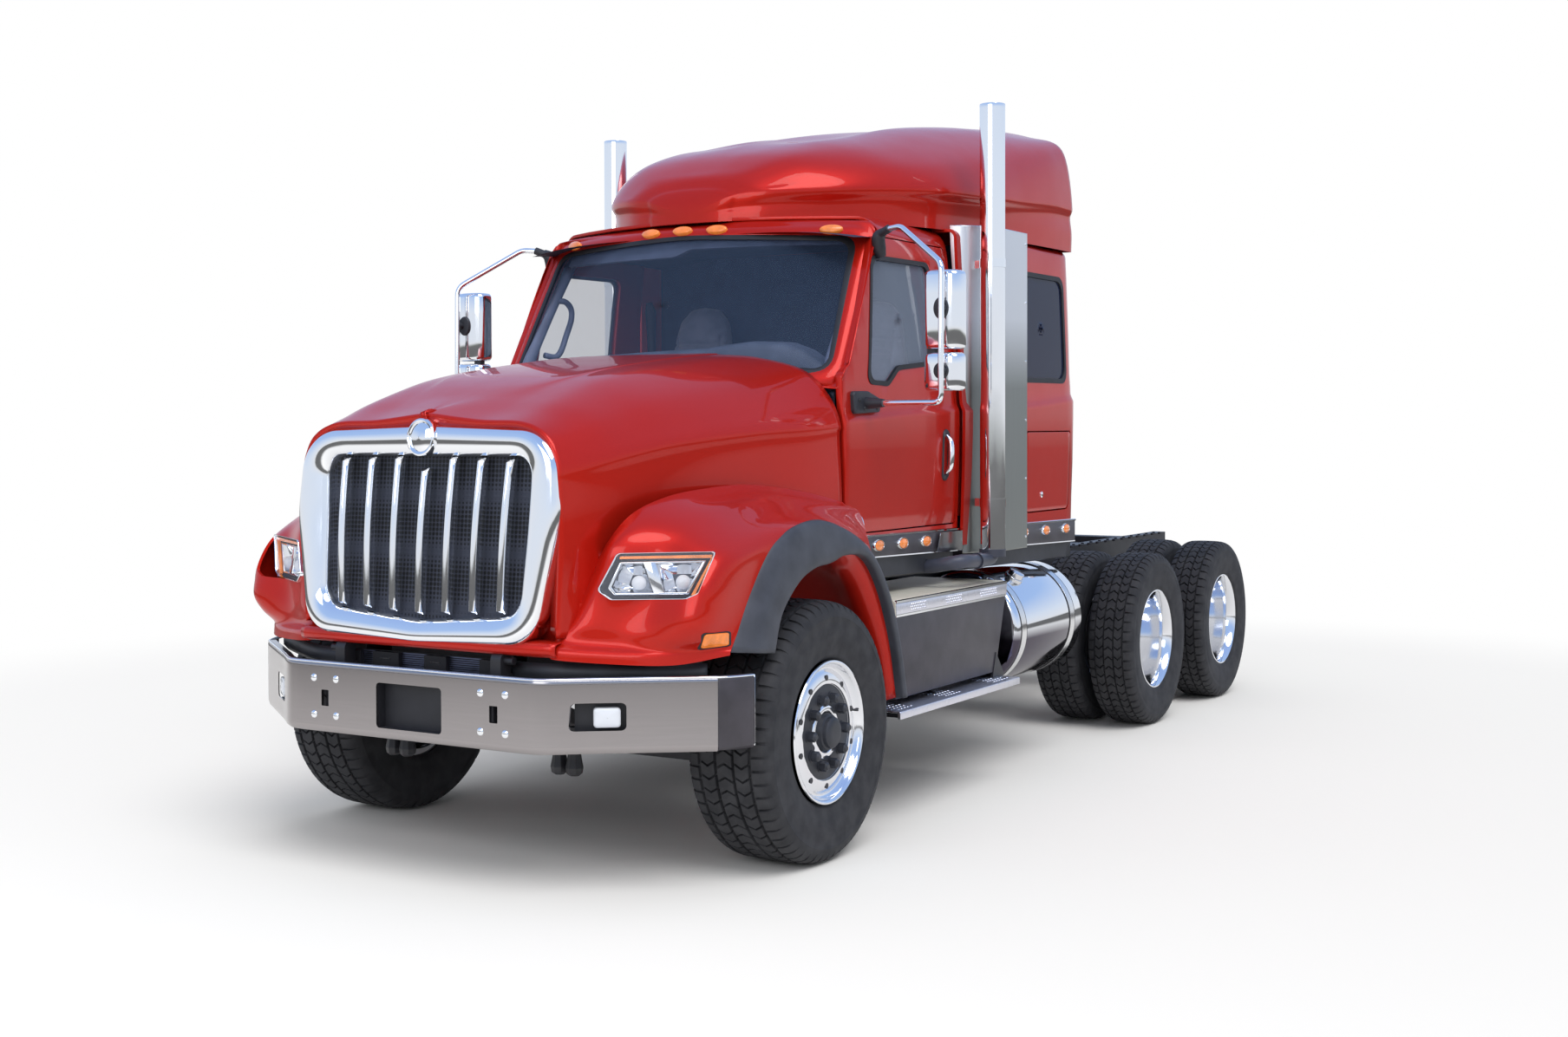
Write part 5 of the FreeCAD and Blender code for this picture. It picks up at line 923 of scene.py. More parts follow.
def doors():
    body = "door_left_body"
    rows = [[(side_x(y, z, CAB_HALF), y, z) for z in side_levels(y, 1.25) + [2.72]] for y in np.linspace(.60, 1.86, 30)]
    skin = body_skin("door_skin_left", rows, 0.030)
    clip(skin, prism_cutter(grow(DOOR, -.0035), DOOR_ROUND, .8), "INTERSECT")
    clip(skin, prism_cutter(DOOR_WINDOW, DOOR_WINDOW_ROUND, .5))
    soften(skin)
    fit_pair(skin, body, "red", replaces="door_left")
    b = surface_strip(DOOR_WINDOW, DOOR_WINDOW_ROUND, -.016, .006, CAB_HALF)
    fit_pair(b.make("door_seal_left", SEAL, sharp=40), body, "black_plastic")
    b = pane(DOOR_WINDOW, DOOR_WINDOW_ROUND, lambda y, z: on_side(CAB_HALF)(y, z, -.012))
    fit_pair(b.make("door_pane_left", DOOR_GLASS), body, "glass", replaces="door_glass_left")
    b = Build()
    plate = np.array(rounded([(1.647, 1.535), (1.716, 1.535), (1.722, 1.79), (1.655, 1.79)], .034, 8))
    b.grid(shrunk(plate, ((1.0, -.01), (1.0, .004), (.93, .010), (.80, .008), (.70, -.012), (.3, -.016)),
                  on_side(CAB_HALF)), closed_v=True, flip=True)
    b.cap(len(plate))
    fit_pair(b.make("handle_cup_left", PLASTIC, sharp=50), body, "black_plastic")
    b = Build()
    grip = [(1.008, 1.682, 1.575), (1.028, 1.683, 1.600), (1.034, 1.686, 1.665), (1.028, 1.689, 1.73),
            (1.006, 1.691, 1.757)]
    b.tube(catmull(grip, 20), tapered(20, [0, .2, .5, .8, 1], [.010, .014, .016, .014, .010]), 14)
    fit_pair(b.make("handle_grip_left", CHROME, sharp=50), body, "chrome")
    b = Build()
    b.tube(catmull([(1.002, .772, 1.298), (1.014, .774, 1.33), (1.014, .780, 1.36), (1.002, .783, 1.392)], 10), .008,
           10)
    fit_pair(b.make("step_bit_left", CHROME), body, "chrome")


def sleeper():
    rows = []
    for y, tuck in [(CAB_REAR + .004, 0), (1.95, 0), (2.2, 0), (2.5, 0), (2.8, 0), (3.05, 0), (3.22, 0), (3.30, .0015),
                    (3.345, .010), (3.375, .026), (3.393, .048), (3.402, .072), (3.405, .10)]:
        rows.append([(max(x - tuck, 0) if x > .2 else x, y, z) for x, z in body_section(min(y, 3.3), SLEEPER_HALF)])
    for share in (.5, 0):
        rows.append([(x * share, SLEEPER_REAR, z) for x, _, z in rows[-1]])
    skin = body_skin("sleeper_body", rows)
    clip(skin, prism_cutter(SLEEPER_WINDOW, .07, .5))
    clip(skin, prism_cutter(grow(HATCH, .004), [.045, .045, .010, .010], .5))
    modifier(skin, "MIRROR", use_axis=(True, False, False))
    apply_all(skin)
    shade(skin, 42)
    fit("chassis", (skin, "red"))
    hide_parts("sleeper_shell")
    place = on_side(SLEEPER_HALF)
    rows = [[place(y, z) for z in np.linspace(1.30, 1.80, 16)] for y in np.linspace(2.6, 3.31, 20)]
    lid = body_skin("hatch_skin_left", rows, .020)
    clip(lid, prism_cutter(grow(HATCH, -.003), [.042, .042, .018, .018], .8), "INTERSECT")
    soften(lid, .004)
    fit_pair(lid, "luggage_left_body", "red", replaces="luggage_door_left")
    b = Build()
    b.lathe([(-.01, .017), (.004, .017), (.006, .013), (.006, 0.0001)], place(2.868, 1.426), "x", 20)
    fit_pair(b.make("hatch_latch_left", CHROME, sharp=40), "luggage_left_body", "chrome")
    b = surface_strip(SLEEPER_WINDOW, .07, -.018, .008, SLEEPER_HALF)
    strip = b.mirrored().make("sleeper_seals", SEAL, sharp=40)
    b = pane(SLEEPER_WINDOW, .07, lambda y, z: place(y, z, -.006))
    panes = b.mirrored().make("sleeper_panes", DARK_GLASS)
    fit("chassis", (strip, "black_plastic"), (panes, "dark_glass"))


FAIRING = [
    (0.915, [(0, 2.965), (.08, 2.963), (.15, 2.957), (.20, 2.945), (.235, 2.93), (.25, 2.91), (.24, 2.80)]),
    (0.945, [(0, 3.018), (.10, 3.015), (.20, 3.005), (.27, 2.985), (.325, 2.955), (.35, 2.918), (.335, 2.80)]),
    (1.000, [(0, 3.06), (.15, 3.058), (.28, 3.045), (.36, 3.01), (.42, 2.965), (.45, 2.93), (.43, 2.80)]),
    (1.150, [(0, 3.15), (.20, 3.148), (.38, 3.13), (.49, 3.09), (.58, 3.02), (.63, 2.945), (.60, 2.80)]),
    (1.400, [(0, 3.235), (.22, 3.225), (.42, 3.215), (.60, 3.165), (.74, 3.07), (.80, 2.965), (.77, 2.80)]),
    (1.750, [(0, 3.31), (.25, 3.285), (.45, 3.29), (.66, 3.235), (.87, 3.11), (.945, 2.985), (.90, 2.80)]),
    (2.200, [(0, 3.395), (.25, 3.375), (.45, 3.39), (.70, 3.325), (.93, 3.18), (1.005, 3.0), (.955, 2.80)]),
    (2.700, [(0, 3.475), (.25, 3.46), (.45, 3.465), (.72, 3.41), (.95, 3.26), (1.012, 3.02), (.985, 2.80)]),
    (3.100, [(0, 3.53), (.25, 3.525), (.45, 3.51), (.73, 3.45), (.955, 3.33), (1.012, 3.04), (1.0, 2.80)]),
    (3.375, [(0, 3.56), (.25, 3.555), (.45, 3.54), (.73, 3.475), (.945, 3.375), (1.005, 3.04), (1.0, 2.80)]),
]


def fairing():
    rows = []
    for y, pts in FAIRING:
        tip, low = pts[-2:]
        rows.append([(x, y, z) for x, z in pts[:-1]]
                    + [(tip[0] - .004, y, tip[1] - .02), (tip[0] * .6 + low[0] * .4 - .012, y, tip[1] - .05),
                       (low[0], y, (tip[1] + low[1]) / 2 - .02), (low[0] - .002, y, 2.795)])
    g = smooth_grid(rows, 110, 70)
    g[..., 0] = np.maximum(g[..., 0], 0)
    g[:, 0, 0] = 0
    nose = []
    for size, ahead in ((.02, .034), (.35, .031), (.65, .024), (.88, .013), (.97, .005)):
        row = g[0].copy()
        row[:, 0] *= size if size > .1 else 0
        row[:, 2] = 2.795 + (row[:, 2] - 2.795) * (.25 + .75 * size)
        row[:, 1] -= ahead
        nose.append(row)
    b = Build()
    b.grid(np.concatenate([np.array(nose), g]))
    rear = [g[-1]]
    for s in (.985, .6, .2, .0):
        row = g[-1].copy()
        row[:, 0] *= s
        row[:, 2] = 2.8 + (row[:, 2] - 2.8) * s
        row[:, 1] += .004
        rear.append(row)
    b.grid(rear)
    obj = b.mirrored().make("fairing_skin", RED, sharp=40)
    merge(obj)
    fit("chassis", (obj, "red"))
    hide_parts("roof_fairing")


# Wheels

BEAD = .2985  # radius of the rims' lips
BOLT_RING = .1425  # radius of the wheel nuts' circle


def tread_radius(profile, dx):
    return float(np.interp(abs(dx), [p[0] for p in profile], [p[1] for p in profile]))


def tyre_mesh(b, x0, y0, radius, half, pitches):
    """A carcass with three rows of blocks and long shoulder lugs, standing on the floor."""
    z0 = radius
    k = half / 0.195
    base = radius - 0.015
    wall = [(.148, BEAD - .006), (.166, BEAD + .004), (.176, BEAD + .020), (.1765, BEAD + .024), (.186, BEAD + .060),
            (.1875, BEAD + .064), (.194, BEAD + .110), (.195, BEAD + .135), (.192, radius - .072),
            (.1935, radius - .069), (.190, radius - .050), (.178, radius - .030), (.160, radius - .018),
            (.120, base + .001), (0, base)]
    profile = [(-d * k, r) for d, r in wall] + [(d * k, r) for d, r in reversed(wall[:-1])]
    b.lathe(profile, (x0, y0, z0), "x", 88)
    crown = [(0, radius), (.07 * k, radius - .0005), (.125 * k, radius - .003), (.160 * k, radius - .010),
             (.176 * k, radius - .022), (.186 * k, radius - .040), (.191 * k, radius - .060)]
    step = 2 * math.pi / pitches

    def spot(dx, turn, drop):
        r = tread_radius(crown, dx) - drop
        return (x0 + dx, y0 + r * math.cos(turn), z0 + r * math.sin(turn))

    columns = [(-.112, -.045, .0, .018), (-.037, .037, .5, -.018), (.045, .112, .0, .018)]
    for start, end, phase, lean in columns:
        for i in range(pitches):
            a0 = (i + phase + .04) * step
            a1 = (i + phase + .96) * step
            skew = lean * step / .057 * 1.2
            rows = []
            for t, drop in ((0, .016), (.06, 0), (.5, 0), (.94, 0), (1, .016)):
                row = []
                for s, low in ((0, .016), (.05, 0), (.5, 0), (.95, 0), (1, .016)):
                    dx = (start + (end - start) * s) * k
                    wave = math.sin(s * math.pi) * skew
                    row.append(spot(dx, a0 + (a1 - a0) * t + wave, max(drop, low)))
                rows.append(row)
            b.grid(rows)
    for side in (-1, 1):
        for i in range(pitches):
            a0 = (i + .5 + .05) * step
            a1 = (i + .5 + .95) * step
            rows = []
            for t, drop in ((0, .016), (.07, 0), (.5, 0), (.93, 0), (1, .016)):
                row = []
                for d, low in ((.120, .016), (.124, 0), (.150, 0), (.166, 0), (.177, 0), (.187, .0), (.1925, .004)):
                    dx = side * d * k
                    r = tread_radius(crown, dx) - max(drop if d < .19 else drop * .4, low)
                    turn = a0 + (a1 - a0) * t
                    inward = (drop > 0) * .006 * (d > .17)
                    row.append((x0 + dx - side * inward, y0 + r * math.cos(turn), z0 + r * math.sin(turn)))
                rows.append(row)
            b.grid(rows, flip=side > 0)


def hex_nut(b, x, y, z, r, length):
    pts = [(x, y + r * math.cos(a), z + r * math.sin(a)) for a in around(6) + .3]
    b.prism(pts, (length * .8, 0, 0))
    b.lathe([(length * .8, r * .86), (length, r * .5), (length, .0005)], (x, y, z), "x", 12)


def wheels():
    b = Build()
    tyre_mesh(b, 1.090, 0, STEER_Z, 0.195, 60)
    tyre = b.make("tyre_front_left", RUBBER, sharp=35)
    fit_pair(tyre, "front_wheel_left", "tyre", replaces="front_tyre_left")
    b = Build()
    rim = [(.940, .262), (.945, .292), (.955, BEAD), (.962, .292), (.975, .270), (1.10, .258), (1.215, .258),
           (1.232, .262), (1.245, .270), (1.252, .278), (1.262, .2955), (1.268, BEAD), (1.273, .296), (1.275, .290),
           (1.272, .284), (1.262, .279), (1.250, .275), (1.242, .268), (1.239, .262), (1.240, .256), (1.245, .249),
           (1.251, .236), (1.255, .220), (1.257, .204), (1.256, .2005), (1.249, .199), (1.247, .194), (1.247, .112),
           (1.252, .108), (1.254, .104), (1.254, .088), (1.250, .084), (1.235, .084), (1.235, .05)]
    b.lathe(rim, (0, 0, STEER_Z), "x", 96)
    disc = b.make("rim_front_left", ALLOY, sharp=38)
    fit_pair(disc, "front_wheel_left", "aluminium", replaces="front_rim_left")
    b = Build()
    b.lathe([(1.2485, .1985), (1.2495, .196), (1.2492, .114), (1.247, .112)], (0, 0, STEER_Z), "x", 72)
    for a in around(10):
        y, z = BOLT_RING * math.cos(a), STEER_Z + BOLT_RING * math.sin(a)
        hex_nut(b, 1.2485, y, z, .0215, .040)
        b.lathe([(1.2485, .027), (1.252, .027), (1.2525, .020)], (0, y, z), "x", 16)
    b.lathe([(1.235, .0835), (1.247, .080), (1.268, .074), (1.272, .066), (1.286, .064), (1.292, .058), (1.297, .050),
             (1.298, .030), (1.2985, .001)], (0, 0, STEER_Z), "x", 40)
    fit_pair(b.make("hub_front_left", PLASTIC, sharp=30), "front_wheel_left", "black_plastic")
    b = Build()
    for a in around(10) + math.pi / 10:
        b.lathe([(1.2545, .0125), (1.2562, .0125), (1.2565, .0100), (1.2552, .0001)],
                (0, .224 * math.cos(a), STEER_Z + .224 * math.sin(a)), "x", 14)
    b.lathe([(1.238, .004), (1.262, .004), (1.264, .002)], (0, .262, STEER_Z + .055), "x", 8)
    fit_pair(b.make("rim_holes_left", IRON), "front_wheel_left", "iron")
    for row, y in enumerate(DRIVE_Y, 1):
        body = "rear_wheel_%d_left" % row
        b = Build()
        for x in (1.109, 0.766):
            tyre_mesh(b, x, y, DRIVE_Z, 0.140, 56)
        name = "tyres_rear_%d_left" % row
        fit_pair(b.make(name, RUBBER, sharp=35), body, "tyre", replaces="rear_tyres_%d_left" % row)
        b = Build()
        dish = [(.996, .285), (.998, BEAD), (1.004, .292), (1.02, .272), (1.10, .262), (1.18, .266), (1.196, .276),
                (1.206, .290), (1.213, .2975), (1.220, BEAD), (1.225, .295), (1.226, .289), (1.221, .283),
                (1.208, .276), (1.192, .268), (1.15, .262), (1.08, .256), (1.03, .246), (.998, .230), (.980, .212),
                (.968, .196), (.962, .186), (.960, .178), (.960, .11), (.955, .108), (.955, .05)]
        b.lathe(dish, (0, y, DRIVE_Z), "x", 88)
        inner = [(.653, .285), (.655, BEAD), (.662, .292), (.676, .272), (.76, .262), (.85, .264), (.870, .276),
                 (.880, .296), (.884, .296), (.880, .280), (.862, .256), (.80, .250), (.70, .250), (.668, .270),
                 (.655, .283)]
        b.lathe(inner, (0, y, DRIVE_Z), "x", 56)
        name = "rims_rear_%d_left" % row
        fit_pair(b.make(name, ALLOY, sharp=38), body, "aluminium", replaces="rear_rims_%d_left" % row)
        b = Build()
        for a in around(10):
            hex_nut(b, .960, y + BOLT_RING * math.cos(a), DRIVE_Z + BOLT_RING * math.sin(a), .020, .034)
        for a in around(5) + .3:
            pts = [(.9685, y + (.215 + .026 * math.cos(t)) * math.cos(a) - .026 * math.sin(t) * math.sin(a),
                    DRIVE_Z + (.215 + .026 * math.cos(t)) * math.sin(a) + .026 * math.sin(t) * math.cos(a))
                   for t in around(16)]
            b.prism([(x + (math.hypot(py - y, pz - DRIVE_Z) - .196) * .55, py, pz) for x, py, pz in pts], (.0015, 0, 0))
        b.lathe([(.955, .108), (.972, .104), (.974, .092), (.974, .001)], (0, y, DRIVE_Z), "x", 36)
        name = "hub_rear_%d_left" % row
        fit_pair(b.make(name, IRON, sharp=30), body, "iron")


# Bumper and what lies behind it

BUMPER_PLAN = [(0, -1.160), (.45, -1.160), (.600, -1.157), (.650, -1.145), (.80, -1.030), (1.00, -.878), (1.165, -.752),
               (1.185, -.735)]
BUMPER_END = [(1.185, -.735), (1.205, -.716), (1.228, -.682), (1.250, -.640), (1.267, -.600)]


def swept_panel(plan, section, count, both=True):
    """Sweeps (inward, z) section points along a plan curve; positive inward goes into the truck."""
    line = catmull(np.array(plan), count)
    if both:
        line = np.concatenate([line[:0:-1] * [-1, 1], line])
    tangent = np.gradient(line, axis=0)
    tangent /= np.linalg.norm(tangent, axis=1)[:, None]
    inward = np.stack([-tangent[:, 1], tangent[:, 0]], 1)
    return np.array([[(p[0] + n[0] * d, p[1] + n[1] * d, z) for d, z in section] for p, n in zip(line, inward)])


def bumper():
    top, low = .855, .570
    section = [(.030, top - .004), (.008, top - .002), (.003, top - .007), (.0, top - .016)]
    section += [(.0, z) for z in np.linspace(top - .022, low + .026, 12)]
    section += [(.0, low + .020), (.003, low + .008), (.010, low + .002), (.030, low + .004)]
    b = Build()
    b.grid(swept_panel(BUMPER_PLAN, section, 90))
    face = b.make("bumper_face", BUMPER, sharp=50)
    solidify(face, .005, 1.0)
    for x, z, w, h in [(.012, .7, .338, .181), (.440, .708, .040, .066), (-.434, .708, .040, .066)]:
        c = Build()
        x0, x1, z0, z1 = x - w / 2, x + w / 2, z - h / 2, z + h / 2
        outline = rounded([(x0, z0), (x1, z0), (x1, z1), (x0, z1)], .016 if w > .1 else .004, 4)
        c.prism([(px, -1.3, pz) for px, pz in outline], (0, .3, 0))
        clip(face, c)
    for side in (-1, 1):
        c = Build()
        outline = rounded([(.738, .656), (.912, .656), (.912, .762), (.744, .762)], .018, 5)
        c.prism([(side * px, -1.3, pz) for px, pz in outline], (0, .5, 0))
        if side < 0:
            c.turned_over()
        clip(face, c)
    shade(face, 40)
    b = Build()
    ends = [(.026, top - .004), (.008, top - .002), (.002, top - .008), (.0, top - .016), (.0, low + .020),
            (.010, low + .004)]
    b.grid(swept_panel(BUMPER_END, ends, 12, both=False))
    end = b.mirrored().make("bumper_ends", PANEL, sharp=50)
    solidify(end, .005, 1.0)
    b = Build()
    edge = swept_panel(BUMPER_PLAN + BUMPER_END[1:], [(.0, 0)], 120)[:, 0]
    rail = edge.copy()
    rail[:, 2] = top - .003
    b.tube(rail, .0045, 8)
    tip = edge[-1]
    for s in (1, -1):
        b.tube(np.array([(s * tip[0], tip[1], low + .01), (s * tip[0], tip[1], top - .003)]), .004, 8)
    bright = b.make("bumper_edges", CHROME)
    b = Build()
    b.box(-.185, .205, -1.112, -1.106, .592, .808)
    for z in (.605, .792):
        b.box(-.160, .184, -1.152, -1.108, z, z + .004)
    for x in (-.160, .180):
        b.box(x, x + .004, -1.152, -1.108, .605, .796)
    for x in (-.434, .440):
        b.box(x - .028, x + .028, -1.128, -1.122, .664, .752)
    recess = b.make("bumper_recess", SEAL, smooth=False)
    b = Build()
    for side in (-1, 1):
        for x in (.375, .496):
            for z in (.637, .787):
                b.lathe([(.0, .0175), (.004, .0172), (.009, .0130), (.0105, .0070), (.011, .0002)],
                        (side * x, -1.160, z), "y", 18, -1)
    bolts = b.make("bumper_bolts", CHROME, sharp=60)
    b = Build()
    (xa, ya), (xb, yb) = (.722, -1.079), (.930, -.920)
    b.prism([(xa, ya + .055, .640), (xb, yb + .045, .640), (xb, yb + .045, .776), (xa, ya + .055, .776)],
            (.004, .006, 0))
    for z in (.640, .772):
        b.prism([(xa, ya + .006, z), (xb, yb + .006, z), (xb, yb + .06, z), (xa, ya + .06, z)], (0, 0, .004))
    pocket = b.mirrored().make("fog_pockets", FRAME, smooth=False)
    b = Build()
    along = np.array([.79, .613])
    out = np.array([.613, -.79])
    centre = np.array([.850, -.990]) + out * -.012
    outline = rounded([(-.052, -.038), (.052, -.038), (.052, .038), (-.052, .038)], .014, 5)
    rows = []
    for size, lift in ((1.0, -.03), (1.0, .006), (.95, .012), (.80, .015), (.4, .018), (.02, .019)):
        rows.append([(centre[0] + along[0] * u * size + out[0] * lift, centre[1] + along[1] * u * size + out[1] * lift,
                      .704 + w * size) for u, w in outline])
    b.grid(rows, closed_v=True)
    fog = b.mirrored().make("fog_lenses", PALE_LENS, sharp=50)
    fit("chassis", (face, "steel"), (end, "panel_dark"), (bright, "chrome"), (recess, "frame_black"), (bolts, "steel"),
        (pocket, "frame_black"), (fog, "lamp_clear"))
    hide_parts("front_bumper")
    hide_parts("fog_lamps")


def valance():
    plan = [(0, -1.016), (.45, -1.014), (.600, -1.004), (.70, -.965), (.86, -.870), (1.02, -.770), (1.12, -.705)]
    b = Build()
    b.grid(swept_panel(plan, [(.0, .898), (.0, .842), (.02, .820)], 60))
    dark = b.make("valance_panel", PLASTIC)
    solidify(dark, .006, 1.0)
    c = Build()
    c.box(-.430, .330, -1.3, -1.0, .80, 1.0)
    clip(dark, c)
    b = Build()
    for z in np.arange(.842, .905, .0085):
        b.box(-.43, .33, -1.000, -.996, z - .014, z - .0095)
    fins = b.make("cooler_fins", COOLER, smooth=False)
    b = Build()
    b.box(-.43, .33, -.992, -.986, .822, .895)
    for x0, x1 in ((-.43, -.372), (-.305, -.165), (-.03, .085), (.255, .335)):
        b.box(x0, x1, -1.022, -1.000, .822, .892)
    back = b.make("cooler_blocks", FRAME, smooth=False)
    b = Build()
    for x in (-.235, .028):
        b.box(x - .026, x + .026, -1.0245, -1.022, .864, .868)
    ticks = b.make("cooler_ticks", BUMPER, smooth=False)
    fit("chassis", (dark, "black_plastic"), (fins, "iron"), (back, "frame_black"), (ticks, "steel"))
    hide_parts("front_valance")


# Mirrors

def head_grid(x0, x1, z0, z1, y_front, y_back):
    """A mirror head: a bowed front, flat glass side at the back and rounded ends."""
    rows = []
    mid, half = (x0 + x1) / 2, (x1 - x0) / 2
    y_mid = y_front + (y_back - y_front) * .62
    rim = .022
    levels = [(z0, .02), (z0, .72), (z0 + rim * .12, .86), (z0 + rim * .45, .955), (z0 + rim, 1.0)]
    levels += [(z0 + (z1 - z0) * t, 1.0) for t in (.3, .5, .7)]
    levels += [(z1 - (z - z0), s) for z, s in reversed(levels[:5])]
    for z, s in levels:
        ring = []
        for a in around(64):
            c, w = math.cos(a), math.sin(a)
            px = math.copysign(abs(c) ** .62, c) * half
            if w < 0:
                py = -(y_mid - y_front) * abs(w) ** .80
            else:
                py = (y_back - y_mid) * abs(w) ** .35
            ring.append((mid + px * s, y_mid + py * s, z))
        rows.append(ring)
    return rows


def mirrors():
    b = Build()
    bend = [(.972, 1.035, 2.700), (1.020, 1.020, 2.722), (1.101, .993, 2.728), (1.391, .819, 2.534),
            (1.390, .812, 1.935), (1.375, .812, 1.912), (1.075, .835, 1.912), (1.015, .84, 1.912)]
    path = []
    corner = {2: .030, 3: .045, 4: .020, 5: .02}  # radius of the bend at these points
    pts = [np.array(p) for p in bend]
    for i, p in enumerate(pts):
        if i in corner:
            r = corner[i]
            u = (pts[i - 1] - p) / np.linalg.norm(pts[i - 1] - p)
            w = (pts[i + 1] - p) / np.linalg.norm(pts[i + 1] - p)
            for t in np.linspace(0, 1, 7):
                path.append((1 - t) ** 2 * (p + u * r) + 2 * t * (1 - t) * p + t ** 2 * (p + w * r))
        else:
            path.append(p)
    b.tube(np.array(path), .0135, 16)
    fit_pair(b.make("mirror_tube_left", CHROME), "door_left_body", "chrome", replaces="mirror_left")
    b = Build()
    b.grid(head_grid(1.268, 1.453, 2.152, 2.508, .855, .965), closed_v=True, flip=True)
    b.grid(head_grid(1.268, 1.453, 1.965, 2.138, .855, .960), closed_v=True, flip=True)
    fit_pair(b.make("mirror_heads_left", CHROME, sharp=55), "door_left_body", "chrome")
    b = Build()
    for z, high in ((2.335, .050), (2.055, .038)):
        rows = []
        for size, y in ((1.0, .872), (1.0, .850), (.92, .844), (.6, .842), (.02, .8415)):
            rows.append([(1.372 + .036 * size * math.cos(a), y, z + high * size * math.sin(a))
                         for a in around(32)])
        b.grid(rows, closed_v=True, flip=True)
        b.tube(np.array([(1.383, .862, z), (1.389, .822, z)]), .017, 14)
    b.box(1.290, 1.330, .880, .915, 2.130, 2.160)
    g = b.make("mirror_mounts_left", PLASTIC, sharp=40)
    fit_pair(g, "door_left_body", "black_plastic")
    b = Build()
    for z0, z1 in ((2.172, 2.488), (1.985, 2.120)):
        outline = rounded([(1.284, z0), (1.437, z0), (1.437, z1), (1.284, z1)], .02, 5)
        b.prism([(x, .9645, z) for x, z in outline], (0, .003, 0))
    fit_pair(b.make("mirror_faces_left", MIRROR, smooth=False), "door_left_body", "chrome")
    b = Build()
    outline = rounded([(.722, 1.862), (.975, 1.872), (.972, 1.936), (.860, 1.968), (.722, 1.966)],
                      [.02, .02, .015, .03, .02], 5)
    b.grid(shrunk(np.array(outline), ((1.0, -.012), (1.0, .016), (.96, .022), (.86, .024)), on_side(CAB_HALF)),
           closed_v=True, flip=True)
    b.cap(len(outline))
    b.tube(np.array([(.995, .838, 1.912), (1.050, .836, 1.912), (1.095, .832, 1.912)]), [.030, .024, .0185], 16)
    foot = [(.962, 1.075, 2.600), (.955, 1.060, 2.640), (.962, 1.045, 2.690), (.990, 1.035, 2.712)]
    b.tube(catmull(foot, 12), tapered(12, [0, .3, .7, 1], [.022, .034, .032, .020]), 16)
    b.tube(np.array([(.970, 1.036, 2.700), (1.030, 1.018, 2.724)]), .0195, 14)
    fit_pair(b.make("mirror_feet_left", PLASTIC, sharp=40), "door_left_body", "black_plastic")
    b = Build()
    for y, z in ((.768, 1.925), (.815, 1.888), (.935, 1.892)):
        b.lathe([(0, .010), (.004, .010), (.006, .006), (.0062, .0003)], (side_x(y, z, CAB_HALF) + .023, y, z), "x", 12)
    fit_pair(b.make("mirror_screws_left", FRAME), "door_left_body", "frame_black")


# Lamps

LAMP_U = np.array([.8705, .4921, .0085])
LAMP_V = np.array([-.0459, .0639, .9969])
LAMP_N = np.array([.4900, -.8682, .0783])
LAMP_O = np.array([.9669, -.8335, 1.2412])
LAMP_OUTLINE = [(-.147, .0852), (.2355, .0885), (.1686, -.0721), (.118, -.0931), (-.1743, -.0942), (-.225, -.058)]
LAMP_ROUND = [.022, .008, .020, .020, .018, .014]


def lamp_point(u, v, lift=0.0):
    return LAMP_O + LAMP_U * u + LAMP_V * v + LAMP_N * lift


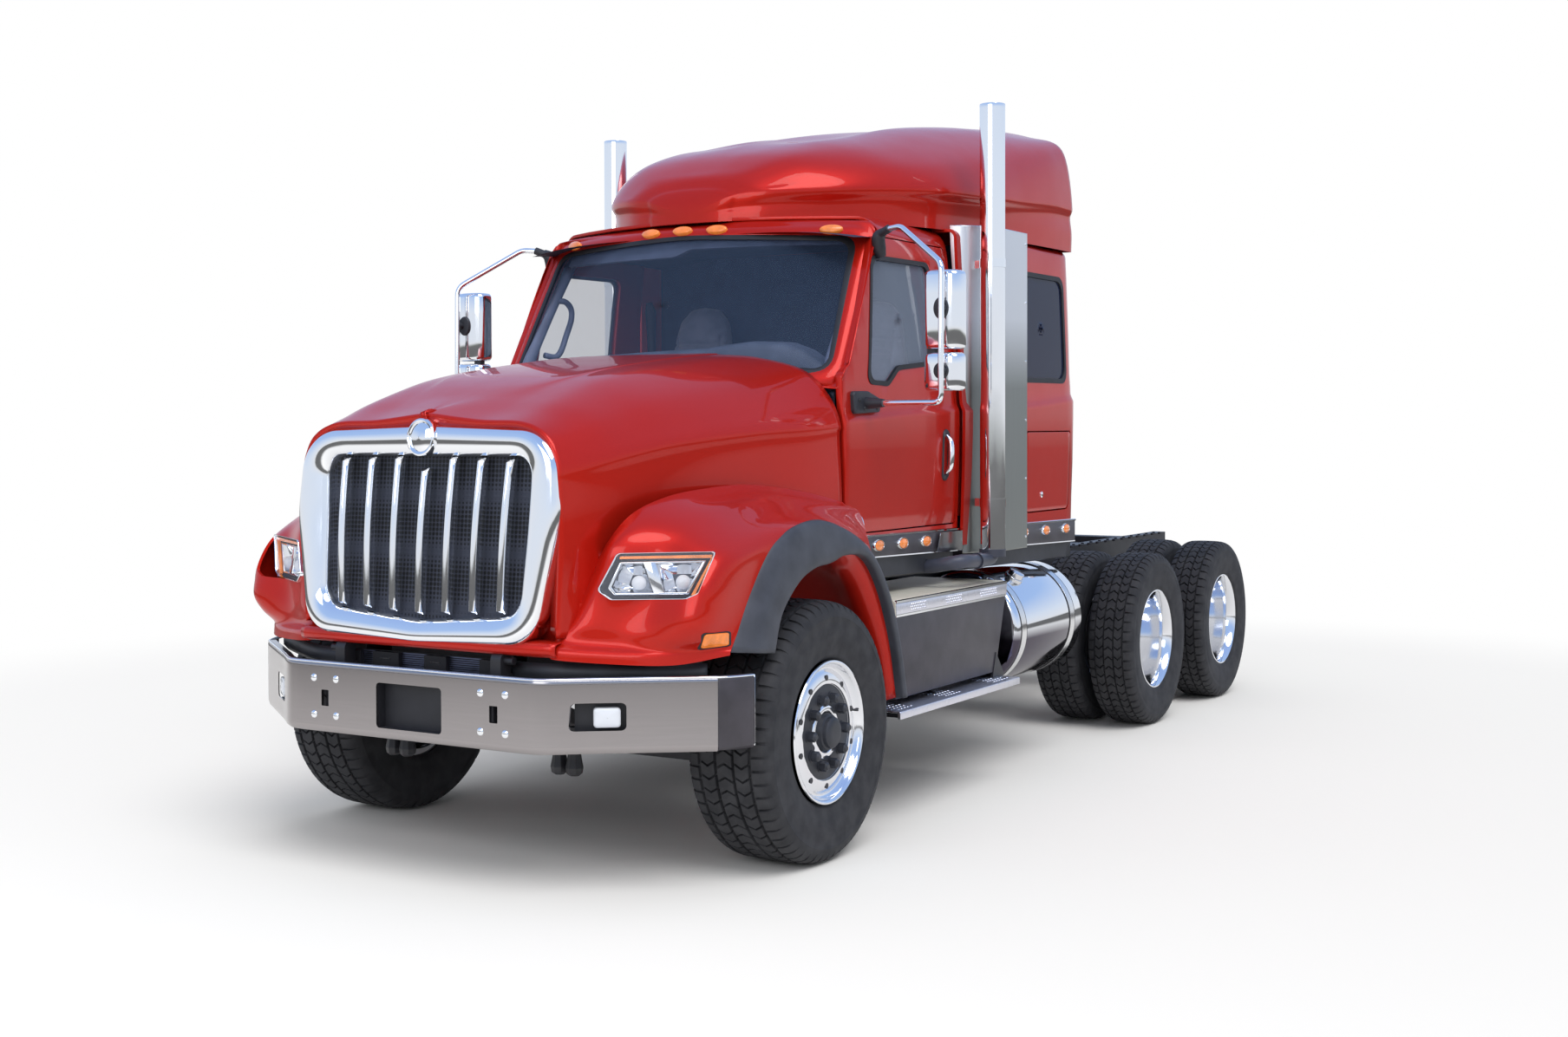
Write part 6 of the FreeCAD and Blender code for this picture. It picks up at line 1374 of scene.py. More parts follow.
def headlamps(wing):
    outline = rounded(LAMP_OUTLINE, LAMP_ROUND, 6)
    for side in (1, -1):
        c = Build()
        ring = [lamp_point(u, v, -.12) * [side, 1, 1] for u, v in outline]
        c.prism(ring, LAMP_N * .30 * [side, 1, 1])
        if side < 0:
            c.turned_over()
        clip(wing, c)
    shade(wing, 40)
    b = Build()
    edge = resample(outline, 120)
    b.grid(shrunk(edge, [(1.006, -.115), (1.006, .004), (.995, .0075), (.975, .0075), (.962, .003), (.962, -.02)],
                  lamp_point), closed_v=True)
    rim = b.mirrored().make("lamp_rims", CHROME, sharp=35)
    b = Build()
    b.grid(shrunk(edge, [(1.0, -.010), (1.0, -.075), (.94, -.082), (.5, -.084), (.02, -.084)], lamp_point),
           closed_v=True, flip=True)
    bowl = b.mirrored().make("lamp_bowls", LAMP_INSIDE, sharp=35)
    b = Build()

    def strip(points, depth_low, depth_high):
        pts = [lamp_point(u, v, depth_low) for u, v in points]
        b.prism(pts, LAMP_N * (depth_high - depth_low))

    frames = [
        [(-.1374, .0512), (.1946, .0552), (.1900, .0470), (-.1300, .0430)],
        [(.1946, .0552), (.1253, -.0749), (.1150, -.0690), (.1800, .0500)],
        [(.1253, -.0749), (-.1597, -.0760), (-.1560, -.0670), (.1200, -.0665)],
        [(-.1597, -.0760), (-.1850, -.0480), (-.1374, .0512), (-.1290, .0450), (-.1700, -.0450), (-.1540, -.0660)],
        [(-.0480, .0500), (.0000, .0500), (.0330, -.0700), (-.0090, -.0700)],
    ]
    for points in frames:
        strip(points, -.050, -.018)
    frame_obj = b.mirrored().make("lamp_cells", CHROME, smooth=False)
    soften(frame_obj, .0025)
    b = Build()
    cells = [[(-.1300, .0430), (-.0480, .0430), (-.0120, -.0665), (-.1500, -.0665), (-.1650, -.0450)],
             [(.0000, .0470), (.1800, .0470), (.1180, -.0665), (.0320, -.0665)]]
    eyes_at = ((-.0656, -.0302), (.104, -.0285))
    for cell, (pu, pv) in zip(cells, eyes_at):
        b.grid(shrunk(resample(cell, 48), ((1.0, -.020), (.92, -.040), (.70, -.060), (.42, -.068)), lamp_point,
                      np.array([pu, pv])), closed_v=True, flip=True)
    reflect = b.mirrored().make("lamp_reflectors", CHROME, sharp=60)
    b = Build()
    r = .029
    for pu, pv in eyes_at:
        rows = []
        for size, lift in ((1.0, -.066), (1.0, -.034), (.93, -.026), (.74, -.018), (.45, -.013), (.02, -.011)):
            rows.append([lamp_point(pu + r * size * math.cos(a), pv + r * size * math.sin(a), lift)
                         for a in around(32)])
        b.grid(rows, closed_v=True)
    eyes = b.mirrored().make("lamp_projectors", PALE_LENS, sharp=60)
    b = Build()
    strip([(-.138, .0625), (.2140, .0640), (.2190, .0762), (-.1350, .0725)], -.020, -.004)
    strip([(.2140, .0640), (.1360, -.0780), (.1500, -.0780), (.2230, .0700)], -.020, -.006)
    amber = b.mirrored().make("lamp_turn_strips", AMBER, smooth=False)
    b = Build()
    b.grid(shrunk(edge, [(.970, .0055), (.90, .0085), (.7, .0115), (.4, .013), (.02, .0135)], lamp_point),
           closed_v=True)
    lens_obj = b.mirrored().make("lamp_lenses", LENS, sharp=60)
    tree = BVHTree.FromPolygons([tuple(v.co) for v in wing.data.vertices],
                                [tuple(p.vertices) for p in wing.data.polygons])
    n = np.array([.83, -.555, .05])
    n /= np.linalg.norm(n)
    corners = [np.array(p) for p in ((1.112, -.757, .960), (1.186, -.664, .968), (1.184, -.664, 1.018),
                                     (1.110, -.762, 1.018))]
    flat = rounded([(-.5, -.5), (.5, -.5), (.5, .5), (-.5, .5)], .14, 4)

    def on_fender(u, w, lift):
        low = corners[0] * (.5 - u) + corners[1] * (.5 + u)
        high = corners[3] * (.5 - u) + corners[2] * (.5 + u)
        p = low * (.5 - w) + high * (.5 + w)
        start = Vector(p + n * .2 + [0, AXLE, 0])
        hit = tree.ray_cast(start, Vector(-n))[0]
        found = np.array(hit) - [0, AXLE, 0] if hit is not None else p
        return found + n * lift
    b, dark = Build(), Build()
    b.grid([[on_fender(u * s, w * s, lift) for u, w in flat] for s, lift in
            ((1.0, -.01), (1.0, .007), (.93, .011), (.5, .012), (.02, .0125))], closed_v=True)
    dark.grid([[on_fender(u * s, w * s, lift) for u, w in flat] for s, lift in
               ((1.20, -.01), (1.20, .001), (1.12, .004), (1.02, .004), (1.0, -.004))], closed_v=True)
    side_mark = b.mirrored().make("side_markers", AMBER, sharp=50)
    pocket = dark.mirrored().make("side_marker_seals", SEAL, sharp=50)
    fit("hood", (pocket, "black_plastic"))
    fit("hood", (rim, "chrome"), (bowl, "black_plastic"), (frame_obj, "chrome"), (reflect, "chrome"),
        (eyes, "lamp_clear"), (amber, "amber"), (lens_obj, "lamp_clear"), (side_mark, "amber"))
    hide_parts("headlamps")


def oval_lamp(lens_b, bezel_b, place, along, up, half_length, half_height, proud):
    """An oval marker lamp: a bright rim and a domed lens on a surface."""
    along, up, place = (np.array(v, float) for v in (along, up, place))
    along /= np.linalg.norm(along)
    up /= np.linalg.norm(up)
    out = np.cross(along, up)

    def rows(steps):
        return [[place + along * half_length * s * math.cos(a) + up * half_height * s * math.sin(a) + out * lift
                 for a in around(28)] for s, lift in steps]

    lens_b.grid(rows([(.86, -.004), (.86, proud * .7), (.76, proud * .95), (.5, proud * 1.12), (.02, proud * 1.18)]),
                closed_v=True)
    if bezel_b is None:
        return
    bezel_b.grid(rows([(1.08, -.006), (1.08, proud * .5), (1.0, proud * .85), (.9, proud * .85), (.86, proud * .6),
                       (.85, -.004)]),
                 closed_v=True)


def band_top(y):
    return 1.310 - (y - .705) * .0142


def band_height(y):
    return .092 + (y - .705) * .0085


def marker_lamps():
    lens_b, bezel_b = Build(), Build()
    for half, drop, places in ((CAB_HALF, .052, (.952, 1.203, 1.457)), (SLEEPER_HALF, .050, (2.600, 2.903, 3.196))):
        for y in places:
            x = side_x(y, 1.25, half) + .0125
            oval_lamp(lens_b, bezel_b, (x, y, band_top(y) - drop), (0, 1, 0), (0, 0, 1), .050, .027, .015)
    lens_b.mirrored()
    bezel_b.mirrored()
    for x in (-.745, -.190, 0.0, .190, .745):
        z = 2.752 - .016 * abs(x) - (.010 if abs(x) > .5 else 0)
        slope = .43 * x / .81 * 1.05
        y = screen_y(x, z) - .014
        along = (1, slope, -.016 * np.sign(x))
        oval_lamp(lens_b, None, (x, y - .002, z), along, (0, .62, 1), .064, .027, .016)
    lenses = lens_b.make("marker_lenses", AMBER, sharp=60)
    bezels = bezel_b.make("marker_bezels", CHROME, sharp=50)
    fit("chassis", (lenses, "amber"), (bezels, "chrome"))
    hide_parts("marker_lamps")


# Skirts under the cab and sleeper

def skirts():
    dark, bright, low = Build(), Build(), Build()
    for half, y0, y1 in ((CAB_HALF, .705, 1.838), (SLEEPER_HALF, 1.95, 3.355)):
        rows = []
        for y in np.linspace(y0, y1, 24):
            t, d = band_top(y) - .010, band_height(y)
            x = side_x(y, 1.28, half)
            rows.append([(x - .01, y, t), (x + .010, y, t), (x + .012, y, t - .004), (x + .012, y, t - d + .012),
                         (x + .010, y, t - d), (x - .01, y, t - d)])
        dark.grid(rows)
        strip = []
        for y in np.linspace(y0 - .004, y1 + .004, 24):
            t = band_top(y)
            x = side_x(y, 1.28, half)
            strip.append([(x - .006, y, t - .001), (x + .013, y, t), (x + .0165, y, t - .003), (x + .0165, y, t - .009),
                          (x + .013, y, t - .012), (x - .006, y, t - .012)])
        bright.grid(strip)
        edge = []
        for y in np.linspace(y0, y1, 24):
            b = band_top(y) - .010 - band_height(y)
            x = side_x(y, 1.25, half)
            edge.append([(x + .005, y, b + .002), (x + .0125, y, b + .001), (x + .013, y, b - .0045),
                         (x + .005, y, b - .005)])
        bright.grid(edge)
        rows = []
        for y in np.linspace(y0 + .01, y1 - .01, 20):
            b = band_top(y) - .09 - (y - .705) * .0085
            x = side_x(y, 1.25, half) - .012
            bottom = 1.102 - (y - .705) * .018
            rows.append([(x - .02, y, b), (x, y, b), (x - .004, y, bottom + .006), (x - .010, y, bottom),
                         (x - .03, y, bottom)])
        low.grid(rows)
    guard = Build()
    guard.grid([[(1.0165, 1.600, band_top(1.6) - .016), (1.0165, 1.852, band_top(1.85) - .014)],
                [(1.0165, 1.560, band_top(1.6) - .108), (1.0165, 1.852, band_top(1.85) - .112)]])
    for b, name, mat, slot in ((dark, "skirt_panels", PANEL, "panel_dark"), (bright, "skirt_strips", CHROME, "chrome"),
                               (low, "skirt_low", PLASTIC, "panel_dark"), (guard, "skirt_guard", STEEL, "steel")):
        obj = b.mirrored().make(name, mat, smooth=b is not guard, sharp=40)
        if b in (guard, low):
            solidify(obj, .003, 0)
        fit("chassis", (obj, slot))
    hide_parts("cab_skirts")


# Exhaust stacks and shields

def stacks():
    x, y = 1.153, 1.916
    b = Build()
    b.lathe([(1.17, .0600), (1.165, .0635), (3.395, .0635), (3.411, .0642), (3.415, .0630), (3.414, .0600),
             (3.30, .0590), (3.05, .0585)], (x, y, 0), "z", 48)
    for z in (1.42, 2.62):
        b.lathe([(z - .022, .0636), (z - .022, .0668), (z + .022, .0668), (z + .022, .0636)], (x, y, 0), "z", 40)
    pipe = b.mirrored().make("stack_pipes", CHROME, sharp=40)
    b = Build()
    bend = [(1.153, 1.916, 1.190), (1.153, 1.900, 1.150), (1.150, 1.840, 1.138), (1.147, 1.700, 1.140),
            (1.140, 1.600, 1.145), (1.100, 1.560, 1.138), (1.000, 1.540, 1.120), (.560, 1.530, 1.090)]
    b.tube(catmull(bend, 44), .034, 24)
    b.lathe([(-.018, .0345), (-.018, .0400), (.018, .0400), (.018, .0345)], (1.149, 1.745, 1.139), "y", 32)
    b.lathe([(1.150, .061), (1.150, .0665), (1.188, .0665), (1.188, .061)], (x, y, 0), "z", 36)
    elbow = b.mirrored().make("stack_elbows", ELBOW, sharp=45)
    b = Build()
    rows = []
    for z in np.concatenate([[1.160, 1.166], np.linspace(1.2, 2.78, 18), [2.814, 2.820]]):
        inner = 1.004 - .060 * smooth_step((z - 2.02) / .8)
        plan = [(inner, 1.880 - (1.004 - inner) * .3), (1.030, 1.945), (1.078, 2.020), (1.094, 2.040), (1.100, 2.062),
                (1.100, 2.25), (1.100, 2.484), (1.092, 2.490), (1.060, 2.490)]
        rows.append([(px, py, z) for px, py in plan])
    b.grid(np.array(rows))
    shield = b.mirrored().make("shield_sheets", SHIELD, sharp=35)
    solidify(shield, .003, 0)
    b = Build()
    for z in np.linspace(1.22, 2.76, 6):
        for px, py in ((1.101, 2.045), (1.101, 2.462)):
            b.lathe([(0, .007), (.003, .0065), (.005, .003), (.0052, .0003)], (px, py, z), "x", 12)
    for z in (1.42, 2.62):
        b.tube(np.array([(1.088, 1.99, z), (1.118, 1.955, z), (1.150, 1.945, z)]), .009, 8)
        b.box(1.05, 1.09, 1.93, 1.96, z - .02, z + .02)
    bolts = b.mirrored().make("shield_bolts", CHROME, sharp=40)
    fit("chassis", (pipe, "chrome"), (elbow, "iron"), (shield, "steel"), (bolts, "chrome"))
    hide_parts("exhaust_stacks")
    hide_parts("heat_shields")


# Tanks, boxes and steps

TANK_BANDS = (2.225, 2.895)


def tanks():
    x, z, r = .89, .745, .304
    b = Build()
    prof = [(2.150, .0002), (2.1505, .18), (2.152, r - .031), (2.158, r - .012), (2.168, r - .004), (2.182, r),
            (3.028, r), (3.042, r - .004), (3.052, r - .012), (3.058, r - .031), (3.0595, .18), (3.060, .0002)]
    b.lathe(prof, (x, 0, z), "y", 96)
    tank = b.mirrored().make("tank_shells", TANK, sharp=40)
    bands, edges = Build(), Build()
    for y in TANK_BANDS:
        bands.lathe([(y - .030, r), (y - .029, r + .003), (y + .029, r + .003), (y + .030, r)], (x, 0, z), "y", 96)
        for s in (-1, 1):
            e = y + s * .033
            edges.lathe([(e - .005, r), (e - .004, r + .0022), (e + .004, r + .0022), (e + .005, r)], (x, 0, z), "y",
                        96)
    cap = [(.0, .050), (.022, .050), (.024, .046), (.024, .042), (.050, .041), (.053, .036), (.0535, .001)]
    axis = np.array([.55, 0, .835])
    side = np.cross(axis, [0, 1, 0])
    base = np.array([x, 2.40, z]) + axis * (r - .006)
    rows = []
    for h, rr in cap:
        grips = [rr + (.0016 if h > .024 and i % 2 else 0) for i in range(40)]
        rows.append([base + axis * h + (np.array([0, 1, 0]) * math.cos(a) + side * math.sin(a)) * grip
                     for a, grip in zip(around(40), grips)])
    bands.grid(rows, closed_v=True, flip=True)
    for y in TANK_BANDS:
        edges.box(.43, .62, y - .035, y + .035, .55, .99)
        edges.tube(np.array([(.56 + .01, y, .62), (.75, y, .455), (.80, y, .440)]), .022, 8)
    bands.mirrored()
    edges.mirrored()
    band_obj = bands.make("tank_bands", STEEL, sharp=40)
    edge_obj = edges.make("tank_cradles", FRAME, sharp=40)
    fit("chassis", (tank, "aluminium"), (band_obj, "steel"), (edge_obj, "frame_black"))
    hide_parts("fuel_tanks")


def tread_holes(b, x0, x1, y0, y1, z, rows, cols, upright=False):
    """Rows of small raised teeth, the grip pattern of a step."""
    for i in range(rows):
        for k in range(cols):
            u = x0 + (x1 - x0) * (i + .5) / rows
            y = y0 + (y1 - y0) * (k + (.25 if i % 2 else .75) * .9) / cols
            g = np.array([[(u + r * math.cos(a), y + math.sin(a) * r * 1.6, z + h) for a in around(8)]
                          for r, h in ((.0065, -.001), (.005, .0016), (.002, .0016))])
            b.grid(g[..., ::-1] if upright else g, closed_v=True, flip=upright)
            b.cap(8)


def steps():
    """The step box under each door, with its lid, treads, rails and brackets."""
    box_b, lid, grip, teeth, black, rail = (Build() for _ in range(6))
    y0, y1, y2 = .850, 2.105, 1.970
    low, top = .562, .935
    side = [(y0, low), (y2, low), (y1 - .010, top), (y0, top)]
    box_b.prism([(1.146, y, z) for y, z in rounded(side, .006, 3)], (-.30, 0, 0))
    cover = rounded([(1.146, .936), (1.146, 1.006), (1.132, 1.014), (.62, 1.014), (.62, .936)], .004, 3)
    lid.prism([(x, y0 - .004, z) for x, z in cover], (0, y1 - y0 + .006, 0))
    grip.prism([(1.1475, y, z) for y, z in [(y0, .948), (y1 - .006, .948), (y1 - .004, .998), (y0, .998)]],
               (.003, 0, 0))
    for start, end, count in ((1.00, 1.16, 9), (1.38, 1.56, 10), (1.78, 1.98, 11)):
        tread_holes(teeth, .954, .992, start, end, 1.1505, 3, count, upright=True)
    deck = [(1.250, .690), (1.250, 2.030), (1.236, 2.040), (1.02, 2.040), (1.02, .690)]
    grip.prism([(x, y, .528) for x, y in rounded(deck, .012, 3)], (0, 0, .006))
    rail.prism([(1.1505, y, z) for y, z in [(y0, 1.000), (y1, 1.000), (y1, 1.010), (y0, 1.010)]], (-.010, 0, .003))
    rail.prism([(1.1495, y, z) for y, z in [(y0, .936), (y1 - .01, .936), (y1 - .01, .945), (y0, .945)]], (-.010, 0, 0))
    lip = [(1.2505, .500), (1.2505, .531), (1.243, .535), (1.236, .533), (1.236, .500)]
    grip.prism([(x, .690, z) for x, z in lip], (0, 1.345, 0))
    for start, end, count in ((.74, .90, 5), (1.24, 1.42, 6), (1.80, 1.99, 6)):
        tread_holes(teeth, 1.07, 1.22, start, end, .534, 5, count)
    arm = [(1.236, .500), (1.02, .500), (.95, .430), (.95, .55), (1.03, .555), (1.236, .520)]
    for y in (.74, 1.30, 1.94):
        black.prism([(x, y - .006, z) for x, z in arm], (0, .012, 0))
    black.prism([(1.140, 1.965, .562), (1.140, 2.035, .532), (1.140, 1.955, .532)], (-.10, 0, 0))
    black.prism([(1.150, 1.968, .660), (1.150, 2.075, .535), (1.150, 1.925, .535)], (-.012, 0, 0))
    for b, name, mat, slot, soft, node_name in (
            (box_b, "box_bodies", PANEL, "panel_dark", True, "step_boxes"),
            (lid, "box_lids", LID, "alloy_deck", True, None),
            (grip, "step_strips", DECK, "alloy_deck", True, "side_steps"),
            (rail, "box_rails", CHROME, "chrome", False, None),
            (teeth, "step_teeth", DECK, "alloy_deck", False, None),
            (black, "step_brackets", FRAME, "frame_black", False, None)):
        obj = b.mirrored().make(name, mat, smooth=False)
        if soft:
            soften(obj, .0025)
        fit("chassis", (obj, slot))
        if node_name:
            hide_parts(node_name)


# Cab interior

def dash_height(x):
    return float(np.interp(x, [-.93, -.80, -.60, -.40, 0.0, .25, .36, .48, .62, .72, .85, .93],
                     [1.98, 2.07, 2.125, 2.155, 2.170, 2.175, 2.192, 2.205, 2.200, 2.165, 2.08, 1.98]))


def dashboard():
    rows = []
    for x in np.linspace(-.925, .925, 75):
        top = dash_height(x)
        ahead = screen_y(x * .93, min(top, 2.16)) + .055
        rows.append([(x, ahead + .02, 1.70), (x, ahead, 1.95), (x, ahead + .005, top - .05),
                     (x, ahead + .03, top - .012), (x, .80, top), (x, .87, top - .002), (x, .905, top - .02),
                     (x, .93, top - .09), (x, .99, 1.97), (x, 1.06, 1.90), (x, 1.085, 1.80), (x, 1.06, 1.66)])
    b = Build()
    b.grid(smooth_grid(rows, 130, 60), flip=True)
    body = b.make("dash_body", DASH)
    solidify(body, .006, -1.0)
    b = Build()
    for x, r in ((.43, .052), (.56, .052), (.35, .024), (.64, .024)):
        b.grid([[(x + r * s * math.cos(a), .955 + lift - r * s * math.sin(a) * .45, 2.035 + r * s * math.sin(a) * .88)
                 for a in around(32)] for s, lift in ((1.06, .0), (1.06, .012), (.96, .012), (.94, .004), (.02, .004))],
               closed_v=True)
    for x in (-.62, -.30, .05, .86):
        b.prism([(x - .055, 1.030, 1.945), (x + .055, 1.030, 1.945), (x + .055, .996, 1.985), (x - .055, .996, 1.985)],
                (0, .006, .005))
    dials = b.make("dash_dials", SEAL, sharp=40)
    b = Build()
    b.box(-.925, .925, .70, 2.10, 1.232, 1.242)
    rows = [[(x, 2.10 - .02 * abs(x), z) for x in np.linspace(-.985, .985, 21)] for z in (1.24, 1.6, 2.2, 2.74)]
    b.grid(rows, flip=True)
    rows = [[(x, y, 2.742 - .05 * (abs(x) / .93) ** 4 - .03 * max(0, (1.15 - y) / .4) ** 2)
             for x in np.linspace(-.93, .93, 25)] for y in np.linspace(.86, 2.10, 14)]
    b.grid(rows)
    lining = b.make("cab_lining", LINER, sharp=40)
    b = Build()
    rows = []
    for x in np.linspace(-.80, .80, 61):
        low = 2.628 + min(1, max(0, (x + .04) / .08)) * .037
        rows.append([(x, screen_y(x, 2.70) + .05, 2.712), (x, screen_y(x, low) + .035, low),
                     (x, screen_y(x, low) + .055, low - .004), (x, screen_y(x, 2.70) + .09, 2.70)])
    b.grid(rows, flip=True)
    visor = b.make("sun_visors", VISOR, sharp=50)
    b = Build()
    for x0, side in ((-.885, 1), (.885, -1)):
        path = [(x0 + side * .012, 1.150, 2.685), (x0 + side * .004, 1.060, 2.560), (x0, .955, 2.420),
                (x0, .860, 2.290), (x0, .775, 2.165), (x0, .73, 2.08)]
        b.tube(catmull(path, 26), tapered(26, [0, .5, 1], [.026, .034, .040]), 14)
    for side in (-1, 1):
        loop = [(side * .868, .985, 2.455), (side * .850, 1.030, 2.452), (side * .848, 1.078, 2.418),
                (side * .848, 1.082, 2.370), (side * .848, 1.035, 2.275), (side * .848, .985, 2.190),
                (side * .850, .945, 2.165), (side * .868, .880, 2.172)]
        b.tube(catmull(loop, 44), .0155, 12)
    trims = b.make("pillar_trims", TRIM)
    b = Build()
    for side in (-1, 1):
        b.prism([(side * .968, 1.885, 1.35), (side * .968, 2.085, 1.35), (side * .968, 2.085, 2.735),
                 (side * .968, 1.885, 2.735)],
                (-side * .012, 0, 0))
    # The inner pillars take the brighter red: painted light on the shaded inside.
    pillars = b.make("cab_pillars", PAINTED_LIGHT_RED, smooth=False)
    b = Build()
    for side in (-1, 1):
        drop = [(side * .948, 1.945, 2.50), (side * .940, 1.950, 2.40), (side * .938, 1.955, 2.20),
                (side * .940, 1.96, 1.70)]
        b.tube(catmull(drop, 18), tapered(18, [0, .12, .35, 1], [.018, .034, .026, .016]), 12)
    belts = b.make("belt_units", SEAL)
    fit("chassis", (body, "dash"), (dials, "black_plastic"), (lining, "dash"), (visor, "dash"), (trims, "dash"),
        (pillars, "red"), (belts, "black_plastic"))
    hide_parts("dashboard")


# Seats

def pad_rings(outline, depth, crown, place):
    """A closed crowned pad: the outline is shrunk towards its middle over both faces."""
    steps = [(.02, -crown), (.35, -crown * .9), (.70, -crown * .5), (.90, 0), (.975, depth * .10), (1.0, depth * .28),
             (1.0, depth * .72), (.975, depth * .92), (.90, depth), (.70, depth + crown * .5),
             (.35, depth + crown * .9), (.02, depth + crown)]
    return shrunk(resample(outline, 72), steps, place)


def puff(obj, voxel, limit):
    """Fills a pad with air: remesh, a short cloth run under pressure, a cap on how far it may swell, then smoothing."""
    modifier(obj, "REMESH", mode="VOXEL", voxel_size=voxel)
    apply_all(obj)
    count = len(obj.data.vertices)
    start = np.empty(count * 3)
    obj.data.vertices.foreach_get("co", start)
    cloth_mod = obj.modifiers.new("cloth", "CLOTH")
    cloth_mod.settings.use_pressure = True
    cloth_mod.settings.uniform_pressure_force = 4.0
    cloth_mod.settings.effector_weights.gravity = 0.0
    cloth_mod.settings.quality = 4
    cloth_mod.point_cache.frame_start = 1
    cloth_mod.point_cache.frame_end = 20
    for f in range(1, 21):
        bpy.context.scene.frame_set(f)
    apply_all(obj)
    bpy.context.scene.frame_set(1)
    end = np.empty(count * 3)
    obj.data.vertices.foreach_get("co", end)
    move = (end - start).reshape(-1, 3)
    size = np.linalg.norm(move, axis=1)
    share = np.minimum(1.0, limit / np.maximum(size, 1e-9))
    obj.data.vertices.foreach_set("co", (start.reshape(-1, 3) + move * share[:, None]).ravel())
    modifier(obj, "SMOOTH", factor=0.5, iterations=3)
    modifier(obj, "SUBSURF", levels=1, render_levels=1)
    apply_all(obj)


def press_seams(obj, unplace, seams, depth, width, front):
    """Sinks sewn channels into the front of a pad; each seam gives its distance from a point (u, v)."""
    count = len(obj.data.vertices)
    co = np.empty(count * 3)
    no = np.empty(count * 3)
    obj.data.vertices.foreach_get("co", co)
    obj.data.vertices.foreach_get("normal", no)
    co, no = co.reshape(-1, 3), no.reshape(-1, 3)
    for i in range(count):
        u, v, w = unplace(co[i])
        if w < front:
            continue
        near = min(s(u, v) for s in seams)
        if near < width:
            co[i] -= no[i] * depth * (0.5 + 0.5 * math.cos(math.pi * near / width))
    obj.data.vertices.foreach_set("co", co.ravel())
    obj.data.update()


def twin(obj, name):
    mesh = obj.data.copy()
    mesh.transform(Matrix.Diagonal((-1, 1, 1, 1)))
    mesh.flip_normals()
    return in_scene(name, mesh)


def seats():
    x0 = .52
    lean = math.radians(9)
    up = np.array([0, math.sin(lean), math.cos(lean)])
    ahead = np.array([0, -math.cos(lean), math.sin(lean)])
    foot = np.array([x0, 1.800, 1.690])

    def back_place(u, v, w):
        return tuple(foot + [u, 0, 0] + up * v + ahead * w)

    def back_unplace(p):
        d = np.array(p) - foot - [0, AXLE, 0]
        return d[0], float(d @ up), float(d @ ahead)
    half = [(.215, 0), (.232, .06), (.236, .30), (.225, .42), (.198, .52), (.180, .62), (.150, .71), (.085, .775),
            (0, .787)]
    outline = half + [(-u, v) for u, v in reversed(half[:-1])]
    b = Build()
    b.grid(pad_rings(outline, .085, .012, back_place), closed_v=True)
    back = b.make("seat_back_left", CLOTH)
    puff(back, .011, .022)

    def line_at(value):
        return lambda u, v: abs(v - value) + max(0.0, abs(u) - .135)
    seams = [lambda u, v: abs(abs(u) - .140) + max(0.0, v - .60) * 2, line_at(.16), line_at(.32), line_at(.48),
             lambda u, v: abs(v - .555)]
    press_seams(back, back_unplace, seams, .010, .016, .06)

    def seat_place(u, v, w):
        return (x0 + u, 1.290 + v, 1.585 + w + .03 * (1 - v / .48))

    def seat_unplace(p):
        return p[0] - x0, p[1] - AXLE - 1.290, p[2] - 1.585 - .03 * (1 - (p[1] - AXLE - 1.290) / .48)
    b = Build()
    outline = rounded([(-.225, 0), (.225, 0), (.235, .47), (-.235, .47)], [.09, .09, .05, .05], 8)
    b.grid(pad_rings(outline, .085, .010, seat_place), closed_v=True)
    base = b.make("seat_cushion_left", CLOTH)
    puff(base, .011, .022)
    press_seams(base, seat_unplace, [lambda u, v: abs(abs(u) - .145), line_at(.14), line_at(.30)], .010, .016, .06)
    for obj, name in ((back, "seat_back_right"), (base, "seat_cushion_right")):
        for piece in (obj, twin(obj, name)):
            fit("chassis", (piece, "fabric"))
    b = Build()
    rows = []
    for k, z in enumerate(np.linspace(1.243, 1.575, 29)):
        swell = .012 * math.cos(k * math.pi / 2.0)
        grow_by = .0 if z < 1.50 else (z - 1.50) * 1.0
        far = .165 + grow_by
        ring = rounded([(-far, -.165), (far, -.165), (far, far), (-far, far)], .05, 5)
        rows.append([(x0 + u * (1 + swell), 1.50 + v * (1 + swell), z) for u, v in ring])
    b.grid(rows, closed_v=True, flip=True)
    frame_line = [(x0 + .245, 1.74, 1.60), (x0 + .252, 1.79, 1.72), (x0 + .246, 1.83, 1.95)]
    b.tube(catmull(frame_line, 12), .012, 10)
    b.tube(catmull([(2 * x0 - x, y, z) for x, y, z in frame_line], 12), .012, 10)
    stand = b.mirrored().make("seat_stands", PLASTIC, sharp=60)
    fit("chassis", (stand, "black_plastic"))
    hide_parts("seats")


# Small parts of the frame

def frame_parts():
    b = Build()
    for side in (-1, 1):
        for y in np.arange(3.50, 6.66, .158):
            for dx in (-.022, .022):
                hex_bolt(b, (side * (.43 + dx), y, 1.010), .011, .011)
        for y in (3.62, 3.70, 4.60, 4.70, 5.10, 5.20, 6.10, 6.20):
            for z in (.72, .80, .88):
                b.lathe([(0, .012), (.007, .012), (.009, .008), (.0092, .0005)], (side * .472, y, z), "x", 10, side)
    bolts = b.make("rail_bolts", FRAME, sharp=35)
    b = Build()
    for x in (.405, .480):
        b.lathe([(.400, .001), (.402, .020), (.412, .033), (.435, .037), (.470, .030), (.50, .026), (.60, .026)],
                (x, -.70, 0), "z", 8)
    hooks = b.mirrored().make("tow_hooks", FRAME, smooth=False)
    fit("chassis", (bolts, "frame_black"), (hooks, "frame_black"))


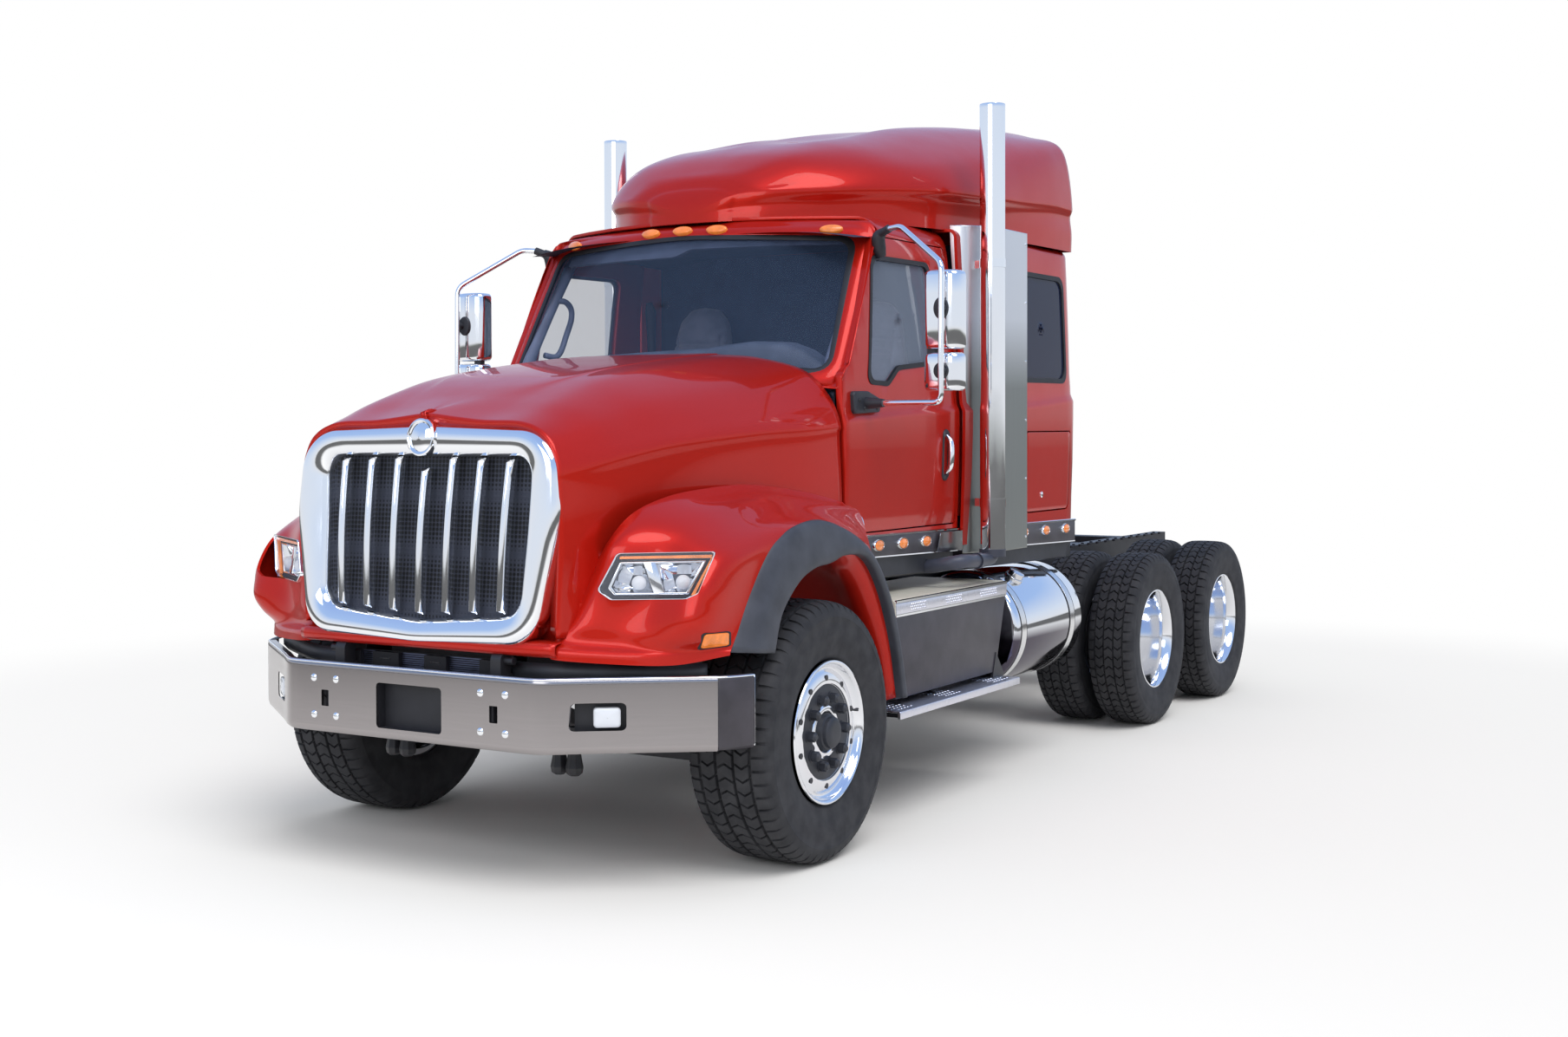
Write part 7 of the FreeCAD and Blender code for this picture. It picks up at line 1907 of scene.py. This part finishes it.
def hex_bolt(b, place, r, high):
    x, y, z = place
    rows = [[(x + r * s * math.cos(a), y + r * s * math.sin(a), z + h) for a in around(6)]
            for s, h in ((1.0, -.004), (1.0, high * .8), (.8, high), (.02, high))]
    b.grid(rows, closed_v=True, flip=True)


# Camera, floor and light

# Distances from the middle over which the floor's shadow fades and its light on the truck grows dark
SHADE_REACH = (5.6, 8.2)
DARK_REACH = (8.2, 11.0)
WHITE = (1, 1, 1, 1)


def camera():
    data = bpy.data.cameras.new("camera")
    obj = in_scene("camera", data)
    bpy.context.scene.camera = obj
    azimuth, pitch, roll = math.radians(31.57), math.radians(1.07), math.radians(-0.16)
    ahead = Vector((-math.sin(azimuth) * math.cos(pitch), math.cos(azimuth) * math.cos(pitch), -math.sin(pitch)))
    right = Vector((math.cos(azimuth), math.sin(azimuth), 0.0))
    up = right.cross(ahead)
    right_rolled = right * math.cos(roll) + up * math.sin(roll)
    up_rolled = up * math.cos(roll) - right * math.sin(roll)
    turn = Matrix((right_rolled, up_rolled, -ahead)).transposed()
    place = Vector((4.98, -6.77 + AXLE, 1.82))
    obj.matrix_world = Matrix.Translation(place) @ turn.to_4x4()
    wide, high, focal, middle = 1808.0, 1196.0, 2159.0, (849.0, 529.0)  # pixels of the photograph
    data.sensor_width = 36.0
    data.lens = focal / wide * data.sensor_width
    data.shift_x = (wide / 2 - middle[0]) / wide
    data.shift_y = (middle[1] - high / 2) / wide
    data.clip_start = 0.1
    data.clip_end = 200.0


def floor():
    """A white floor that takes the shadow near the truck and fades into the white background."""
    reach = 60.0
    mesh = bpy.data.meshes.new("floor")
    mesh.from_pydata([(-reach, -reach, 0), (reach, -reach, 0), (reach, reach, 0), (-reach, reach, 0)], [],
                     [(0, 1, 2, 3)])
    obj = in_scene("floor", mesh)
    mat = bpy.data.materials.new("floor")
    mat.use_nodes = True
    mat.node_tree.nodes.clear()
    out = node(mat, "ShaderNodeOutputMaterial")
    diffuse = node(mat, "ShaderNodeBsdfDiffuse")
    white = node(mat, "ShaderNodeEmission", in_Color=WHITE, in_Strength=1.0)
    flat = texture(mat, "ShaderNodeVectorMath", operation="MULTIPLY")
    flat.inputs[1].default_value = (1.0, 1.0, 0.0)
    far = node(mat, "ShaderNodeVectorMath", operation="LENGTH")
    away = span(mat, *SHADE_REACH, interpolation_type="SMOOTHSTEP")
    ground = span(mat, *DARK_REACH, 0.90, 0.16)
    path = node(mat, "ShaderNodeLightPath")
    both = node(mat, "ShaderNodeMath", operation="MULTIPLY")
    mix = node(mat, "ShaderNodeMixShader")
    for a, socket, b, goal in ((far, "Value", ground, "Value"), (ground, "Result", diffuse, "Color"),
                               (flat, 0, far, 0), (far, "Value", away, "Value"), (away, "Result", both, 0),
                               (path, "Is Camera Ray", both, 1), (both, 0, mix, "Fac"), (diffuse, 0, mix, 1),
                               (white, 0, mix, 2), (mix, 0, out, 0)):
        link(mat, a, socket, b, goal)
    mesh.materials.append(mat)


def lamp(name, place, target, width, height, energy, colour):
    data = bpy.data.lights.new(name, "AREA")
    data.shape = "RECTANGLE"
    data.size, data.size_y = width, height
    data.energy = energy
    data.color = colour
    obj = in_scene(name, data)
    obj.location = place
    obj.rotation_euler = (Vector(target) - Vector(place)).to_track_quat("-Z", "Y").to_euler()


def sun(name, place, spread, strength, colour):
    data = bpy.data.lights.new(name, "SUN")
    data.angle = math.radians(spread)
    data.energy = strength
    data.color = colour
    in_scene(name, data).rotation_euler = (-Vector(place)).to_track_quat("-Z", "Y").to_euler()


def world():
    """White for the camera, a pale sky and ground in what the chrome mirrors, even light for the rest."""
    w = bpy.data.worlds.new("studio")
    bpy.context.scene.world = w
    w.use_nodes = True
    w.node_tree.nodes.clear()
    out = node(w, "ShaderNodeOutputWorld")
    coord = node(w, "ShaderNodeTexCoord")
    split = node(w, "ShaderNodeSeparateXYZ")
    scale = span(w, -1.0, 1.0)
    ramp = node(w, "ShaderNodeValToRGB")
    stops = [(0.0, (0.55, 0.54, 0.50)), (1.0, (0.34, 0.50, 0.90)), (0.42, (0.40, 0.39, 0.33)),
             (0.485, (0.20, 0.22, 0.19)), (0.50, (0.86, 0.88, 0.92)), (0.55, (0.78, 0.86, 0.98)),
             (0.68, (0.42, 0.60, 0.95))]
    for i, (place, colour) in enumerate(stops):
        stop = ramp.color_ramp.elements[i] if i < 2 else ramp.color_ramp.elements.new(place)
        stop.color = (*colour, 1)
    sky = node(w, "ShaderNodeBackground", in_Strength=1.0)
    even = node(w, "ShaderNodeBackground", in_Color=(0.95, 0.97, 1.0, 1), in_Strength=0.62)
    white = node(w, "ShaderNodeBackground", in_Color=WHITE, in_Strength=1.0)
    path = node(w, "ShaderNodeLightPath")
    seen = node(w, "ShaderNodeMath", operation="MAXIMUM")
    lit = node(w, "ShaderNodeMixShader")
    mix = node(w, "ShaderNodeMixShader")
    for a, socket, b, goal in ((coord, "Generated", split, 0), (split, "Z", scale, "Value"),
                               (scale, "Result", ramp, "Fac"), (ramp, "Color", sky, "Color"),
                               (path, "Is Glossy Ray", lit, "Fac"), (even, 0, lit, 1), (sky, 0, lit, 2),
                               (path, "Is Camera Ray", seen, 0), (path, "Is Transmission Ray", seen, 1),
                               (seen, 0, mix, "Fac"), (lit, 0, mix, 1), (white, 0, mix, 2), (mix, 0, out, "Surface")):
        link(w, a, socket, b, goal)


wing = hood()
grille()
flares()
cab()
doors()
sleeper()
fairing()
wheels()
bumper()
valance()
mirrors()
headlamps(wing)
marker_lamps()
skirts()
stacks()
tanks()
steps()
dashboard()
seats()
frame_parts()
camera()
floor()
world()
sun("sun", (0.75, -0.45, 1.25), 38.0, 1.6, (1.0, 0.98, 0.95))
lamp("front_fill", (1.5, -12.0, 5.0), (0, -2.0, 1.2), 7, 4, 260, (1.0, 1.0, 1.0))
bpy.context.scene.view_settings.view_transform = "Standard"
